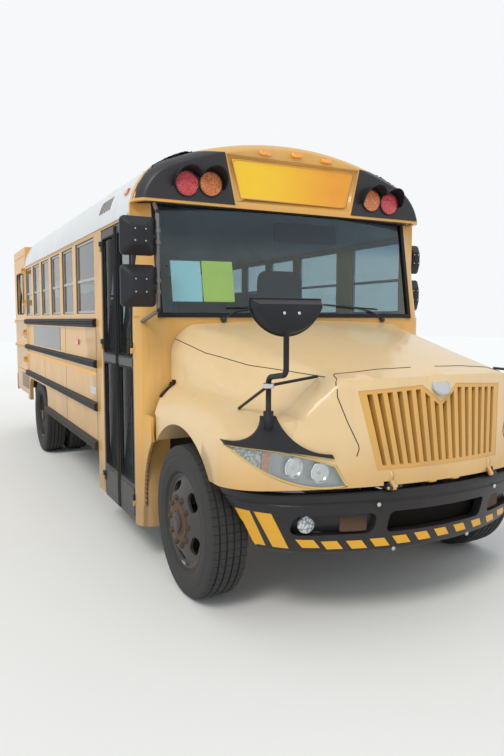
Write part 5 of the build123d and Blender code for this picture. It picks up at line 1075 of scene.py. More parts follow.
WHEEL_STEEL = Finish("wheel_steel", (0.008, 0.0075, 0.0075), 0.48, metallic=0.1, fade=0.4,
                     faded=(0.018, 0.015, 0.013), grime=0.4, grime_heights=(0.1, 0.9),
                     grime_colour=(0.060, 0.044, 0.032), chips=0.25, grain=0.12,
                     slot="wheel_steel")
TYRE = Finish("tyre_rubber", (0.004, 0.004, 0.004), 0.72, specular=0.18, fade=0.5, faded=(0.0085, 0.008, 0.0078),
              grime=0.10, grime_heights=(0.0, 0.7), grime_colour=(0.035, 0.030, 0.025), grain=0.25,
              slot="tyre_rubber")
CLEAR_LENS = Glass("clear_lens", (0.86, 0.89, 0.88), 0.03, dirt=0.12, clear=0.90, slot="lamp_clear")
PANE_TINT = Glass("pane_tint", (0.30, 0.36, 0.37), 0.0, slot="glass_tint")
PANE_CLEAR = Glass("pane_clear", (0.70, 0.88, 0.90), 0.0, slot="glass_clear")
# The screen's teal tint is partly the glass's own tint and partly a painted reflection of a blue-teal sky.
SCREEN = Glass("screen_glass", (0.70, 0.91, 0.97), 0.0, band=(0.26, 0.46, 0.62), band_heights=(2.12, 2.30),
               slot="glass_clear")
STOP_RED = Finish("stop_red", (0.42, 0.012, 0.012), 0.35, coat=0.2, grime=0.1, streaks=0.1, slot="stop_red")


@dataclass(frozen=True)
class Beaded(Finish):
    """Moulded lamp plastic with small round beads, darker between them."""

    deep: Colour = (0.2, 0.01, 0.01)
    beads: float = 110.0

    def cells(self, graph: Graph, vector: Socket) -> Socket:
        """Distance from the nearest bead's middle."""
        return graph.node("ShaderNodeTexVoronoi", {"Vector": vector, "Scale": self.beads}).outputs[0]

    def coloured(self, graph: Graph, vector: Socket) -> Socket:
        """Bright at each bead's middle and deep at its edge."""
        return graph.mix(graph.rise(self.cells(graph, vector), 0.2, 0.75), self.colour, self.deep)

    def height(self, graph: Graph, vector: Socket) -> Socket:
        """The beads' relief."""
        return graph.math("SUBTRACT", 1.0, self.cells(graph, vector))


@dataclass(frozen=True)
class LitAcross(Finish):
    """Paint whose colour is painted to turn into a second one across the body: painted light, lighter at the low x end
    and darker at the high one.
    """

    second: Colour = (0.75, 0.25, 0.02)
    ends: Flat = (-0.5, 0.5)

    def coloured(self, graph: Graph, vector: Socket) -> Socket:
        """The two colours mixed by the place across, which paints light across the face, with a soft mottle.

        Args:
            graph: the material's graph.
            vector: the coordinates.

        Returns:
            The colour.
        """
        share = graph.rise(graph.split(vector)[0], *self.ends)
        mottle = graph.math("MULTIPLY", graph.noise(vector, 9.0, 4.0), 0.25)
        return graph.mix(mottle, graph.mix(share, self.colour, self.second), tuple(1.1 * part for part in self.colour))


# Dark joints between panels, and the painted shade of the roof vents' slits.
SEAM_AND_SLIT_SHADE = Finish("seam_dark_and_slit_shade", (0.05, 0.03, 0.015), 0.8, grime=0.0, fade=0.3, faded=(0.10, 0.06, 0.03), grain=0.1)
BRIGHT = Finish("bright_steel", (0.62, 0.62, 0.60), 0.28, metallic=0.9, fade=0.3, faded=(0.40, 0.38, 0.35),
                grime=0.15, chips=0.05, grain=0.08)
TUBE_STEEL = Finish("tube_steel", (0.22, 0.22, 0.225), 0.35, metallic=0.8, fade=0.5, faded=(0.10, 0.095, 0.09),
                    grime=0.3, chips=0.1, grain=0.1)
CHROME = Finish("reflector_bright", (0.85, 0.86, 0.87), 0.08, metallic=1.0, fade=0.1, grime=0.0, grain=0.02)
BEZEL = Finish("bezel_yellow", (0.62, 0.45, 0.12), 0.35, coat=0.3, fade=0.3, grime=0.1, grain=0.04)
HOUSING = Finish("lamp_housing", (0.50, 0.52, 0.54), 0.30, metallic=0.6, fade=0.3, faded=(0.25, 0.27, 0.30),
                 grime=0.0, grain=0.1)
BULB = Finish("bulb_glass", (0.75, 0.80, 0.85), 0.1, coat=0.8, fade=0.1, grime=0.0, grain=0.02)
RUSTY = Finish("rust", (0.070, 0.030, 0.016), 0.85, fade=0.6, faded=(0.120, 0.058, 0.030), grime=0.2, chips=0.35,
               chip_colour=(0.05, 0.022, 0.012), grain=0.45, grain_scale=160.0, slot="wheel_steel")
NUT_STEEL = Finish("nut_steel", (0.080, 0.052, 0.037), 0.6, metallic=0.5, fade=0.6, faded=(0.13, 0.078, 0.048),
                   grime=0.3, chips=0.25, grain=0.25, slot="wheel_steel")
HUB_GREY = Finish("hub_grey", (0.033, 0.030, 0.028), 0.55, metallic=0.3, fade=0.5, faded=(0.07, 0.053, 0.041),
                  grime=0.4, chips=0.2, grain=0.2, slot="wheel_steel")
RIM_BROWN = Finish("rim_edge", (0.060, 0.040, 0.028), 0.65, metallic=0.2, fade=0.6, faded=(0.115, 0.075, 0.050),
                   grime=0.3, chips=0.3, grain=0.3, slot="wheel_steel")
RED_BEADED = Beaded("lens_red", (0.92, 0.055, 0.09), 0.22, coat=1.0, grime=0.0, grain=0.35,
                    deep=(0.42, 0.010, 0.020), slot="lamp_red")
AMBER_BEADED = Beaded("lens_amber", (0.95, 0.30, 0.04), 0.22, coat=1.0, grime=0.0, grain=0.35,
                      deep=(0.48, 0.09, 0.010), slot="lamp_amber")
# A lighter copy of the amber lens for the cap's top lamps: painted light where the sun falls on them.
AMBER_SUNLIT = Beaded("lens_amber_sunlit", (1.0, 0.52, 0.10), 0.22, coat=1.0, grime=0.0, grain=0.35,
                    deep=(0.90, 0.30, 0.03), slot="lamp_amber")
CLEAR_BEADED = Beaded("lens_clear", (0.72, 0.76, 0.78), 0.15, coat=1.0, grime=0.1, grain=0.4, beads=70.0,
                      deep=(0.22, 0.24, 0.26), slot="lamp_clear")
# The sign is painted lighter yellow at its -x end and darker orange at its +x end: painted light across the flat plate.
SIGN = LitAcross("sign_face", (0.92, 0.58, 0.015), 0.40, coat=0.3, grime=0.0, grain=0.03, second=(0.82, 0.30, 0.02),
              ends=(-0.35, 0.45), slot="yellow_paint")
CARD_BLUE = Finish("card_blue", (0.72, 0.92, 0.93), 0.75, grime=0.0, fade=0.2, faded=(0.80, 0.94, 0.95), grain=0.05)
CARD_LIME = Finish("card_lime", (0.90, 0.88, 0.12), 0.70, grime=0.0, fade=0.2, faded=(0.92, 0.90, 0.24), grain=0.05)
BADGE = Finish("badge_plain", (0.62, 0.63, 0.64), 0.25, metallic=0.7, fade=0.4, faded=(0.42, 0.44, 0.46), grime=0.1,
               grain=0.05)
MESH_DARK = Finish("grille_mesh", (0.007, 0.006, 0.005), 0.9, specular=0.1, grime=0.05, fade=0.1, grain=0.5,
                   grain_scale=260.0, slot="black_paint")
MARK_YELLOW = Finish("marking_yellow", (0.88, 0.43, 0.004), 0.45, coat=0.2, grime=0.08, fade=0.4,
                     faded=(0.80, 0.42, 0.03), chips=0.10, chip_colour=(0.03, 0.03, 0.035), grain=0.06)
BUMPER_BLACK = Finish("bumper_black", (0.0055, 0.0065, 0.0105), 0.40, coat=0.12, specular=0.3, fade=0.6,
                      faded=(0.013, 0.0145, 0.0195), grime=0.10, streaks=0.10, streak_colour=(0.04, 0.038, 0.036),
                      grain=0.12, slot="black_paint")
PANEL_GREEN = Finish("panel_green", (0.050, 0.064, 0.050), 0.30, coat=0.4, fade=0.4, faded=(0.09, 0.11, 0.09),
                     grime=0.15, grain=0.05, slot="black_paint")
STOP_WHITE = Finish("stop_white", (0.75, 0.75, 0.74), 0.4, coat=0.2, grime=0.1, fade=0.2, grain=0.03,
                    slot="white_paint")
MIRROR = Finish("mirror_glass", (0.80, 0.83, 0.85), 0.02, metallic=1.0, fade=0.1, grime=0.05, grain=0.0)


@dataclass
class Stage:
    """Floor, light and camera."""

    floor_size: float = 90.0
    floor_colour: Colour = (0.86, 0.86, 0.85)
    floor_mottle: float = 0.97          # factor on the floor's colour in its darker patches
    floor_patch: float = 0.6            # scale of those patches
    floor_roughness: float = 0.9
    sky: Colour = (0.93, 0.97, 1.0)
    sky_shown: Colour = (0.93, 0.94, 0.95)
    sky_strength: float = 0.80
    fade: Flat = (5.0, 24.0)
    far_colour: Colour = (0.905, 0.910, 0.915)
    sun_way: Point = (0.50, 0.42, -0.76)
    sun_spread: float = 0.35
    sun_strength: float = 1.25
    sun_colour: Colour = (1.0, 0.96, 0.88)
    camera_place: Point = (-2.48370, -6.54012, 1.67255)
    camera_yaw: float = 0.471302
    camera_pitch: float = -0.090868
    camera_roll: float = 0.000608
    lens: float = 30.593
    sensor: float = 36.0

    def floor(self) -> None:
        """A wide floor that shows pale to the camera, to gloss and through glass."""
        half = self.floor_size / 2
        mesh = bpy.data.meshes.new("floor")
        mesh.from_pydata([(-half, -half, 0), (half, -half, 0), (half, half, 0), (-half, half, 0)], [], [(0, 1, 2, 3)])
        made, graph, shader = fresh_material("floor_pale")
        tone = graph.mix(graph.noise(graph.place(), self.floor_patch), self.floor_colour,
                         tuple(self.floor_mottle * part for part in self.floor_colour))
        length = graph.node("ShaderNodeVectorMath", {0: graph.place()}, operation="LENGTH").outputs["Value"]
        tone = graph.mix(graph.rise(length, *self.fade), tone, self.far_colour)
        graph.tree.links.new(tone, shader.inputs["Base Color"])
        shader.inputs["Roughness"].default_value = self.floor_roughness
        mesh.materials.append(made)
        floor = bpy.data.objects.new("floor", mesh)
        bpy.context.collection.objects.link(floor)

    def world(self) -> None:
        """A soft sky: plain light on the object, white behind it."""
        world = bpy.data.worlds.new("studio")
        world.use_nodes = True
        bpy.context.scene.world = world
        graph = Graph(world.node_tree)
        shader = world.node_tree.nodes["Background"]
        seen = graph.node("ShaderNodeLightPath").outputs
        shown = graph.math("MAXIMUM", graph.math("MAXIMUM", seen["Is Camera Ray"], seen["Is Transmission Ray"]),
                           seen["Is Glossy Ray"])
        colour = graph.mix(shown, self.sky, self.sky_shown)
        graph.tree.links.new(colour, shader.inputs["Color"])
        strength = graph.math("MULTIPLY_ADD", shown, 1.0 - self.sky_strength)
        strength.node.inputs[2].default_value = self.sky_strength
        graph.tree.links.new(strength, shader.inputs["Strength"])

    def sun(self) -> None:
        """A wide soft sun whose light travels along sun_way."""
        data = bpy.data.lights.new("key", "SUN")
        data.angle, data.energy, data.color = self.sun_spread, self.sun_strength, self.sun_colour
        lamp = bpy.data.objects.new("key", data)
        lamp.rotation_euler = Vector(self.sun_way).to_track_quat("-Z", "Y").to_euler()
        bpy.context.collection.objects.link(lamp)

    def camera(self) -> None:
        """The camera at the photograph's viewing angle."""
        data = bpy.data.cameras.new("camera")
        data.lens, data.sensor_width, data.sensor_fit = self.lens, self.sensor, "AUTO"
        camera = bpy.data.objects.new("camera", data)
        camera.location = self.camera_place
        camera.rotation_mode = "XYZ"
        ahead = Vector((math.sin(self.camera_yaw) * math.cos(self.camera_pitch),
                           math.cos(self.camera_yaw) * math.cos(self.camera_pitch), math.sin(self.camera_pitch)))
        turn = ahead.to_track_quat("-Z", "Y").to_matrix()
        roll = Matrix.Rotation(self.camera_roll, 3, "Z")
        camera.rotation_euler = (turn @ roll).to_euler("XYZ")
        bpy.context.collection.objects.link(camera)
        bpy.context.scene.camera = camera

    def build(self) -> None:
        """Sets the whole stage."""
        self.floor()
        self.world()
        self.camera()
        self.sun()
        bpy.context.scene.view_settings.view_transform = "Standard"


@dataclass
class Carcass:
    """The CAD nodes that keep their own shape, grouped by finish in the order they are dressed."""

    coats: tuple[tuple[Coat, str], ...] = (
        (HOOD_YELLOW, "hood"), (YELLOW, "cowl front_cap"), (ROOF_WHITE, "roof"),
        (YELLOW, "front_pillars side_wall_left side_wall_right rear_wall lift_doorway lift_door rear_door"),
        (BLACK_PAINT, "entrance_leaf_front entrance_leaf_rear"), (YELLOW, "grille"), (RAIL_BLACK, "rub_rails"),
        (BLACK_PAINT, "rear_bumper"), (FRAME_BLACK, "chassis_frame driveline"), (ENGINE_GREY, "engine"),
        (TANK_STEEL, "fuel_tank"), (FRAME_BLACK, "front_axle rear_axle knuckle_left knuckle_right"),
        (FLOOR_RUBBER, "floor stepwell"), (DASH, "dashboard"), (PLASTIC, "seat_frames steering_wheel"),
        (RUBBER, "windscreen_frame"), (SCREEN, "windscreen"),
        (PANE_TINT, "side_glass rear_door_glass lift_door_glass"),
        (PANE_CLEAR, "entrance_glass_front entrance_glass_rear"), (SASH, "window_sashes"),
        (PLASTIC, "lamp_visors side_mirrors crossover_mirrors"), (STOP_RED, "stop_arm"), (YELLOW, "grab_rails"),
        (RUBBER, "mud_flaps"),
        (WHEEL_STEEL, "wheel_front_right wheel_front_left wheel_rear_right wheel_rear_left"))

    def build(self) -> None:
        """Dresses every node."""
        for coat, nodes in self.coats:
            for node in nodes.split():
                dressed(node, coat)


def signed_power(value: Array, exponent: float) -> Array:
    """A power that keeps the sign."""
    return np.sign(value) * np.abs(value) ** exponent


def bow(start: Flat, middle: Flat, end: Flat, steps: int) -> Array:
    """Flat points of the circle through three places.

    Its middle is where the places' perpendicular bisectors meet; the angle runs evenly from the first place past
    the second to the third.

    Args:
        start: the first place.
        middle: a place between.
        end: the last place.
        steps: number of points.

    Returns:
        (steps, 2) points.
    """
    a, b, c = (np.array(place, float) for place in (start, middle, end))
    centre = np.linalg.solve([b - a, c - b], [(b @ b - a @ a) / 2, (c @ c - b @ b) / 2])
    turns = np.unwrap([math.atan2(*(place - centre)[::-1]) for place in (a, b, c)])
    angle = np.linspace(turns[0], turns[2], steps)
    return centre + np.linalg.norm(a - centre) * np.stack([np.cos(angle), np.sin(angle)], 1)


def along(corners: list[Point], spacing: float) -> Array:
    """Places at even steps along straight runs: each coordinate interpolated over the length run so far.

    Args:
        corners: the runs' ends.
        spacing: the longest step.

    Returns:
        (n, 3) places.
    """
    corners = np.array(corners, float)
    run = np.concatenate([[0], np.cumsum(np.linalg.norm(np.diff(corners, axis=0), axis=1))])
    steps = np.linspace(0, run[-1], max(2, int(run[-1] / spacing) + 1))
    return np.stack([np.interp(steps, run, corners[:, k]) for k in range(3)], 1)


@dataclass
class Tyres:
    """Six tyres: grooved tread with shallow sipes, ringed walls and beads on the rims."""

    radius: float = 0.460
    bead: float = 0.095
    rim: float = 0.287
    crown: float = 0.0055
    tread_half: float = 0.101
    grooves: tuple[float, ...] = (0.064, 0.022, -0.022, -0.064)
    groove_half: float = 0.006
    groove_depth: float = 0.013
    sipes: int = 60
    sipe_angles: tuple[float, ...] = (0.0, 0.006, 0.010, 0.016)
    sipe_depth: float = 0.004
    wall: tuple[Point, ...] = ((0.100, 0.293), (0.109, 0.300), (0.1125, 0.302), (0.1135, 0.306), (0.1115, 0.310),
                               (0.118, 0.330), (0.1235, 0.350), (0.125, 0.362), (0.1245, 0.376), (0.1220, 0.394),
                               (0.1240, 0.396), (0.1240, 0.401), (0.1210, 0.404), (0.1175, 0.425), (0.1150, 0.437),
                               (0.1090, 0.4475), (0.1040, 0.4515))
    places: tuple[tuple[str, tuple[float, ...], float], ...] = (
        ("front_right", (-1.028,), -2.972), ("front_left", (1.028,), -2.972),
        ("rear_right", (-1.078, -0.786), 1.930), ("rear_left", (1.078, 0.786), 1.930))

    def section(self) -> tuple[Array, Array]:
        """The tyre's outline and which of its points a sipe lowers.

        Returns:
            (n, 2) reach across and radius, once round, and n factors of 0 or 1.
        """
        tread = [(self.tread_half, 1)]
        for groove in self.grooves:
            tread += [(groove + self.groove_half, 1), (groove + 0.6 * self.groove_half, 0),
                      (groove - 0.6 * self.groove_half, 0), (groove - self.groove_half, 1)]
        tread.append((-self.tread_half, 1))
        reach, high = np.array(tread, float).T
        radius = self.radius - self.crown * (reach / self.tread_half) ** 2 - (1 - high) * self.groove_depth
        wall = np.array([(self.bead, self.rim), *self.wall])
        points = np.concatenate([wall, np.stack([reach, radius], 1), wall[::-1] * [-1, 1]])
        lowered = np.zeros(len(points))
        lowered[len(wall):len(wall) + len(reach)] = high
        return points, lowered

    def ring(self, place: Point) -> Form:
        """One tyre about the crosswise axis through a place.

        Each angle's outline has its radius less the sipe's depth; y and z are the radius times the angle's cosine
        and sine.

        Args:
            place: the tyre's middle.

        Returns:
            The tyre.
        """
        points, lowered = self.section()
        start = np.arange(self.sipes)[:, None] / self.sipes * 2 * np.pi
        angle = (start + np.array(self.sipe_angles)).reshape(-1, 1)
        depth = np.tile([0, self.sipe_depth, self.sipe_depth, 0], self.sipes)[:, None]
        radius = points[:, 1] - depth * lowered
        grid = np.stack([np.broadcast_to(points[:, 0], radius.shape), radius * np.cos(angle),
                         radius * np.sin(angle)], -1)
        return woven(grid + np.array(place), round_rows=True, round_columns=True)

    def build(self) -> None:
        """Makes the four nodes' tyres."""
        for corner, middles, y in self.places:
            form = joined(*[self.ring((x, y, self.radius)) for x in middles])
            finished(f"tyres_{corner}", form, TYRE, f"wheel_{corner}", (f"tyre_{corner}",))


@dataclass
class Wheels:
    """Nuts, studs, rusty flange, cap bolts, rim edge and valve of each wheel."""

    circle: float = 0.1429
    nuts: int = 10
    nut: Flat = (0.0165, 0.016)         # radius and reach, as in the next three
    stud: Flat = (0.010, 0.021)
    washer: Flat = (0.021, 0.003)
    cap_bolt: Flat = (0.007, 0.006)
    cap_circle: float = 0.072
    cap_bolts: int = 8
    flange: Flat = (0.0895, 0.120)
    cap: float = 0.056
    edge: float = 0.281
    edge_radius: float = 0.0045
    valve: tuple[Point, ...] = ((0.055, 0.252, 0.020), (0.030, 0.244, 0.018), (0.012, 0.236, 0.016))
    valve_radius: float = 0.004
    weight: tuple[Point, Flat] = ((0.020, -0.006, -0.278), (0.050, -0.262))     # inner corner, outer y and z
    axle_z: float = 0.460
    axles: tuple[tuple, ...] = (        # name, y, then x of disc, rim, cap, cap bolts and balance weight
        ("front", -2.972, 1.156, 1.123, 1.1775, 1.162, 1.124), ("rear", 1.930, 0.946, 1.173, 1.173, 1.118, 1.173))

    def around(self, radius: float, count: int, x: float, y: float) -> Array:
        """Places on a circle about the axle."""
        ring = circle(radius, count)
        return np.stack([np.full(count, x), y + ring[:, 0], self.axle_z + ring[:, 1]], 1)

    def wheel(self, side: int, axle: str, y: float, disc: float, rim: float, cap: float, seat: float,
              weight: float) -> None:
        """Dresses one wheel.

        Args:
            side: -1 on the entrance side, 1 on the driver's.
            axle: front or rear.
            y: the axle's place.
            disc: x of the disc's face.
            rim: x of the rim's edge.
            cap: x of the hub cap's face.
            seat: x of the cap bolts' seat.
            weight: x of the balance weight's face.
        """
        label, facing = side_of(side)
        corner = f"{axle}_{label}"
        body = f"wheel_{corner}"
        places = self.around(self.circle, self.nuts, side * disc, y)
        radius, reach = self.stud
        studs = spun([(0, radius), (reach, radius * 0.9)], (0, 0, 0), facing, 8).repeated(places)
        radius, reach = self.washer
        washers = spun([(0, radius), (reach, radius)], (0, 0, 0), facing, 12).repeated(places)
        finished(f"nuts_{corner}", joined(bolts(places, facing, *self.nut), studs, washers), NUT_STEEL, body)
        low, high = self.flange
        ring = spun([(0, high), (0.005, high - 0.002), (0.006, high - 0.008), (0.005, low + 0.003), (0.007, low)],
                    (side * disc, y, self.axle_z), facing, 40)
        finished(f"flange_{corner}", ring, RUSTY, body)
        cap_bolts = bolts(self.around(self.cap_circle, self.cap_bolts, side * seat, y), facing, *self.cap_bolt)
        lid = spun([(-0.012, self.cap + 0.002), (-0.004, self.cap + 0.002), (-0.0005, self.cap - 0.004),
                    (-0.0005, 0.030), (-0.003, 0.027), (-0.003, 0.0)], (side * cap, y, self.axle_z), facing, 32)
        finished(f"hub_cap_{corner}", joined(cap_bolts, lid), HUB_GREY, body)
        edge = beading(circle(self.edge, 64), (side * (rim - 0.003), y, self.axle_z), facing, self.edge_radius)
        finished(f"rim_edge_{corner}", edge, RIM_BROWN, body)
        valve = tube([(side * (rim - inward), y + dy, self.axle_z + dz) for inward, dy, dz in self.valve],
                     self.valve_radius, 8, (0, 1, 0))
        (inward, low_y, low_z), (high_y, high_z) = self.weight
        lead = rounded_box((side * (rim - inward), y + low_y, self.axle_z + low_z),
                           (side * weight, y + high_y, self.axle_z + high_z))
        finished(f"valve_{corner}", joined(valve, lead), BRIGHT, body)

    def build(self) -> None:
        """Dresses the four wheels."""
        for axle in self.axles:
            for side in (-1, 1):
                self.wheel(side, *axle)


@dataclass
class WarningLamps:
    """Red outer and amber inner lamps, front and rear, each a ribbed dome in a black ring."""

    pair: tuple[Flat, ...] = ((0.858, 2.588), (0.683, 2.600))
    foot: tuple[Flat, ...] = ((0.0, 0.082), (0.009, 0.082))
    dome: float = 0.079
    reach: Flat = (0.013, 0.014)
    rib: float = 0.0011
    tip: float = 0.0265
    ring: tuple[Flat, ...] = ((0.0, 0.090), (0.010, 0.090), (0.0145, 0.087), (0.0145, 0.083), (0.010, 0.080),
                              (0.0, 0.080))
    sides: int = 40

    def build(self) -> None:
        """Makes the eight lamps and their rings."""
        lenses: dict[str, list[Form]] = {"red": [], "amber": []}
        rims = []
        for face_y, facing in ((LAMP_FACE_Y, Facing.FRONT), (REAR_Y, Facing.REAR)):
            for side in (-1, 1):
                for (x, z), colour in zip(self.pair, lenses):
                    centre = (side * x, face_y, z)
                    lenses[colour].append(ribbed(centre, facing, self.foot, self.dome, self.reach, self.rib, 24,
                                                 self.tip, self.sides))
                    rims.append(spun(self.ring, centre, facing, self.sides))
        finished("warning_lenses_red", joined(*lenses["red"]), RED_BEADED, replaces=("warning_lamps",), sharp=25)
        finished("warning_lenses_amber", joined(*lenses["amber"]), AMBER_BEADED, sharp=25)
        finished("warning_rings", joined(*rims), BLACK_PAINT)


@dataclass
class Cap:
    """Front cap: black lamp panels, the blank sign and its frame, and small lamps."""

    inner: tuple[Flat, ...] = ((2.474, 0.494), (2.830, 0.572))      # height and x of each panel's inner edge
    outer: tuple[Flat, ...] = ((2.474, 1.210), (2.503, 1.204), (2.570, 1.176), (2.640, 1.130), (2.705, 1.072),
                               (2.765, 0.975), (2.800, 0.905), (2.830, 0.825))
    panel_lift: float = 0.0025
    panel_thick: float = 0.004
    sign: tuple[Flat, ...] = ((-0.445, 2.528), (0.445, 2.528), (0.515, 2.792), (-0.515, 2.792))
    sign_sunk: float = 0.0135
    sign_thick: float = 0.002
    bar: float = 0.0045
    lens: Point = (1.013, -0.064, 2.529)        # x, back and z of the small lens at each panel's foot
    lens_profile: tuple[Flat, ...] = ((0, 0.014), (0.010, 0.013), (0.013, 0.008), (0.014, 0))

    def panels(self, skin: Skin) -> Form:
        """The two panels: each row runs evenly from the inner edge to the outer one at its height.

        Args:
            skin: the cap's surface.

        Returns:
            Both panels.
        """
        heights = np.linspace(self.inner[0][0], self.inner[-1][0], 60)
        inside = np.interp(heights, *np.array(self.inner).T)
        outside = np.interp(heights, *np.array(self.outer).T)
        share = np.linspace(0, 1, 64)
        x = -(inside[:, None] * (1 - share) + outside[:, None] * share)
        grid = np.stack([x, np.full_like(x, CORNER_Y), np.broadcast_to(heights[:, None], x.shape)], -1)
        return skin.decal(grid, Facing.FRONT, self.panel_lift, self.panel_thick).both_sides()

    def build(self) -> None:
        """Dresses the cap."""
        skin = Skin("front_cap")
        finished("lamp_panels", self.panels(skin), BLACK_PAINT)
        face_y = LAMP_FACE_Y + self.sign_sunk
        plate = slab(np.array(self.sign), self.sign_thick, (0, face_y - 0.002, 0), Facing.FRONT)
        finished("sign_plate", plate, SIGN)
        border = np.array([(x, face_y - 0.003, z) for x, z in self.sign])
        frame_bar = tube(along([*border, border[0]], 0.05)[:-1], self.bar, 8, (0, 1, 0), closed=True)
        finished("sign_frame", frame_bar, YELLOW)
        x, back, z = self.lens
        lenses = [spun(self.lens_profile, (side * x, at(back), z), Facing.FRONT, 16) for side in (-1, 1)]
        finished("panel_lenses", joined(*lenses), AMBER_BEADED)


@dataclass
class Windscreen:
    """Two blank cards behind the glass and the two parked wipers."""

    cards: tuple[tuple[str, float, float, float, float], ...] = (
        ("card_blue", -0.972, -0.764, 1.794, 2.072), ("card_lime", -0.755, -0.530, 1.794, 2.076))
    card_lift: float = -0.0085
    card_thick: float = 0.0008
    pivots: tuple[Flat, ...] = ((-0.630, 1.672), (0.752, 1.672))
    blades: tuple[tuple[Flat, Flat], ...] = (((-0.600, 1.752), (-0.060, 1.778)), ((0.705, 1.752), (0.185, 1.782)))
    blade_lift: float = 0.012
    blade_radius: float = 0.006
    carrier_lift: float = 0.022
    carrier_radius: float = 0.005
    arm_radius: float = 0.0065
    glass_foot: float = 1.730           # height at which an arm's foot finds the glass
    boss: tuple[Flat, ...] = ((0, 0.020), (0.018, 0.018), (0.022, 0.012), (0.022, 0))

    def build(self) -> None:
        """Makes the cards and the wipers."""
        skin = Skin("windscreen")
        for (name, left, right, low, high), coat in zip(self.cards, (CARD_BLUE, CARD_LIME)):
            grid = grid_between((left, low), (right, high), Facing.FRONT, 12, 10)
            finished(name, skin.decal(grid, Facing.FRONT, self.card_lift, self.card_thick), coat)
        arms, rubbers = [], []
        for (pivot_x, pivot_z), (start, end) in zip(self.pivots, self.blades):
            blade = along([(start[0], 0, start[1]), (end[0], 0, end[1])], 0.03)
            rubbers.append(tube(skin.laid(blade, Facing.FRONT, self.blade_lift), self.blade_radius, 8))
            fifth = len(blade) // 5
            carrier = skin.laid(blade[fifth:-fifth], Facing.FRONT, self.carrier_lift)
            arms.append(tube(carrier, self.carrier_radius, 8))
            base = skin.laid(np.array([(pivot_x, 0, self.glass_foot)]), Facing.FRONT, self.blade_lift)[0]
            foot = (pivot_x, base[1] - 0.004, pivot_z)
            middle = carrier[len(carrier) // 2]
            knee = (0.72 * pivot_x + 0.28 * middle[0], base[1] - 0.010, 0.5 * (pivot_z + middle[2]) + 0.012)
            arms.append(tube(runs([foot, knee, tuple(middle)], 0.05), self.arm_radius, 8))
            arms.append(spun(self.boss, foot, Facing.FRONT, 16))
        finished("wiper_arms", joined(*arms), BLACK_PAINT)
        finished("wiper_blades", joined(*rubbers), RUBBER)


@dataclass
class Nose:
    """Seams, badge, latches, tilt tabs and the dark mesh behind the grille."""

    split: tuple[Point, ...] = ((-0.970, -0.130, 1.389), (-0.905, -0.500, 1.375), (-0.800, -0.900, 1.365),
                                (-0.690, -1.200, 1.362), (-0.612, -1.420, 1.345))
    front_seam: tuple[Point, ...] = ((-0.088, 0, 1.409), (-0.300, 0, 1.404), (-0.563, 0, 1.384), (-0.611, 0, 1.341),
                                     (-0.615, 0, 1.280), (-0.570, 0, 1.150), (-0.514, 0, 1.018), (-0.532, 0, 0.973))
    badge: Point = (0.0, -3.899, 1.318)
    badge_radius: float = 0.060
    badge_rim: float = 0.009
    badge_lean: float = 38.0
    seam: float = 0.0028
    latch_place: Flat = (-0.185, 1.215)
    mesh_across: float = 0.49
    mesh_span: Flat = (0.905, 1.312)
    mesh_lift: float = -0.052
    opening: tuple[float, float, float, float] = (0.895, 0.41, 0.424, 0.081)    # foot, rise, half width, its growth
    loop: tuple[Point, ...] = ((0.105, -1.600, 0.800), (0.105, -1.672, 0.812), (0.060, -1.674, 0.812),
                               (0.060, -1.600, 0.800))                          # x, back and height
    loop_radius: float = 0.007

    def seams(self, skin: Skin) -> Form:
        """The split lines of the shell, as thin dark tubes half sunk in its surface, on both sides.

        Args:
            skin: the surface that it lies on.

        Returns:
            The tubes.
        """
        top = along([(x, at(back), z) for x, back, z in self.split], 0.02)
        front = along(list(self.front_seam), 0.02)
        return joined(tube(skin.laid(top, Facing.UP), self.seam, 6),
                      tube(skin.laid(front, Facing.FRONT), self.seam, 6, (0, 1, 0))).both_sides()

    def disc(self, skin: Skin) -> Form:
        """The plain badge: a low rimmed disc that leans back with the shell.

        Args:
            skin: the surface that it lies on.

        Returns:
            The badge.
        """
        y = skin.laid(np.array([self.badge]), Facing.FRONT, 0.006)[0, 1]
        centre = (self.badge[0], y, self.badge[2])
        rim, r = self.badge_rim, self.badge_radius
        profile = [(-0.012, r), (0.004, r), (0.008, r - 0.3 * rim), (0.008, r - 0.8 * rim), (0.0045, r - rim),
                   (0.0055, 0.5 * r), (0.0065, 0)]
        return spun(profile, centre, Facing.FRONT, 40).turned(-self.badge_lean, (1, 0, 0), centre)

    def latch(self, skin: Skin) -> Form:
        """A rubber strap latch at the shell's rear edge, the entrance side's.

        Args:
            skin: the surface that it lies on.

        Returns:
            The strap and its pull.
        """
        y, z = at(self.latch_place[0]), self.latch_place[1]
        strap = grid_between((y - 0.022, z - 0.055), (y + 0.022, z + 0.055), Facing.RIGHT, 8, 4)
        pull = grid_between((y - 0.030, z + 0.020), (y + 0.030, z + 0.040), Facing.RIGHT, 4, 5)
        return joined(skin.decal(strap, Facing.RIGHT, 0.012, 0.010), skin.decal(pull, Facing.RIGHT, 0.022, 0.012))

    def build(self) -> None:
        """Dresses the nose."""
        skin = Skin("hood")
        finished("nose_seams", self.seams(skin), SEAM_AND_SLIT_SHADE, "nose")
        finished("nose_badge", self.disc(skin), BADGE, "nose")
        finished("hood_latches", self.latch(skin).both_sides(), RUBBER, "nose")
        x, z = np.meshgrid(np.linspace(-self.mesh_across, self.mesh_across, 30), np.linspace(*self.mesh_span, 16))
        foot, rise, half, growth = self.opening
        x = x * (half + (z - foot) / rise * growth) / (half + growth)
        mesh = np.stack([x, np.zeros_like(x), z], -1)
        finished("grille_mesh", Skin("grille").decal(mesh, Facing.FRONT, self.mesh_lift, 0.002), MESH_DARK, "nose")
        loops = [tube(runs([(side * x, at(back), z) for x, back, z in self.loop], 0.012), self.loop_radius, 8)
                 for side in (-1, 1)]
        finished("tilt_loops", joined(*loops), YELLOW, "nose")


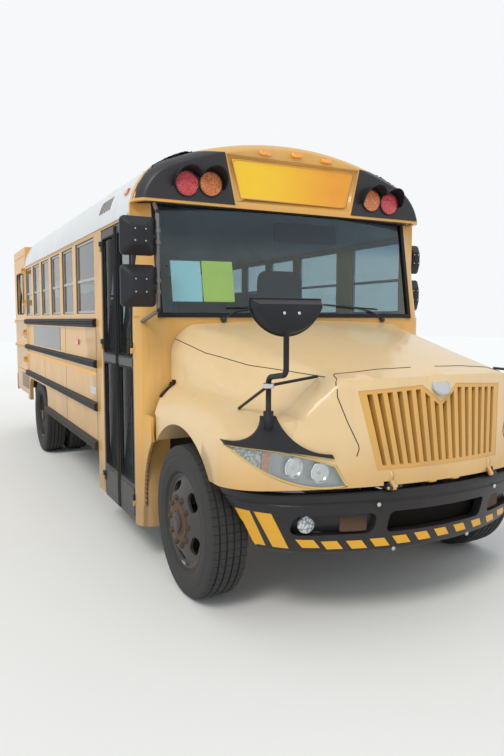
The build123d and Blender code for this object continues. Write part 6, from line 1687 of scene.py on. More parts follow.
@dataclass
class Headlamps:
    """Teardrop lamps: clear cover, bezel, bowls with bulbs, turn lamp and reflector."""

    tip: Flat = (1.136, 1.035)
    belly: Flat = (0.958, 0.886)
    toe: Flat = (0.592, 0.826)
    heel: Flat = (0.642, 0.928)
    brow: Flat = (0.880, 1.002)
    depth: float = 0.055
    bulbs: tuple[Point, ...] = ((0.720, 0, 0.896), (0.845, 0, 0.925))
    bowl_radius: float = 0.050
    bezel: float = 0.0062
    turn_lamp: tuple[float, ...] = (0.63, 0.70, 0.10, 0.90)         # shares of the length, then of the height
    reflector: tuple[float, ...] = (0.71, 0.95, 0.10, 0.90)

    def grid(self, rows: int, columns: int, start: float = 0.0, end: float = 1.0, low: float = 0.0,
             high: float = 1.0) -> Array:
        """Places over the outline: between the lower and the upper arc, from the heel end to the tip.

        Args:
            rows: steps from the lower arc to the upper.
            columns: steps along the lamp.
            start: share of the length where the grid starts.
            end: share where it ends.
            low: share of the height where it starts.
            high: share where it ends.

        Returns:
            (rows, columns, 3) places at y 0.
        """
        fine = 120
        lower = bow(self.toe, self.belly, self.tip, fine)
        upper = bow(self.heel, self.brow, self.tip, fine)
        share = np.linspace(start, end, columns)
        ends = [np.stack([np.interp(share, np.linspace(0, 1, fine), side[:, k]) for k in (0, 1)], 1)
                for side in (lower, upper)]
        height = np.linspace(low, high, rows)[:, None, None]
        flat = ends[0][None] * (1 - height) + ends[1][None] * height
        return np.stack([flat[..., 0], np.zeros(flat.shape[:2]), flat[..., 1]], -1)

    def bowl(self, centre: Point) -> Form:
        """A round reflector: its depth is one less the squared share of the radius, open to the front.

        Args:
            centre: its middle.

        Returns:
            The bowl.
        """
        radius = self.bowl_radius
        share = np.linspace(1, 0.12, 10)
        profile = [(-0.006, radius * 1.06), (0.004, radius * 1.06), (0.004, radius),
                   *[(-0.034 * (1 - part ** 2), radius * part) for part in share], (-0.034, 0.0)]
        return spun(profile, centre, Facing.FRONT, 32)

    def build(self) -> None:
        """Makes both lamps."""
        skin = Skin("headlamps")
        whole = self.grid(12, 40)
        cover = skin.decal(whole, Facing.FRONT, -0.0005, 0.003)
        finished("lamp_covers", cover.both_sides(), CLEAR_LENS, "nose", ("headlamps",))
        back = skin.decal(whole, Facing.FRONT, -self.depth, 0.002)
        outline = np.concatenate([bow(self.toe, self.belly, self.tip, 30),
                                  bow(self.heel, self.brow, self.tip, 30)[-2::-1]])
        rim = np.stack([outline[:, 0], np.zeros(len(outline)), outline[:, 1]], 1)
        front = skin.laid(rim, Facing.FRONT, -0.004)
        walls = np.stack([front, front + np.array([0, self.depth, 0])])
        inward = rim.mean(0) - rim
        inward /= np.linalg.norm(inward, axis=1, keepdims=True)
        lining = walls + 0.004 * inward
        shell = joined(woven(walls, round_columns=True), woven(lining[::-1], round_columns=True))
        finished("lamp_housings", joined(back, shell).both_sides(), HOUSING, "nose")
        bezel = tube(skin.laid(rim + 0.003 * inward, Facing.FRONT, -0.003), self.bezel, 8, (0, 1, 0), closed=True)
        finished("lamp_bezels", bezel.both_sides(), BEZEL, "nose")
        places = skin.laid(np.array(self.bulbs), Facing.FRONT, -0.016)
        bowls = joined(*[self.bowl(tuple(place)) for place in places])
        finished("lamp_bowls", bowls.both_sides(), CHROME, "nose")
        bulbs = [spun([(-0.030, 0.012), (-0.008, 0.011), (-0.002, 0.006), (0, 0)], tuple(place), Facing.FRONT, 16)
                 for place in places]
        finished("lamp_bulbs", joined(*bulbs).both_sides(), BULB, "nose")
        amber = skin.decal(self.grid(8, 8, *self.turn_lamp), Facing.FRONT, -0.012, 0.012)
        finished("turn_lenses", amber.both_sides(), AMBER_BEADED, "nose")
        clear = skin.decal(self.grid(8, 14, *self.reflector), Facing.FRONT, -0.010, 0.010)
        finished("corner_reflectors", clear.both_sides(), CLEAR_BEADED, "nose")


@dataclass
class SideMirrors:
    """Glass, screws and bright tubes of the two side mirrors."""

    reach: float = 1.391
    heads: tuple[Flat, ...] = ((2.190, 0.240), (1.882, 0.262))      # middle and height of each head
    sides: tuple[tuple[int, float, float, float], ...] = ((-1, 0.226, -0.300, -1.151), (1, 0.150, 0.175, 1.271))
    frame: float = 0.024
    glass_sunk: float = 0.0008
    screw_share: float = 0.15
    head_depth: float = 0.078
    tube_behind: float = 0.022
    tube_radius: float = 0.0128
    right_tube: tuple[Point, ...] = ((-1.180, -0.050, 1.655), (-1.151, -0.322, 1.728), (-1.151, -0.322, 2.350),
                                     (-1.085, -0.060, 2.440))       # x, back and height
    left_tube: Flat = (1.722, 2.356)
    left_stays: Flat = (1.735, 2.335)
    stay: Flat = (1.222, 0.038)

    def build(self) -> None:
        """Dresses both mirrors."""
        glasses, screws, clamps = [], [], []
        for side, width, back, tube_x in self.sides:
            middle, face_y = side * (self.reach - width / 2), at(back)
            for z, height in self.heads:
                outline = rounded(width - self.frame, height - self.frame, 0.022)
                glasses.append(slab(outline, 0.003, (middle, face_y - self.glass_sunk, z), Facing.REAR, 0.001))
                screws += [(middle + dx * width * self.screw_share, face_y - self.head_depth,
                            z + dz * height * self.screw_share) for dx in (-1, 1) for dz in (-1, 1)]
                clamps += [spun([(-0.012, 0.020), (0.012, 0.020)], (tube_x, face_y - self.tube_behind, z + dz),
                                Facing.UP, 16) for dz in (-0.035, 0.035)]
        finished("mirror_glass", joined(*glasses), MIRROR)
        finished("mirror_screws", bolts(np.array(screws), Facing.FRONT, 0.005, 0.003), BRIGHT)
        right = tube(runs([(x, at(back), z) for x, back, z in self.right_tube], 0.020), self.tube_radius, 12, (1, 0, 0))
        _, _, back, left_x = self.sides[1]
        left_y = at(back) - self.tube_behind
        stay_x, aside = self.stay
        left = joined(tube([(left_x, left_y, z) for z in self.left_tube], self.tube_radius, 12, (0, 1, 0)),
                      *[tube([(stay_x, left_y - aside, z), (left_x, left_y, z)], self.tube_radius, 12)
                        for z in self.left_stays])
        finished("mirror_tubes", joined(right, left, *clamps), TUBE_STEEL)


@dataclass
class Crossovers:
    """Rims, glass, screws and clamps of the fender mirrors."""

    x: float = 0.960
    y: float = at(-1.437)
    crank: float = 0.175
    z: float = 1.682
    half: float = 0.195
    height: float = 0.176
    shoulder: float = 0.040
    head_depth: float = 0.060
    screw: Flat = (0.040, 0.020)        # from the head's middle, across and up
    collar: tuple[Flat, ...] = ((-0.012, 0.026), (-0.010, 0.028), (0.010, 0.028), (0.012, 0.026))
    collar_z: float = 1.343
    rim: float = 0.0045

    def outline(self, inset: float) -> Array:
        """The head's outline: a flat top and two short sides over the arc of a circle.

        Args:
            inset: how far within the head's edge.

        Returns:
            (n, 2) corners.
        """
        half, top = self.half - inset, self.height / 2 - inset
        arc_points = bow((-half, self.shoulder), (0, -top), (half, self.shoulder), 28)
        return np.concatenate([arc_points, [(half, top), (-half, top)]])

    def build(self) -> None:
        """Dresses both heads."""
        rear = self.y - self.crank + 0.010
        glass = slab(self.outline(0.012), 0.004, (self.x, rear, self.z), Facing.REAR)
        finished("crossover_glass", glass.both_sides(), MIRROR, "nose")
        dx, dz = self.screw
        screws = np.array([(self.x + side * dx, rear - self.head_depth, self.z + dz) for side in (-1, 1)])
        collar = spun(self.collar, (self.x, self.y, self.collar_z), Facing.UP, 24)
        finished("crossover_bolts", joined(bolts(screws, Facing.FRONT, 0.008, 0.004), collar).both_sides(), BRIGHT,
                 "nose")
        rim = beading(self.outline(0.001), (self.x, rear - 0.004, self.z), Facing.FRONT, self.rim)
        finished("crossover_rims", rim.both_sides(), PLASTIC, "nose")


@dataclass
class FrontBumper:
    """The curved front bumper with its slots where the photograph has them, its stripes, bolts and fog lamps."""

    heights: tuple[float, ...] = (0.432, 0.438, 0.450, 0.520, 0.600, 0.680, 0.722, 0.727, 0.737, 0.742, 0.765, 0.780,
                                  0.788)
    insets: tuple[float, ...] = (0.018, 0.006, 0.0, 0.0, 0.0, 0.0, 0.0, 0.005, 0.005, 0.0, 0.0, 0.007, 0.020)
    plans: tuple[tuple[Flat, ...], ...] = (
        ((0.0, -1.604), (0.600, -1.482), (0.872, -1.290), (0.985, -0.960)),
        ((0.0, -1.700), (0.680, -1.580), (0.997, -1.396), (1.108, -1.040)))
    inset_ways: tuple[Flat, ...] = ((0.0, 1.0), (-0.3, 0.95), (-0.75, 0.65), (-1.0, 0.0))
    wall: float = 0.055
    axle: Point = (-2.972, 0.460, 0.556)
    air: Point = (0.335, 0.545, 0.668)
    fog: tuple[float, float, float, float] = (0.408, 0.828, 0.548, 0.668)
    short: tuple[Flat, ...] = ((-0.722, 0.497), (-0.603, 0.486), (-0.475, 0.484), (-0.350, 0.488),
                                              (-0.223, 0.493), (-0.089, 0.497), (0.044, 0.500), (0.190, 0.500),
                                              (0.345, 0.496), (0.500, 0.490), (0.640, 0.496), (0.770, 0.505))
    short_size: Point = (0.082, 0.025, -0.042)          # width, half height and lean
    short_start: float = 0.028
    long: tuple[Point, ...] = ((-1.040, -0.935, 0.042), (-0.985, -0.868, 0.062))    # upper x, lower x and width
    long_span: Flat = (0.462, 0.672)
    bolt_places: tuple[Flat, ...] = ((-0.415, 0.716), (0.415, 0.716), (-0.268, 0.440), (0.268, 0.440))
    lamp_z: float = 0.606
    lamp: tuple[Flat, ...] = ((0, 0.050), (0.010, 0.050), (0.016, 0.047), (0.022, 0.030), (0.024, 0))
    lamp_inset: float = 0.085
    blank_inset: float = 0.095
    blank: Point = (0.150, 0.098, 0.012)       # width, height and depth
    blank_turn: float = 18.0
    pocket_depth: float = 0.042
    mesh: tuple[Flat, Flat] = ((-0.40, 0.50), (0.40, 0.71))
    mesh_depth: float = 0.085
    bracket: tuple[Point, Point] = ((0.355, -1.560, 0.640), (0.415, -1.480, 0.770))

    def plan(self, share: float, inset: float, steps: int = 60) -> Array:
        """Half of the outline at a share of the height: an arc to the shoulder, then one round the bend.

        Args:
            share: 0 at the bottom, 1 at the top.
            inset: how far behind the outer face.
            steps: points on each arc.

        Returns:
            (2 * steps - 1, 2) x and back, from the middle to the end.
        """
        places = [tuple((1 - share) * a[k] + share * b[k] + inset * way[k] for k in (0, 1))
                  for a, b, way in zip(*self.plans, self.inset_ways)]
        first = bow((-places[1][0], places[1][1]), places[0], places[1], 2 * steps - 1)[steps - 1:]
        return np.concatenate([first, bow(*places[1:], steps)[1:]])

    def row(self, height: float, inset: float, columns: int = 121) -> Array:
        """Evenly spaced places across the bumper at one height, as far as the wheel's clearance circle.

        Args:
            height: its height.
            inset: how far behind the outer face.
            columns: number of places.

        Returns:
            (columns, 3) places.
        """
        share = (height - self.heights[0]) / (self.heights[-1] - self.heights[0])
        half = self.plan(share, inset)
        y, z, radius = self.axle
        end = y - CORNER_Y - math.sqrt(radius ** 2 - (height - z) ** 2)
        length = np.concatenate([[0], np.cumsum(np.linalg.norm(np.diff(half, axis=0), axis=1))])
        reach = np.linspace(-1, 1, columns) * np.interp(end, half[:, 1], length)
        x = np.sign(reach) * np.interp(np.abs(reach), length, half[:, 0])
        return np.stack([x, at(np.interp(np.abs(reach), length, half[:, 1])), np.full(columns, height)], 1)

    def face(self, x: Array, z: Array) -> Array:
        """Row y of the outer face: the top's and the bottom's outlines mixed by the height.

        Args:
            x: places across.
            z: their heights.

        Returns:
            Their rows, in the same shape.
        """
        share = (z - self.heights[0]) / (self.heights[-1] - self.heights[0])
        low, high = (np.interp(np.abs(x), *self.plan(end, 0.0).T) for end in (0.0, 1.0))
        return at(low * (1 - share) + high * share)

    def pocket(self, outline: Array, depth: float) -> Form:
        """A cutter from in front of the face to a depth behind it: rings of the outline drawn to its middle.

        Args:
            outline: (n, 2) x and height, round once.
            depth: how deep it cuts.

        Returns:
            The closed cutter.
        """
        middle = outline.mean(0)
        rings = middle + (outline - middle) * np.array([1.0, 0.6, 0.05])[:, None, None]
        y = self.face(rings[..., 0], rings[..., 1]) + depth
        rear = np.stack([rings[..., 0], y, rings[..., 1]], -1)
        front = rear[:1] * [1, 0, 1] + [0, at(-1.80), 0]
        return woven(np.concatenate([front, rear]), round_columns=True, capped=True)

    def shell(self) -> bpy.types.Mesh:
        """The bumper less its slots: each column runs up the outer face and down the inner one.

        Returns:
            The mesh that is left.
        """
        outer = np.stack([self.row(z, inset) for z, inset in zip(self.heights, self.insets)], 1)
        inner = np.stack([self.row(z, self.wall) for z in (self.heights[-1], 0.6, self.heights[0])], 1)
        body = woven(np.concatenate([outer, inner], 1), round_columns=True, capped=True)
        half, low, high = self.air
        air = self.pocket(rounded(2 * half, high - low, 0.030, 7) + [0, (low + high) / 2], 0.2)
        inside, outside, low, high = self.fog
        fog = self.pocket(rounded(outside - inside, high - low, 0.042, 7)
                          + [(inside + outside) / 2, (low + high) / 2], self.pocket_depth)
        return carved("front_bumper_shell", body, joined(air, fog.both_sides()))

    def stripe(self, skin: Skin, x: float, low: float, high: float, width: float, lean: float) -> Form:
        """A slanting band whose upper edge stands aside of its lower one by lean."""
        grid = grid_between((x, low), (x + width, high), Facing.FRONT, 12, 6, lean)
        return skin.decal(grid, Facing.FRONT, 0.0012, 0.002)

    def build(self) -> None:
        """Makes the bumper and dresses it."""
        piece = placed("front_bumper_shell", self.shell(), BUMPER_BLACK, "body", ("front_bumper",), 28)
        skin = Skin.of_mesh(piece.data)
        width, half, lean = self.short_size
        bands = [self.stripe(skin, x - self.short_start, z - half, z + half, width, lean) for x, z in self.short]
        finished("bumper_stripes", joined(*bands), MARK_YELLOW)
        ends = [self.stripe(skin, lower, *self.long_span, width, upper - lower) for upper, lower, width in self.long]
        finished("bumper_end_stripes", joined(*ends).both_sides(), MARK_YELLOW)
        heads = skin.laid(np.array([(x, 0, z) for x, z in self.bolt_places]), Facing.FRONT, 0.001)
        finished("bumper_bolts", bolts(heads, Facing.FRONT, 0.013, 0.008), BRIGHT)
        x = np.array([self.fog[1] - self.lamp_inset, self.fog[0] + self.blank_inset])
        y = self.face(x, np.full(2, self.lamp_z)) + 0.040
        finished("fog_lenses", spun(self.lamp, (x[0], y[0], self.lamp_z), Facing.FRONT, 32).both_sides(), CLEAR_BEADED)
        width, height, depth = self.blank
        plate = slab(rounded(width, height, 0.012), depth, (x[1], y[1] - 0.006, self.lamp_z), Facing.FRONT, 0.003)
        finished("fog_blanks", plate.turned(self.blank_turn, (0, 0, 1), (x[1], y[1], 0)).both_sides(), RUSTY)
        mesh = grid_between(*self.mesh, Facing.FRONT, 8, 30)
        mesh[..., 1] = self.face(mesh[..., 0], mesh[..., 2]) + self.mesh_depth
        finished("air_mesh", sheet(mesh, np.array([0, 0.002, 0])), MESH_DARK)
        low, high = ((x, at(back), z) for x, back, z in self.bracket)
        finished("bumper_brackets", rounded_box(low, high).both_sides(), FRAME_BLACK)


@dataclass
class Entrance:
    """Rubber edges, gaskets, kick plates and rails of the two entrance leaves."""

    face: float = -1.215
    leaves: tuple[tuple[str, float, float, int], ...] = (("entrance_front", -2.269, -1.862, 1),
                                                         ("entrance_rear", -1.856, -1.449, -1))
    panes: tuple[Flat, ...] = ((0.529, 1.335), (1.415, 2.289))
    stile: float = 0.046
    lap: float = 0.004
    gasket: float = 0.0065
    bulb: float = 0.009
    bulb_span: Flat = (0.272, 2.345)
    kick: Point = (0.050, 0.200, 0.395)         # less than the leaf in width, height, and middle
    rail: Point = (0.040, 0.052, 1.375)
    screw_rows: Flat = (-0.088, 0.088)

    def build(self) -> None:
        """Dresses both leaves."""
        for body, front, rear, meeting in self.leaves:
            middle, width = (front + rear) / 2, rear - front
            gaskets = []
            for low, high in self.panes:
                outline = rounded(width - 2 * self.stile + self.lap, high - low + self.lap, 0.022, 6)
                gaskets.append(beading(outline, (self.face - 0.001, middle, (low + high) / 2), Facing.RIGHT,
                                       self.gasket))
            edge_y = rear - 0.010 if meeting > 0 else front + 0.010
            bulb = tube(along([(self.face - 0.003, edge_y, z) for z in self.bulb_span], 0.4), self.bulb, 10, (0, 1, 0))
            finished(f"{body}_rubber", joined(*gaskets, bulb), RUBBER, body)
            less, height, kick_z = self.kick
            kick = slab(rounded(width - less, height, 0.010), 0.003, (self.face - 0.003, middle, kick_z),
                        Facing.RIGHT, 0.001)
            screws = [(self.face - 0.003, middle + dy, kick_z + dz) for dy in np.linspace(-0.16, 0.16, 5)
                      for dz in self.screw_rows]
            less, height, rail_z = self.rail
            rail = slab(rounded(width - less, height, 0.006), 0.004, (self.face - 0.004, middle, rail_z),
                        Facing.RIGHT, 0.001)
            finished(f"{body}_plates", joined(kick, rail, rivets(np.array(screws), Facing.RIGHT, 0.006)),
                     BLACK_PAINT, body)


@dataclass
class SideBody:
    """Stripes, panels, lamps, rivets, seams, gaskets and vents of both long sides."""

    wall: float = HALF
    glazing: float = 1.2065
    pitch: float = 0.643
    second: float = 1.939
    light: float = 0.523
    first_light: Flat = (1.090, 1.812)
    driver_light: Flat = (0.150, 0.850)
    sill: Flat = (1.722, 2.345)
    gasket: float = 0.005
    rivet_rows: tuple[float, ...] = (1.700, 1.585, 1.356, 1.246, 1.005, 0.884)
    rivet_start: float = 1.10
    rivet_step: float = 0.160
    rivet_ends: tuple[tuple[int, float], ...] = ((-1, 5.06), (1, 6.10))
    line_ends: tuple[tuple[int, float], ...] = ((-1, 5.085), (1, 6.14))
    line_start: float = 1.075
    line_span: Flat = (1.205, 1.238)
    plates: tuple[tuple[str, Coat, Flat, Flat, float], ...] = (     # name, finish, stations, heights and depth
        ("name_panel", PANEL_GREEN, (2.634, 4.435), (1.352, 1.590), 0.003),
        ("side_marker", RED_BEADED, (1.715, 1.861), (1.443, 1.490), 0.012),
        ("step_plate", BADGE, (1.105, 1.310), (1.040, 1.110), 0.002))
    side_lamp: tuple[Flat, Flat, float] = ((5.145, 5.245), (1.085, 1.150), 0.016)
    battery_door: tuple[Flat, Flat, float] = ((1.400, 2.250), (0.680, 0.880), 0.004)
    filler_place: Flat = (2.60, 0.778)
    filler: tuple[Flat, ...] = ((0, 0.075), (0.006, 0.073), (0.008, 0.060), (0.004, 0.052), (0.010, 0.030), (0.012, 0))
    post: float = 1.846
    seam_places: tuple[float, ...] = (1.075, 2.360, 3.646, 4.932)
    seam_spans: tuple[Flat, ...] = ((1.342, 1.600), (0.990, 1.260), (0.670, 0.898))
    arch: Point = (3.5, 4.95, 0.8)         # ends and height of the wheel's opening, no seam there
    vent: Point = (4.990, 5.620, 0.018)

    def panel(self, name: str, coat: Coat, y: tuple[float, float], z: tuple[float, float], depth: float = 0.003,
              side: int = -1, body: str = "body") -> None:
        """A thin plate on a wall, on the entrance side unless side is 1.

        Args:
            name: the piece's name.
            coat: its finish.
            y: its front and rear stations.
            z: its lower and upper edges.
            depth: how far it stands proud.
            side: -1 or 1.
            body: the body that it moves with.
        """
        outline = rounded(y[1] - y[0], z[1] - z[0], min(0.012, (z[1] - z[0]) / 3))
        place = (side * (self.wall + depth), at((y[0] + y[1]) / 2), (z[0] + z[1]) / 2)
        finished(name, slab(outline, depth, place, side_of(side)[1], depth / 3), coat, body)

    def rivet_lines(self) -> Form:
        """Rows along the rails and up the window posts, on both sides.

        Returns:
            The heads.
        """
        forms = []
        for side, end in self.rivet_ends:
            x = side * self.wall
            rows = [(x, at(y), z) for z in self.rivet_rows for y in np.arange(self.rivet_start, end, self.rivet_step)]
            posts = [(x, at(post + dy), z) for post in np.arange(self.post, end - 0.2, self.pitch)
                     for dy in (-0.014, 0.014) for z in np.arange(1.75, 2.34, 0.12)]
            forms.append(rivets(np.array(rows + posts), side_of(side)[1]))
        return joined(*forms)

    def seams(self) -> Form:
        """Upright joints of the wall's panels between the rails.

        Returns:
            The joints of both sides.
        """
        forms = []
        start, end, top = self.arch
        for y in self.seam_places:
            for low, high in self.seam_spans:
                if not (start < y < end and low < top):
                    forms.append(rounded_box((-self.wall - 0.0012, at(y) - 0.002, low),
                                             (-self.wall + 0.002, at(y) + 0.002, high)))
        return joined(*forms).both_sides()

    def gaskets(self) -> Form:
        """Rubber round each window: tubes along rounded rectangles.

        Returns:
            The rubbers of both sides.
        """
        low, high = self.sill
        forms = []
        for side, count in ((-1, 5), (1, 6)):
            row = [(self.second + k * self.pitch, self.second + k * self.pitch + self.light) for k in range(count)]
            for front, rear in [self.first_light, *row] + ([self.driver_light] if side > 0 else []):
                outline = rounded(rear - front, high - low, 0.012, 4)
                middle = (side * self.glazing, at((front + rear) / 2), (low + high) / 2)
                forms.append(beading(outline, middle, side_of(side)[1], self.gasket))
        return joined(*forms)

    def build(self) -> None:
        """Dresses both sides."""
        finished("wall_rivets", self.rivet_lines(), YELLOW)
        finished("wall_seams", self.seams(), SEAM_AND_SLIT_SHADE)
        finished("window_gaskets", self.gaskets(), RUBBER)
        for side, end in self.line_ends:
            label, _ = side_of(side)
            self.panel(f"reflective_line_{label}", MARK_YELLOW, (self.line_start, end), self.line_span, 0.0015, side)
            for name, coat, stations, heights, depth in self.plates:
                self.panel(f"{name}_{label}", coat, stations, heights, depth, side)
        self.panel("side_lamp_right", AMBER_BEADED, *self.side_lamp, body="lift_door")
        self.panel("side_lamp_left", AMBER_BEADED, *self.side_lamp, 1)
        self.panel("battery_door", YELLOW, *self.battery_door, 1)
        back, z = self.filler_place
        cover = spun(self.filler, (self.wall, at(back), z), Facing.LEFT, 32)
        finished("filler_cover", cover, YELLOW)
        front, rear, slot = self.vent
        vents = [rounded_box((-self.wall - 0.004, at(front), z), (-self.wall, at(rear), z + slot))
                 for z in np.arange(0.720, 0.890, 0.034)]
        finished("side_vents", joined(*vents), BLACK_PAINT)


@dataclass
class Roof:
    """Joint bands, rivets, vents drawn as dark strips of painted shade, and the side lamps of the roof."""

    joints: tuple[float, ...] = (0.10, 1.03, 1.96, 2.89, 3.82, 4.75, 5.68)
    half: float = 1.14
    band: Point = (0.030, 0.002, 0.004)         # width, lift and thickness
    rivet_rows: Flat = (-0.008, 0.008)
    rivet_reach: Flat = (0.26, 1.10)
    rivet: float = 0.006
    vents: int = 7
    vent_start: float = 0.60
    vent_step: float = 0.05
    vent_width: float = 0.028
    vent_span: Flat = (2.490, 2.590)
    marker_span: Flat = (2.535, 2.570)
    markers: tuple[tuple[str, float, float, Coat], ...] = (("roof_markers", 0.150, 0.235, AMBER_BEADED),
                                                           ("roof_markers_rear", 5.90, 5.985, RED_BEADED))
    marker_reach: float = 0.016

    def side_grid(self, front: float, rear: float, span: Flat, rows: int, columns: int) -> Array:
        """Grid of places on the entrance side between two stations and two heights."""
        return grid_between((at(front), span[0]), (at(rear), span[1]), Facing.RIGHT, rows, columns)

    def build(self) -> None:
        """Dresses the roof."""
        skin = Skin("roof")
        x = np.linspace(-self.half, self.half, 61)
        reach = np.linspace(*self.rivet_reach, 14)
        both = np.concatenate([-reach, reach])
        bands, heads = [], []
        for back in self.joints:
            path = np.stack([x, np.full(61, at(back)), np.zeros(61)], 1)
            bands.append(skin.strip(path, Facing.UP, *self.band))
            for dy in self.rivet_rows:
                row = np.stack([both, np.full(28, at(back) + dy), np.zeros(28)], 1)
                heads.append(rivets(skin.laid(row, Facing.UP, 0.0018), Facing.UP, self.rivet))
        finished("roof_bands", joined(*bands), ROOF_WHITE)
        finished("roof_rivets", joined(*heads), ROOF_WHITE)
        # The vents' slits are dark strips laid on the roof's side: painted shade where the openings are.
        fronts = [self.vent_start + self.vent_step * k for k in range(self.vents)]
        slits = [skin.decal(self.side_grid(front, front + self.vent_width, self.vent_span, 6, 3), Facing.RIGHT,
                            0.0012, 0.002) for front in fronts]
        finished("roof_vent_shade", joined(*slits).both_sides(), SEAM_AND_SLIT_SHADE)
        for name, front, rear, coat in self.markers:
            lamp = skin.decal(self.side_grid(front, rear, self.marker_span, 5, 6), Facing.RIGHT, self.marker_reach,
                              self.marker_reach)
            finished(name, lamp.both_sides(), coat)


@dataclass
class CapAndTailLamps:
    """Small identification lamps at both ends and the tail lamps."""

    small: tuple[Flat, ...] = ((-0.259, 2.853), (0.0, 2.866), (0.259, 2.853))
    size: Point = (0.092, 0.030, 0.024)
    tail: tuple[tuple[str, float, float, float, Coat], ...] = (     # name, x, z, radius and finish
        ("brake", 0.930, 1.560, 0.089, RED_BEADED), ("turn", 0.930, 1.350, 0.089, AMBER_BEADED),
        ("reverse", 0.930, 1.190, 0.050, CLEAR_BEADED))
    reach: Flat = (0.012, 0.015)
    rib: float = 0.001
    tip: float = 0.026
    sides: int = 36

    def build(self) -> None:
        """Makes the lamps of the marker node and the tail lamps."""
        width, height, depth = self.size
        # The front identity lamps take the lighter amber copy: painted light of the sun on the cap's top.
        for name, y, facing, coat in (("identity_lamps_front", LAMP_FACE_Y, Facing.FRONT, AMBER_SUNLIT),
                                      ("identity_lamps_rear", REAR_Y, Facing.REAR, RED_BEADED)):
            reach = -depth if facing is Facing.FRONT else depth
            lamps = [slab(rounded(width, height, 0.013, 6), depth, (x, y + reach, z), facing, 0.006)
                     for x, z in self.small]
            finished(name, joined(*lamps), coat, replaces=("marker_lamps",))
        for name, x, z, radius, coat in self.tail:
            centre = (x, REAR_Y, z)
            lens = ribbed(centre, Facing.REAR, [(0.0, radius - 0.006)], radius - 0.009, self.reach, self.rib, 16,
                          self.tip, self.sides)
            ring = spun([(0.0, radius), (0.010, radius), (0.014, radius - 0.004), (-0.004, radius - 0.010)],
                        centre, Facing.REAR, self.sides)
            finished(f"{name}_lamps", lens.both_sides(), coat, sharp=25)
            finished(f"{name}_lamp_rings", ring.both_sides(), RUBBER)


@dataclass
class Rear:
    """Handle, gaskets, tape, plate and tread of the rear end and the lift door."""

    corner: float = 0.040
    gasket_radius: float = 0.008
    door_panes: tuple[tuple[Flat, Flat], ...] = (((-0.312, 1.232), (0.312, 1.616)), ((-0.312, 1.752), (0.312, 2.232)))
    light: tuple[Flat, Flat] = ((0.558, 1.738), (1.052, 2.262))
    lever: tuple[Point, ...] = ((0.300, -0.002, 1.680), (0.300, 0.016, 1.680), (0.170, 0.016, 1.672),
                                (0.150, 0.014, 1.672))          # x, y behind the wall, and height
    tapes: Flat = (-0.396, 0.376)
    tape_width: float = 0.020
    tape_span: Flat = (1.02, 2.28)
    plate: Point = (-0.700, 0.003, 1.060)
    tread: tuple[Point, Point] = ((0.0, 0.010, 0.846), (0.012, 0.070, 0.852))
    lift_pane: tuple[Flat, Flat] = ((5.274, 1.748), (5.924, 2.323))
    lift_face: float = 1.219
    pull: tuple[Flat, ...] = ((-1.218, 1.540), (-1.236, 1.540), (-1.236, 1.420), (-1.218, 1.420))
    pull_back: float = 5.170

    def gasket(self, low: Flat, high: Flat, depth: float, facing: Facing) -> Form:
        """Rubber round one pane.

        Args:
            low: the pane's lower corner on the face's axes.
            high: its upper corner.
            depth: its place along the face's normal.
            facing: the way it looks.

        Returns:
            The rubber.
        """
        across, upward, normal = facing.axes
        middle = (low[0] + high[0]) / 2 * across + (low[1] + high[1]) / 2 * upward + depth * normal
        outline = rounded(high[0] - low[0], high[1] - low[1], self.corner, 6)
        return beading(outline, middle, facing, self.gasket_radius)

    def build(self) -> None:
        """Dresses the rear."""
        panes = [self.gasket(low, high, REAR_Y - 0.001, Facing.REAR) for low, high in self.door_panes]
        finished("rear_door_gaskets", joined(*panes), RUBBER, "rear_door")
        finished("rear_light_gaskets", self.gasket(*self.light, REAR_Y - 0.001, Facing.REAR).both_sides(), RUBBER)
        lever = tube(runs([(x, REAR_Y + dy, z) for x, dy, z in self.lever], 0.010), 0.007, 10, (0, 0, 1))
        boss = slab(rounded(0.060, 0.110, 0.012), 0.006, (0.300, REAR_Y + 0.006, 1.680), Facing.REAR, 0.002)
        finished("rear_door_handle", joined(lever, boss), BRIGHT, "rear_door")
        low, high = self.tape_span
        tape = [rounded_box((x, REAR_Y, low), (x + self.tape_width, REAR_Y + 0.0012, high)) for x in self.tapes]
        finished("rear_door_tape", joined(*tape), MARK_YELLOW, "rear_door")
        x, proud, z = self.plate
        plate = slab(rounded(0.300, 0.150, 0.008), 0.003, (x, REAR_Y + proud, z), Facing.REAR, 0.001)
        finished("rear_plate", plate, BADGE)
        low, high = (np.array(end) + [0, REAR_Y, 0] for end in self.tread)
        ribs = [rounded_box(low + [x, 0, 0], high + [x, 0, 0]) for x in np.arange(-1.00, 1.0, 0.05)]
        finished("rear_bumper_tread", joined(*ribs), RUBBER)
        (front, low), (rear, high) = self.lift_pane
        pane = self.gasket((at(front), low), (at(rear), high), self.lift_face, Facing.RIGHT)
        finished("lift_door_gasket", pane, RUBBER, "lift_door")
        pull = tube(runs([(x, at(self.pull_back), z) for x, z in self.pull], 0.010), 0.006, 10, (0, 1, 0))
        finished("lift_door_handle", pull, BRIGHT, "lift_door")


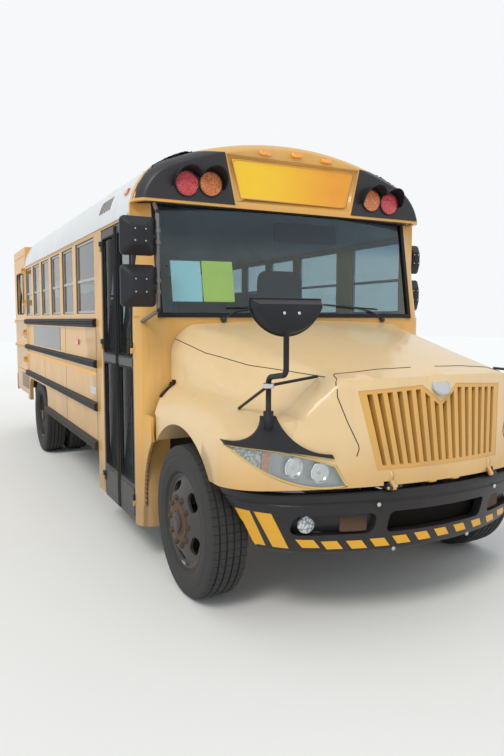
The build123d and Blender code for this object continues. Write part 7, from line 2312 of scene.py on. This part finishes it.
@dataclass
class StopArm:
    """White border and two lamps on both faces of the stop arm."""

    hinge_back: float = 1.0200
    height: float = 1.465
    across: float = 0.2285
    border: Flat = (0.985, 0.90)        # shares of the corners' reach
    proud: float = 0.0012
    sunk: float = -0.004
    lamp: tuple[Flat, ...] = ((0, 0.034), (0.003, 0.034), (0.0045, 0.026), (0.005, 0))
    lamp_rows: Flat = (-0.150, 0.150)
    faces: tuple[tuple[float, Facing], ...] = ((1.2770, Facing.LEFT), (1.2650, Facing.RIGHT))

    def build(self) -> None:
        """Dresses the arm."""
        corner = self.across / math.cos(math.pi / 8)
        outer, inner = (corner * share for share in self.border)
        borders, lamps = [], []
        for x, facing in self.faces:
            centre = (x, at(self.hinge_back + self.across), self.height)
            ring = spun([(self.sunk, outer), (self.proud, outer), (self.proud, inner), (self.sunk, inner)], centre,
                        facing, 8)
            borders.append(ring.turned(22.5, (1, 0, 0), centre))
            lamps += [spun(self.lamp, (*centre[:2], self.height + dz), facing, 24) for dz in self.lamp_rows]
        finished("stop_border", joined(*borders), STOP_WHITE, "stop_arm")
        finished("stop_lamps", joined(*lamps), RED_BEADED, "stop_arm")


@dataclass
class Interior:
    """Bench cushions and backs, the driver's seat, and small parts of the dash."""

    rows: tuple[tuple[int, int], ...] = ((-1, 5), (1, 6))
    start: float = 1.330
    pitch: float = 0.745
    wall_gap: float = 0.014
    width: float = 0.860
    inner: float = 1.174
    cushion: Point = (0.390, 1.325, 1.435)     # depth, bottom, top
    back: Point = (0.090, 1.325, 1.945)        # thickness, bottom, top
    squareness: Flat = (0.28, 0.34)     # powers of the outline across and up
    shoulder: Flat = (0.30, 0.85)       # powers of the edge's height and width
    channel_width: float = 0.016
    channel_depth: float = 0.14
    waist: float = 0.018
    piping_level: float = 0.45
    piping_inset: float = 0.992
    piping: float = 0.0045
    driver: tuple[tuple[str, Point, Point, Facing], ...] = (        # name, corners as x, back and z, and facing
        ("driver_cushion", (0.310, 0.700, 1.400), (0.810, 1.150, 1.510), Facing.UP),
        ("driver_back", (0.320, 1.100, 1.505), (0.800, 1.200, 2.130), Facing.FRONT))
    bellows_place: Flat = (0.560, 0.930)
    bellows_span: Flat = (0.990, 1.400)
    bellows: Flat = (0.150, 0.014)      # half width and the depth of a fold
    inside_mirror: Point = (0.18, 0.085, 2.330)
    dials: tuple[float, ...] = (0.44, 0.55, 0.66)
    dial_place: Flat = (0.228, 1.430)
    dial: tuple[Flat, ...] = ((0, 0.042), (0.006, 0.042), (0.008, 0.036), (0.004, 0.034), (0.004, 0))
    dial_lean: float = -18.0

    def pad(self, name: str, low: Point, high: Point, facing: Facing, channels: int, coat: Coat,
            replaces: tuple[str, ...]) -> None:
        """A crowned pad with piping and sewn channels.

        Each point is the box's half size times a power of the cosines and sines of two angles; the face's height
        drops by a narrow bell curve at each channel.

        Args:
            name: the pad's name.
            low: the box's lowest corner.
            high: its highest corner.
            facing: the way its crowned face looks.
            channels: number of sewn lines across.
            coat: its finish.
            replaces: the CAD node that it stands for.
        """
        low, high = np.array(low), np.array(high)
        centre, half = (low + high) / 2, (high - low) / 2
        across, upward, normal = facing.axes
        size = np.array([np.abs(half @ across), np.abs(half @ upward), np.abs(half @ normal)])
        around = np.linspace(-np.pi, np.pi, 97)[:-1]
        ring, lift = np.meshgrid(around, np.linspace(-np.pi / 2, np.pi / 2, 27))
        wide, tall = self.squareness
        edge, rise = self.shoulder
        flat = signed_power(np.cos(lift), edge)
        x = flat * signed_power(np.cos(ring), wide) * size[0]
        y = flat * signed_power(np.sin(ring), tall) * size[1]
        z = signed_power(np.sin(lift), rise) * size[2]
        lines = (np.arange(channels) + 1) / (channels + 1) * 2 - 1
        bell = np.exp(-((x[..., None] / size[0] - lines) / self.channel_width) ** 2).sum(-1)
        z = z - np.sign(z) * self.channel_depth * size[2] * bell * (np.abs(z) > 0.3 * size[2])
        x = x * (1 - self.waist * np.cos(y / size[1] * np.pi / 2) ** 2)
        points = centre + x[..., None] * across + y[..., None] * upward + z[..., None] * normal
        shell = woven(points, round_columns=True, capped=True)
        level = self.piping_level
        reach = math.cos(math.asin(level ** (1 / rise))) ** edge
        rim = (centre + (reach * signed_power(np.cos(around), wide) * size[0] * self.piping_inset)[:, None] * across
               + (reach * signed_power(np.sin(around), tall) * size[1] * self.piping_inset)[:, None] * upward
               + level * size[2] * normal)
        piping = tube(rim, self.piping, 6, tuple(normal), closed=True)
        piece = finished(name, joined(shell, piping), coat, replaces=replaces, sharp=50)

    def build(self) -> None:
        """Makes every pad and the small parts."""
        depth, bottom, top = self.cushion
        thick, back_low, back_high = self.back
        for side, rows in self.rows:
            label, _ = side_of(side)
            wall_x = side * (self.inner - self.wall_gap)
            aisle_x = side * (self.inner - self.wall_gap - self.width)
            x = sorted((wall_x, aisle_x))
            for row in range(rows):
                y = at(self.start + row * self.pitch)
                self.pad(f"bench_cushion_{label}_{row + 1}", (x[0], y, bottom), (x[1], y + depth, top), Facing.UP, 2,
                         SEAT_TEAL, ("seat_cushions",))
                self.pad(f"bench_back_{label}_{row + 1}", (x[0], y + depth + 0.002, back_low),
                         (x[1], y + depth + 0.002 + thick, back_high), Facing.FRONT, 2, SEAT_TEAL, ("seat_backs",))
        for name, (x_low, front, z_low), (x_high, rear, z_high), facing in self.driver:
            self.pad(name, (x_low, at(front), z_low), (x_high, at(rear), z_high), facing, 1, SEAT_GREY,
                     ("driver_seat",))
        heights = np.linspace(*self.bellows_span, 19)
        width, fold = self.bellows
        widths = width - fold * (np.arange(19) % 2)
        ring = rounded(2.0, 2.0, 0.3, 5)
        middle = np.array([self.bellows_place[0], at(self.bellows_place[1])])
        bellows = np.stack([np.column_stack([middle + ring * width, np.full(len(ring), z)])
                            for z, width in zip(heights, widths)])
        finished("driver_pedestal", woven(bellows, round_columns=True, capped=True), RUBBER)
        dials = [spun(self.dial, place, Facing.REAR, 24).turned(self.dial_lean, (1, 0, 0), place)
                 for place in [(x, at(self.dial_place[0]), self.dial_place[1]) for x in self.dials]]
        finished("dash_dials", joined(*dials), PLASTIC)
        x, back, z = self.inside_mirror
        mirror = slab(rounded(0.560, 0.150, 0.03), 0.020, (x, at(back), z), Facing.REAR, 0.004)
        finished("inside_mirror", mirror, PLASTIC)


def main() -> None:
    """Builds the stage and each sub-assembly."""
    logging.basicConfig(level=logging.INFO, format="%(name)s: %(message)s")
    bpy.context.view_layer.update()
    for part in (Stage(), Carcass(), Tyres(), Wheels(), WarningLamps(), Cap(), Windscreen(), Nose(), Headlamps(),
                 FrontBumper(), SideMirrors(), Crossovers(), Entrance(), SideBody(), Roof(), CapAndTailLamps(),
                 Rear(), StopArm(), Interior()):
        log.info("building %s", type(part).__name__)
        part.build()


if __name__ == "__main__":
    main()
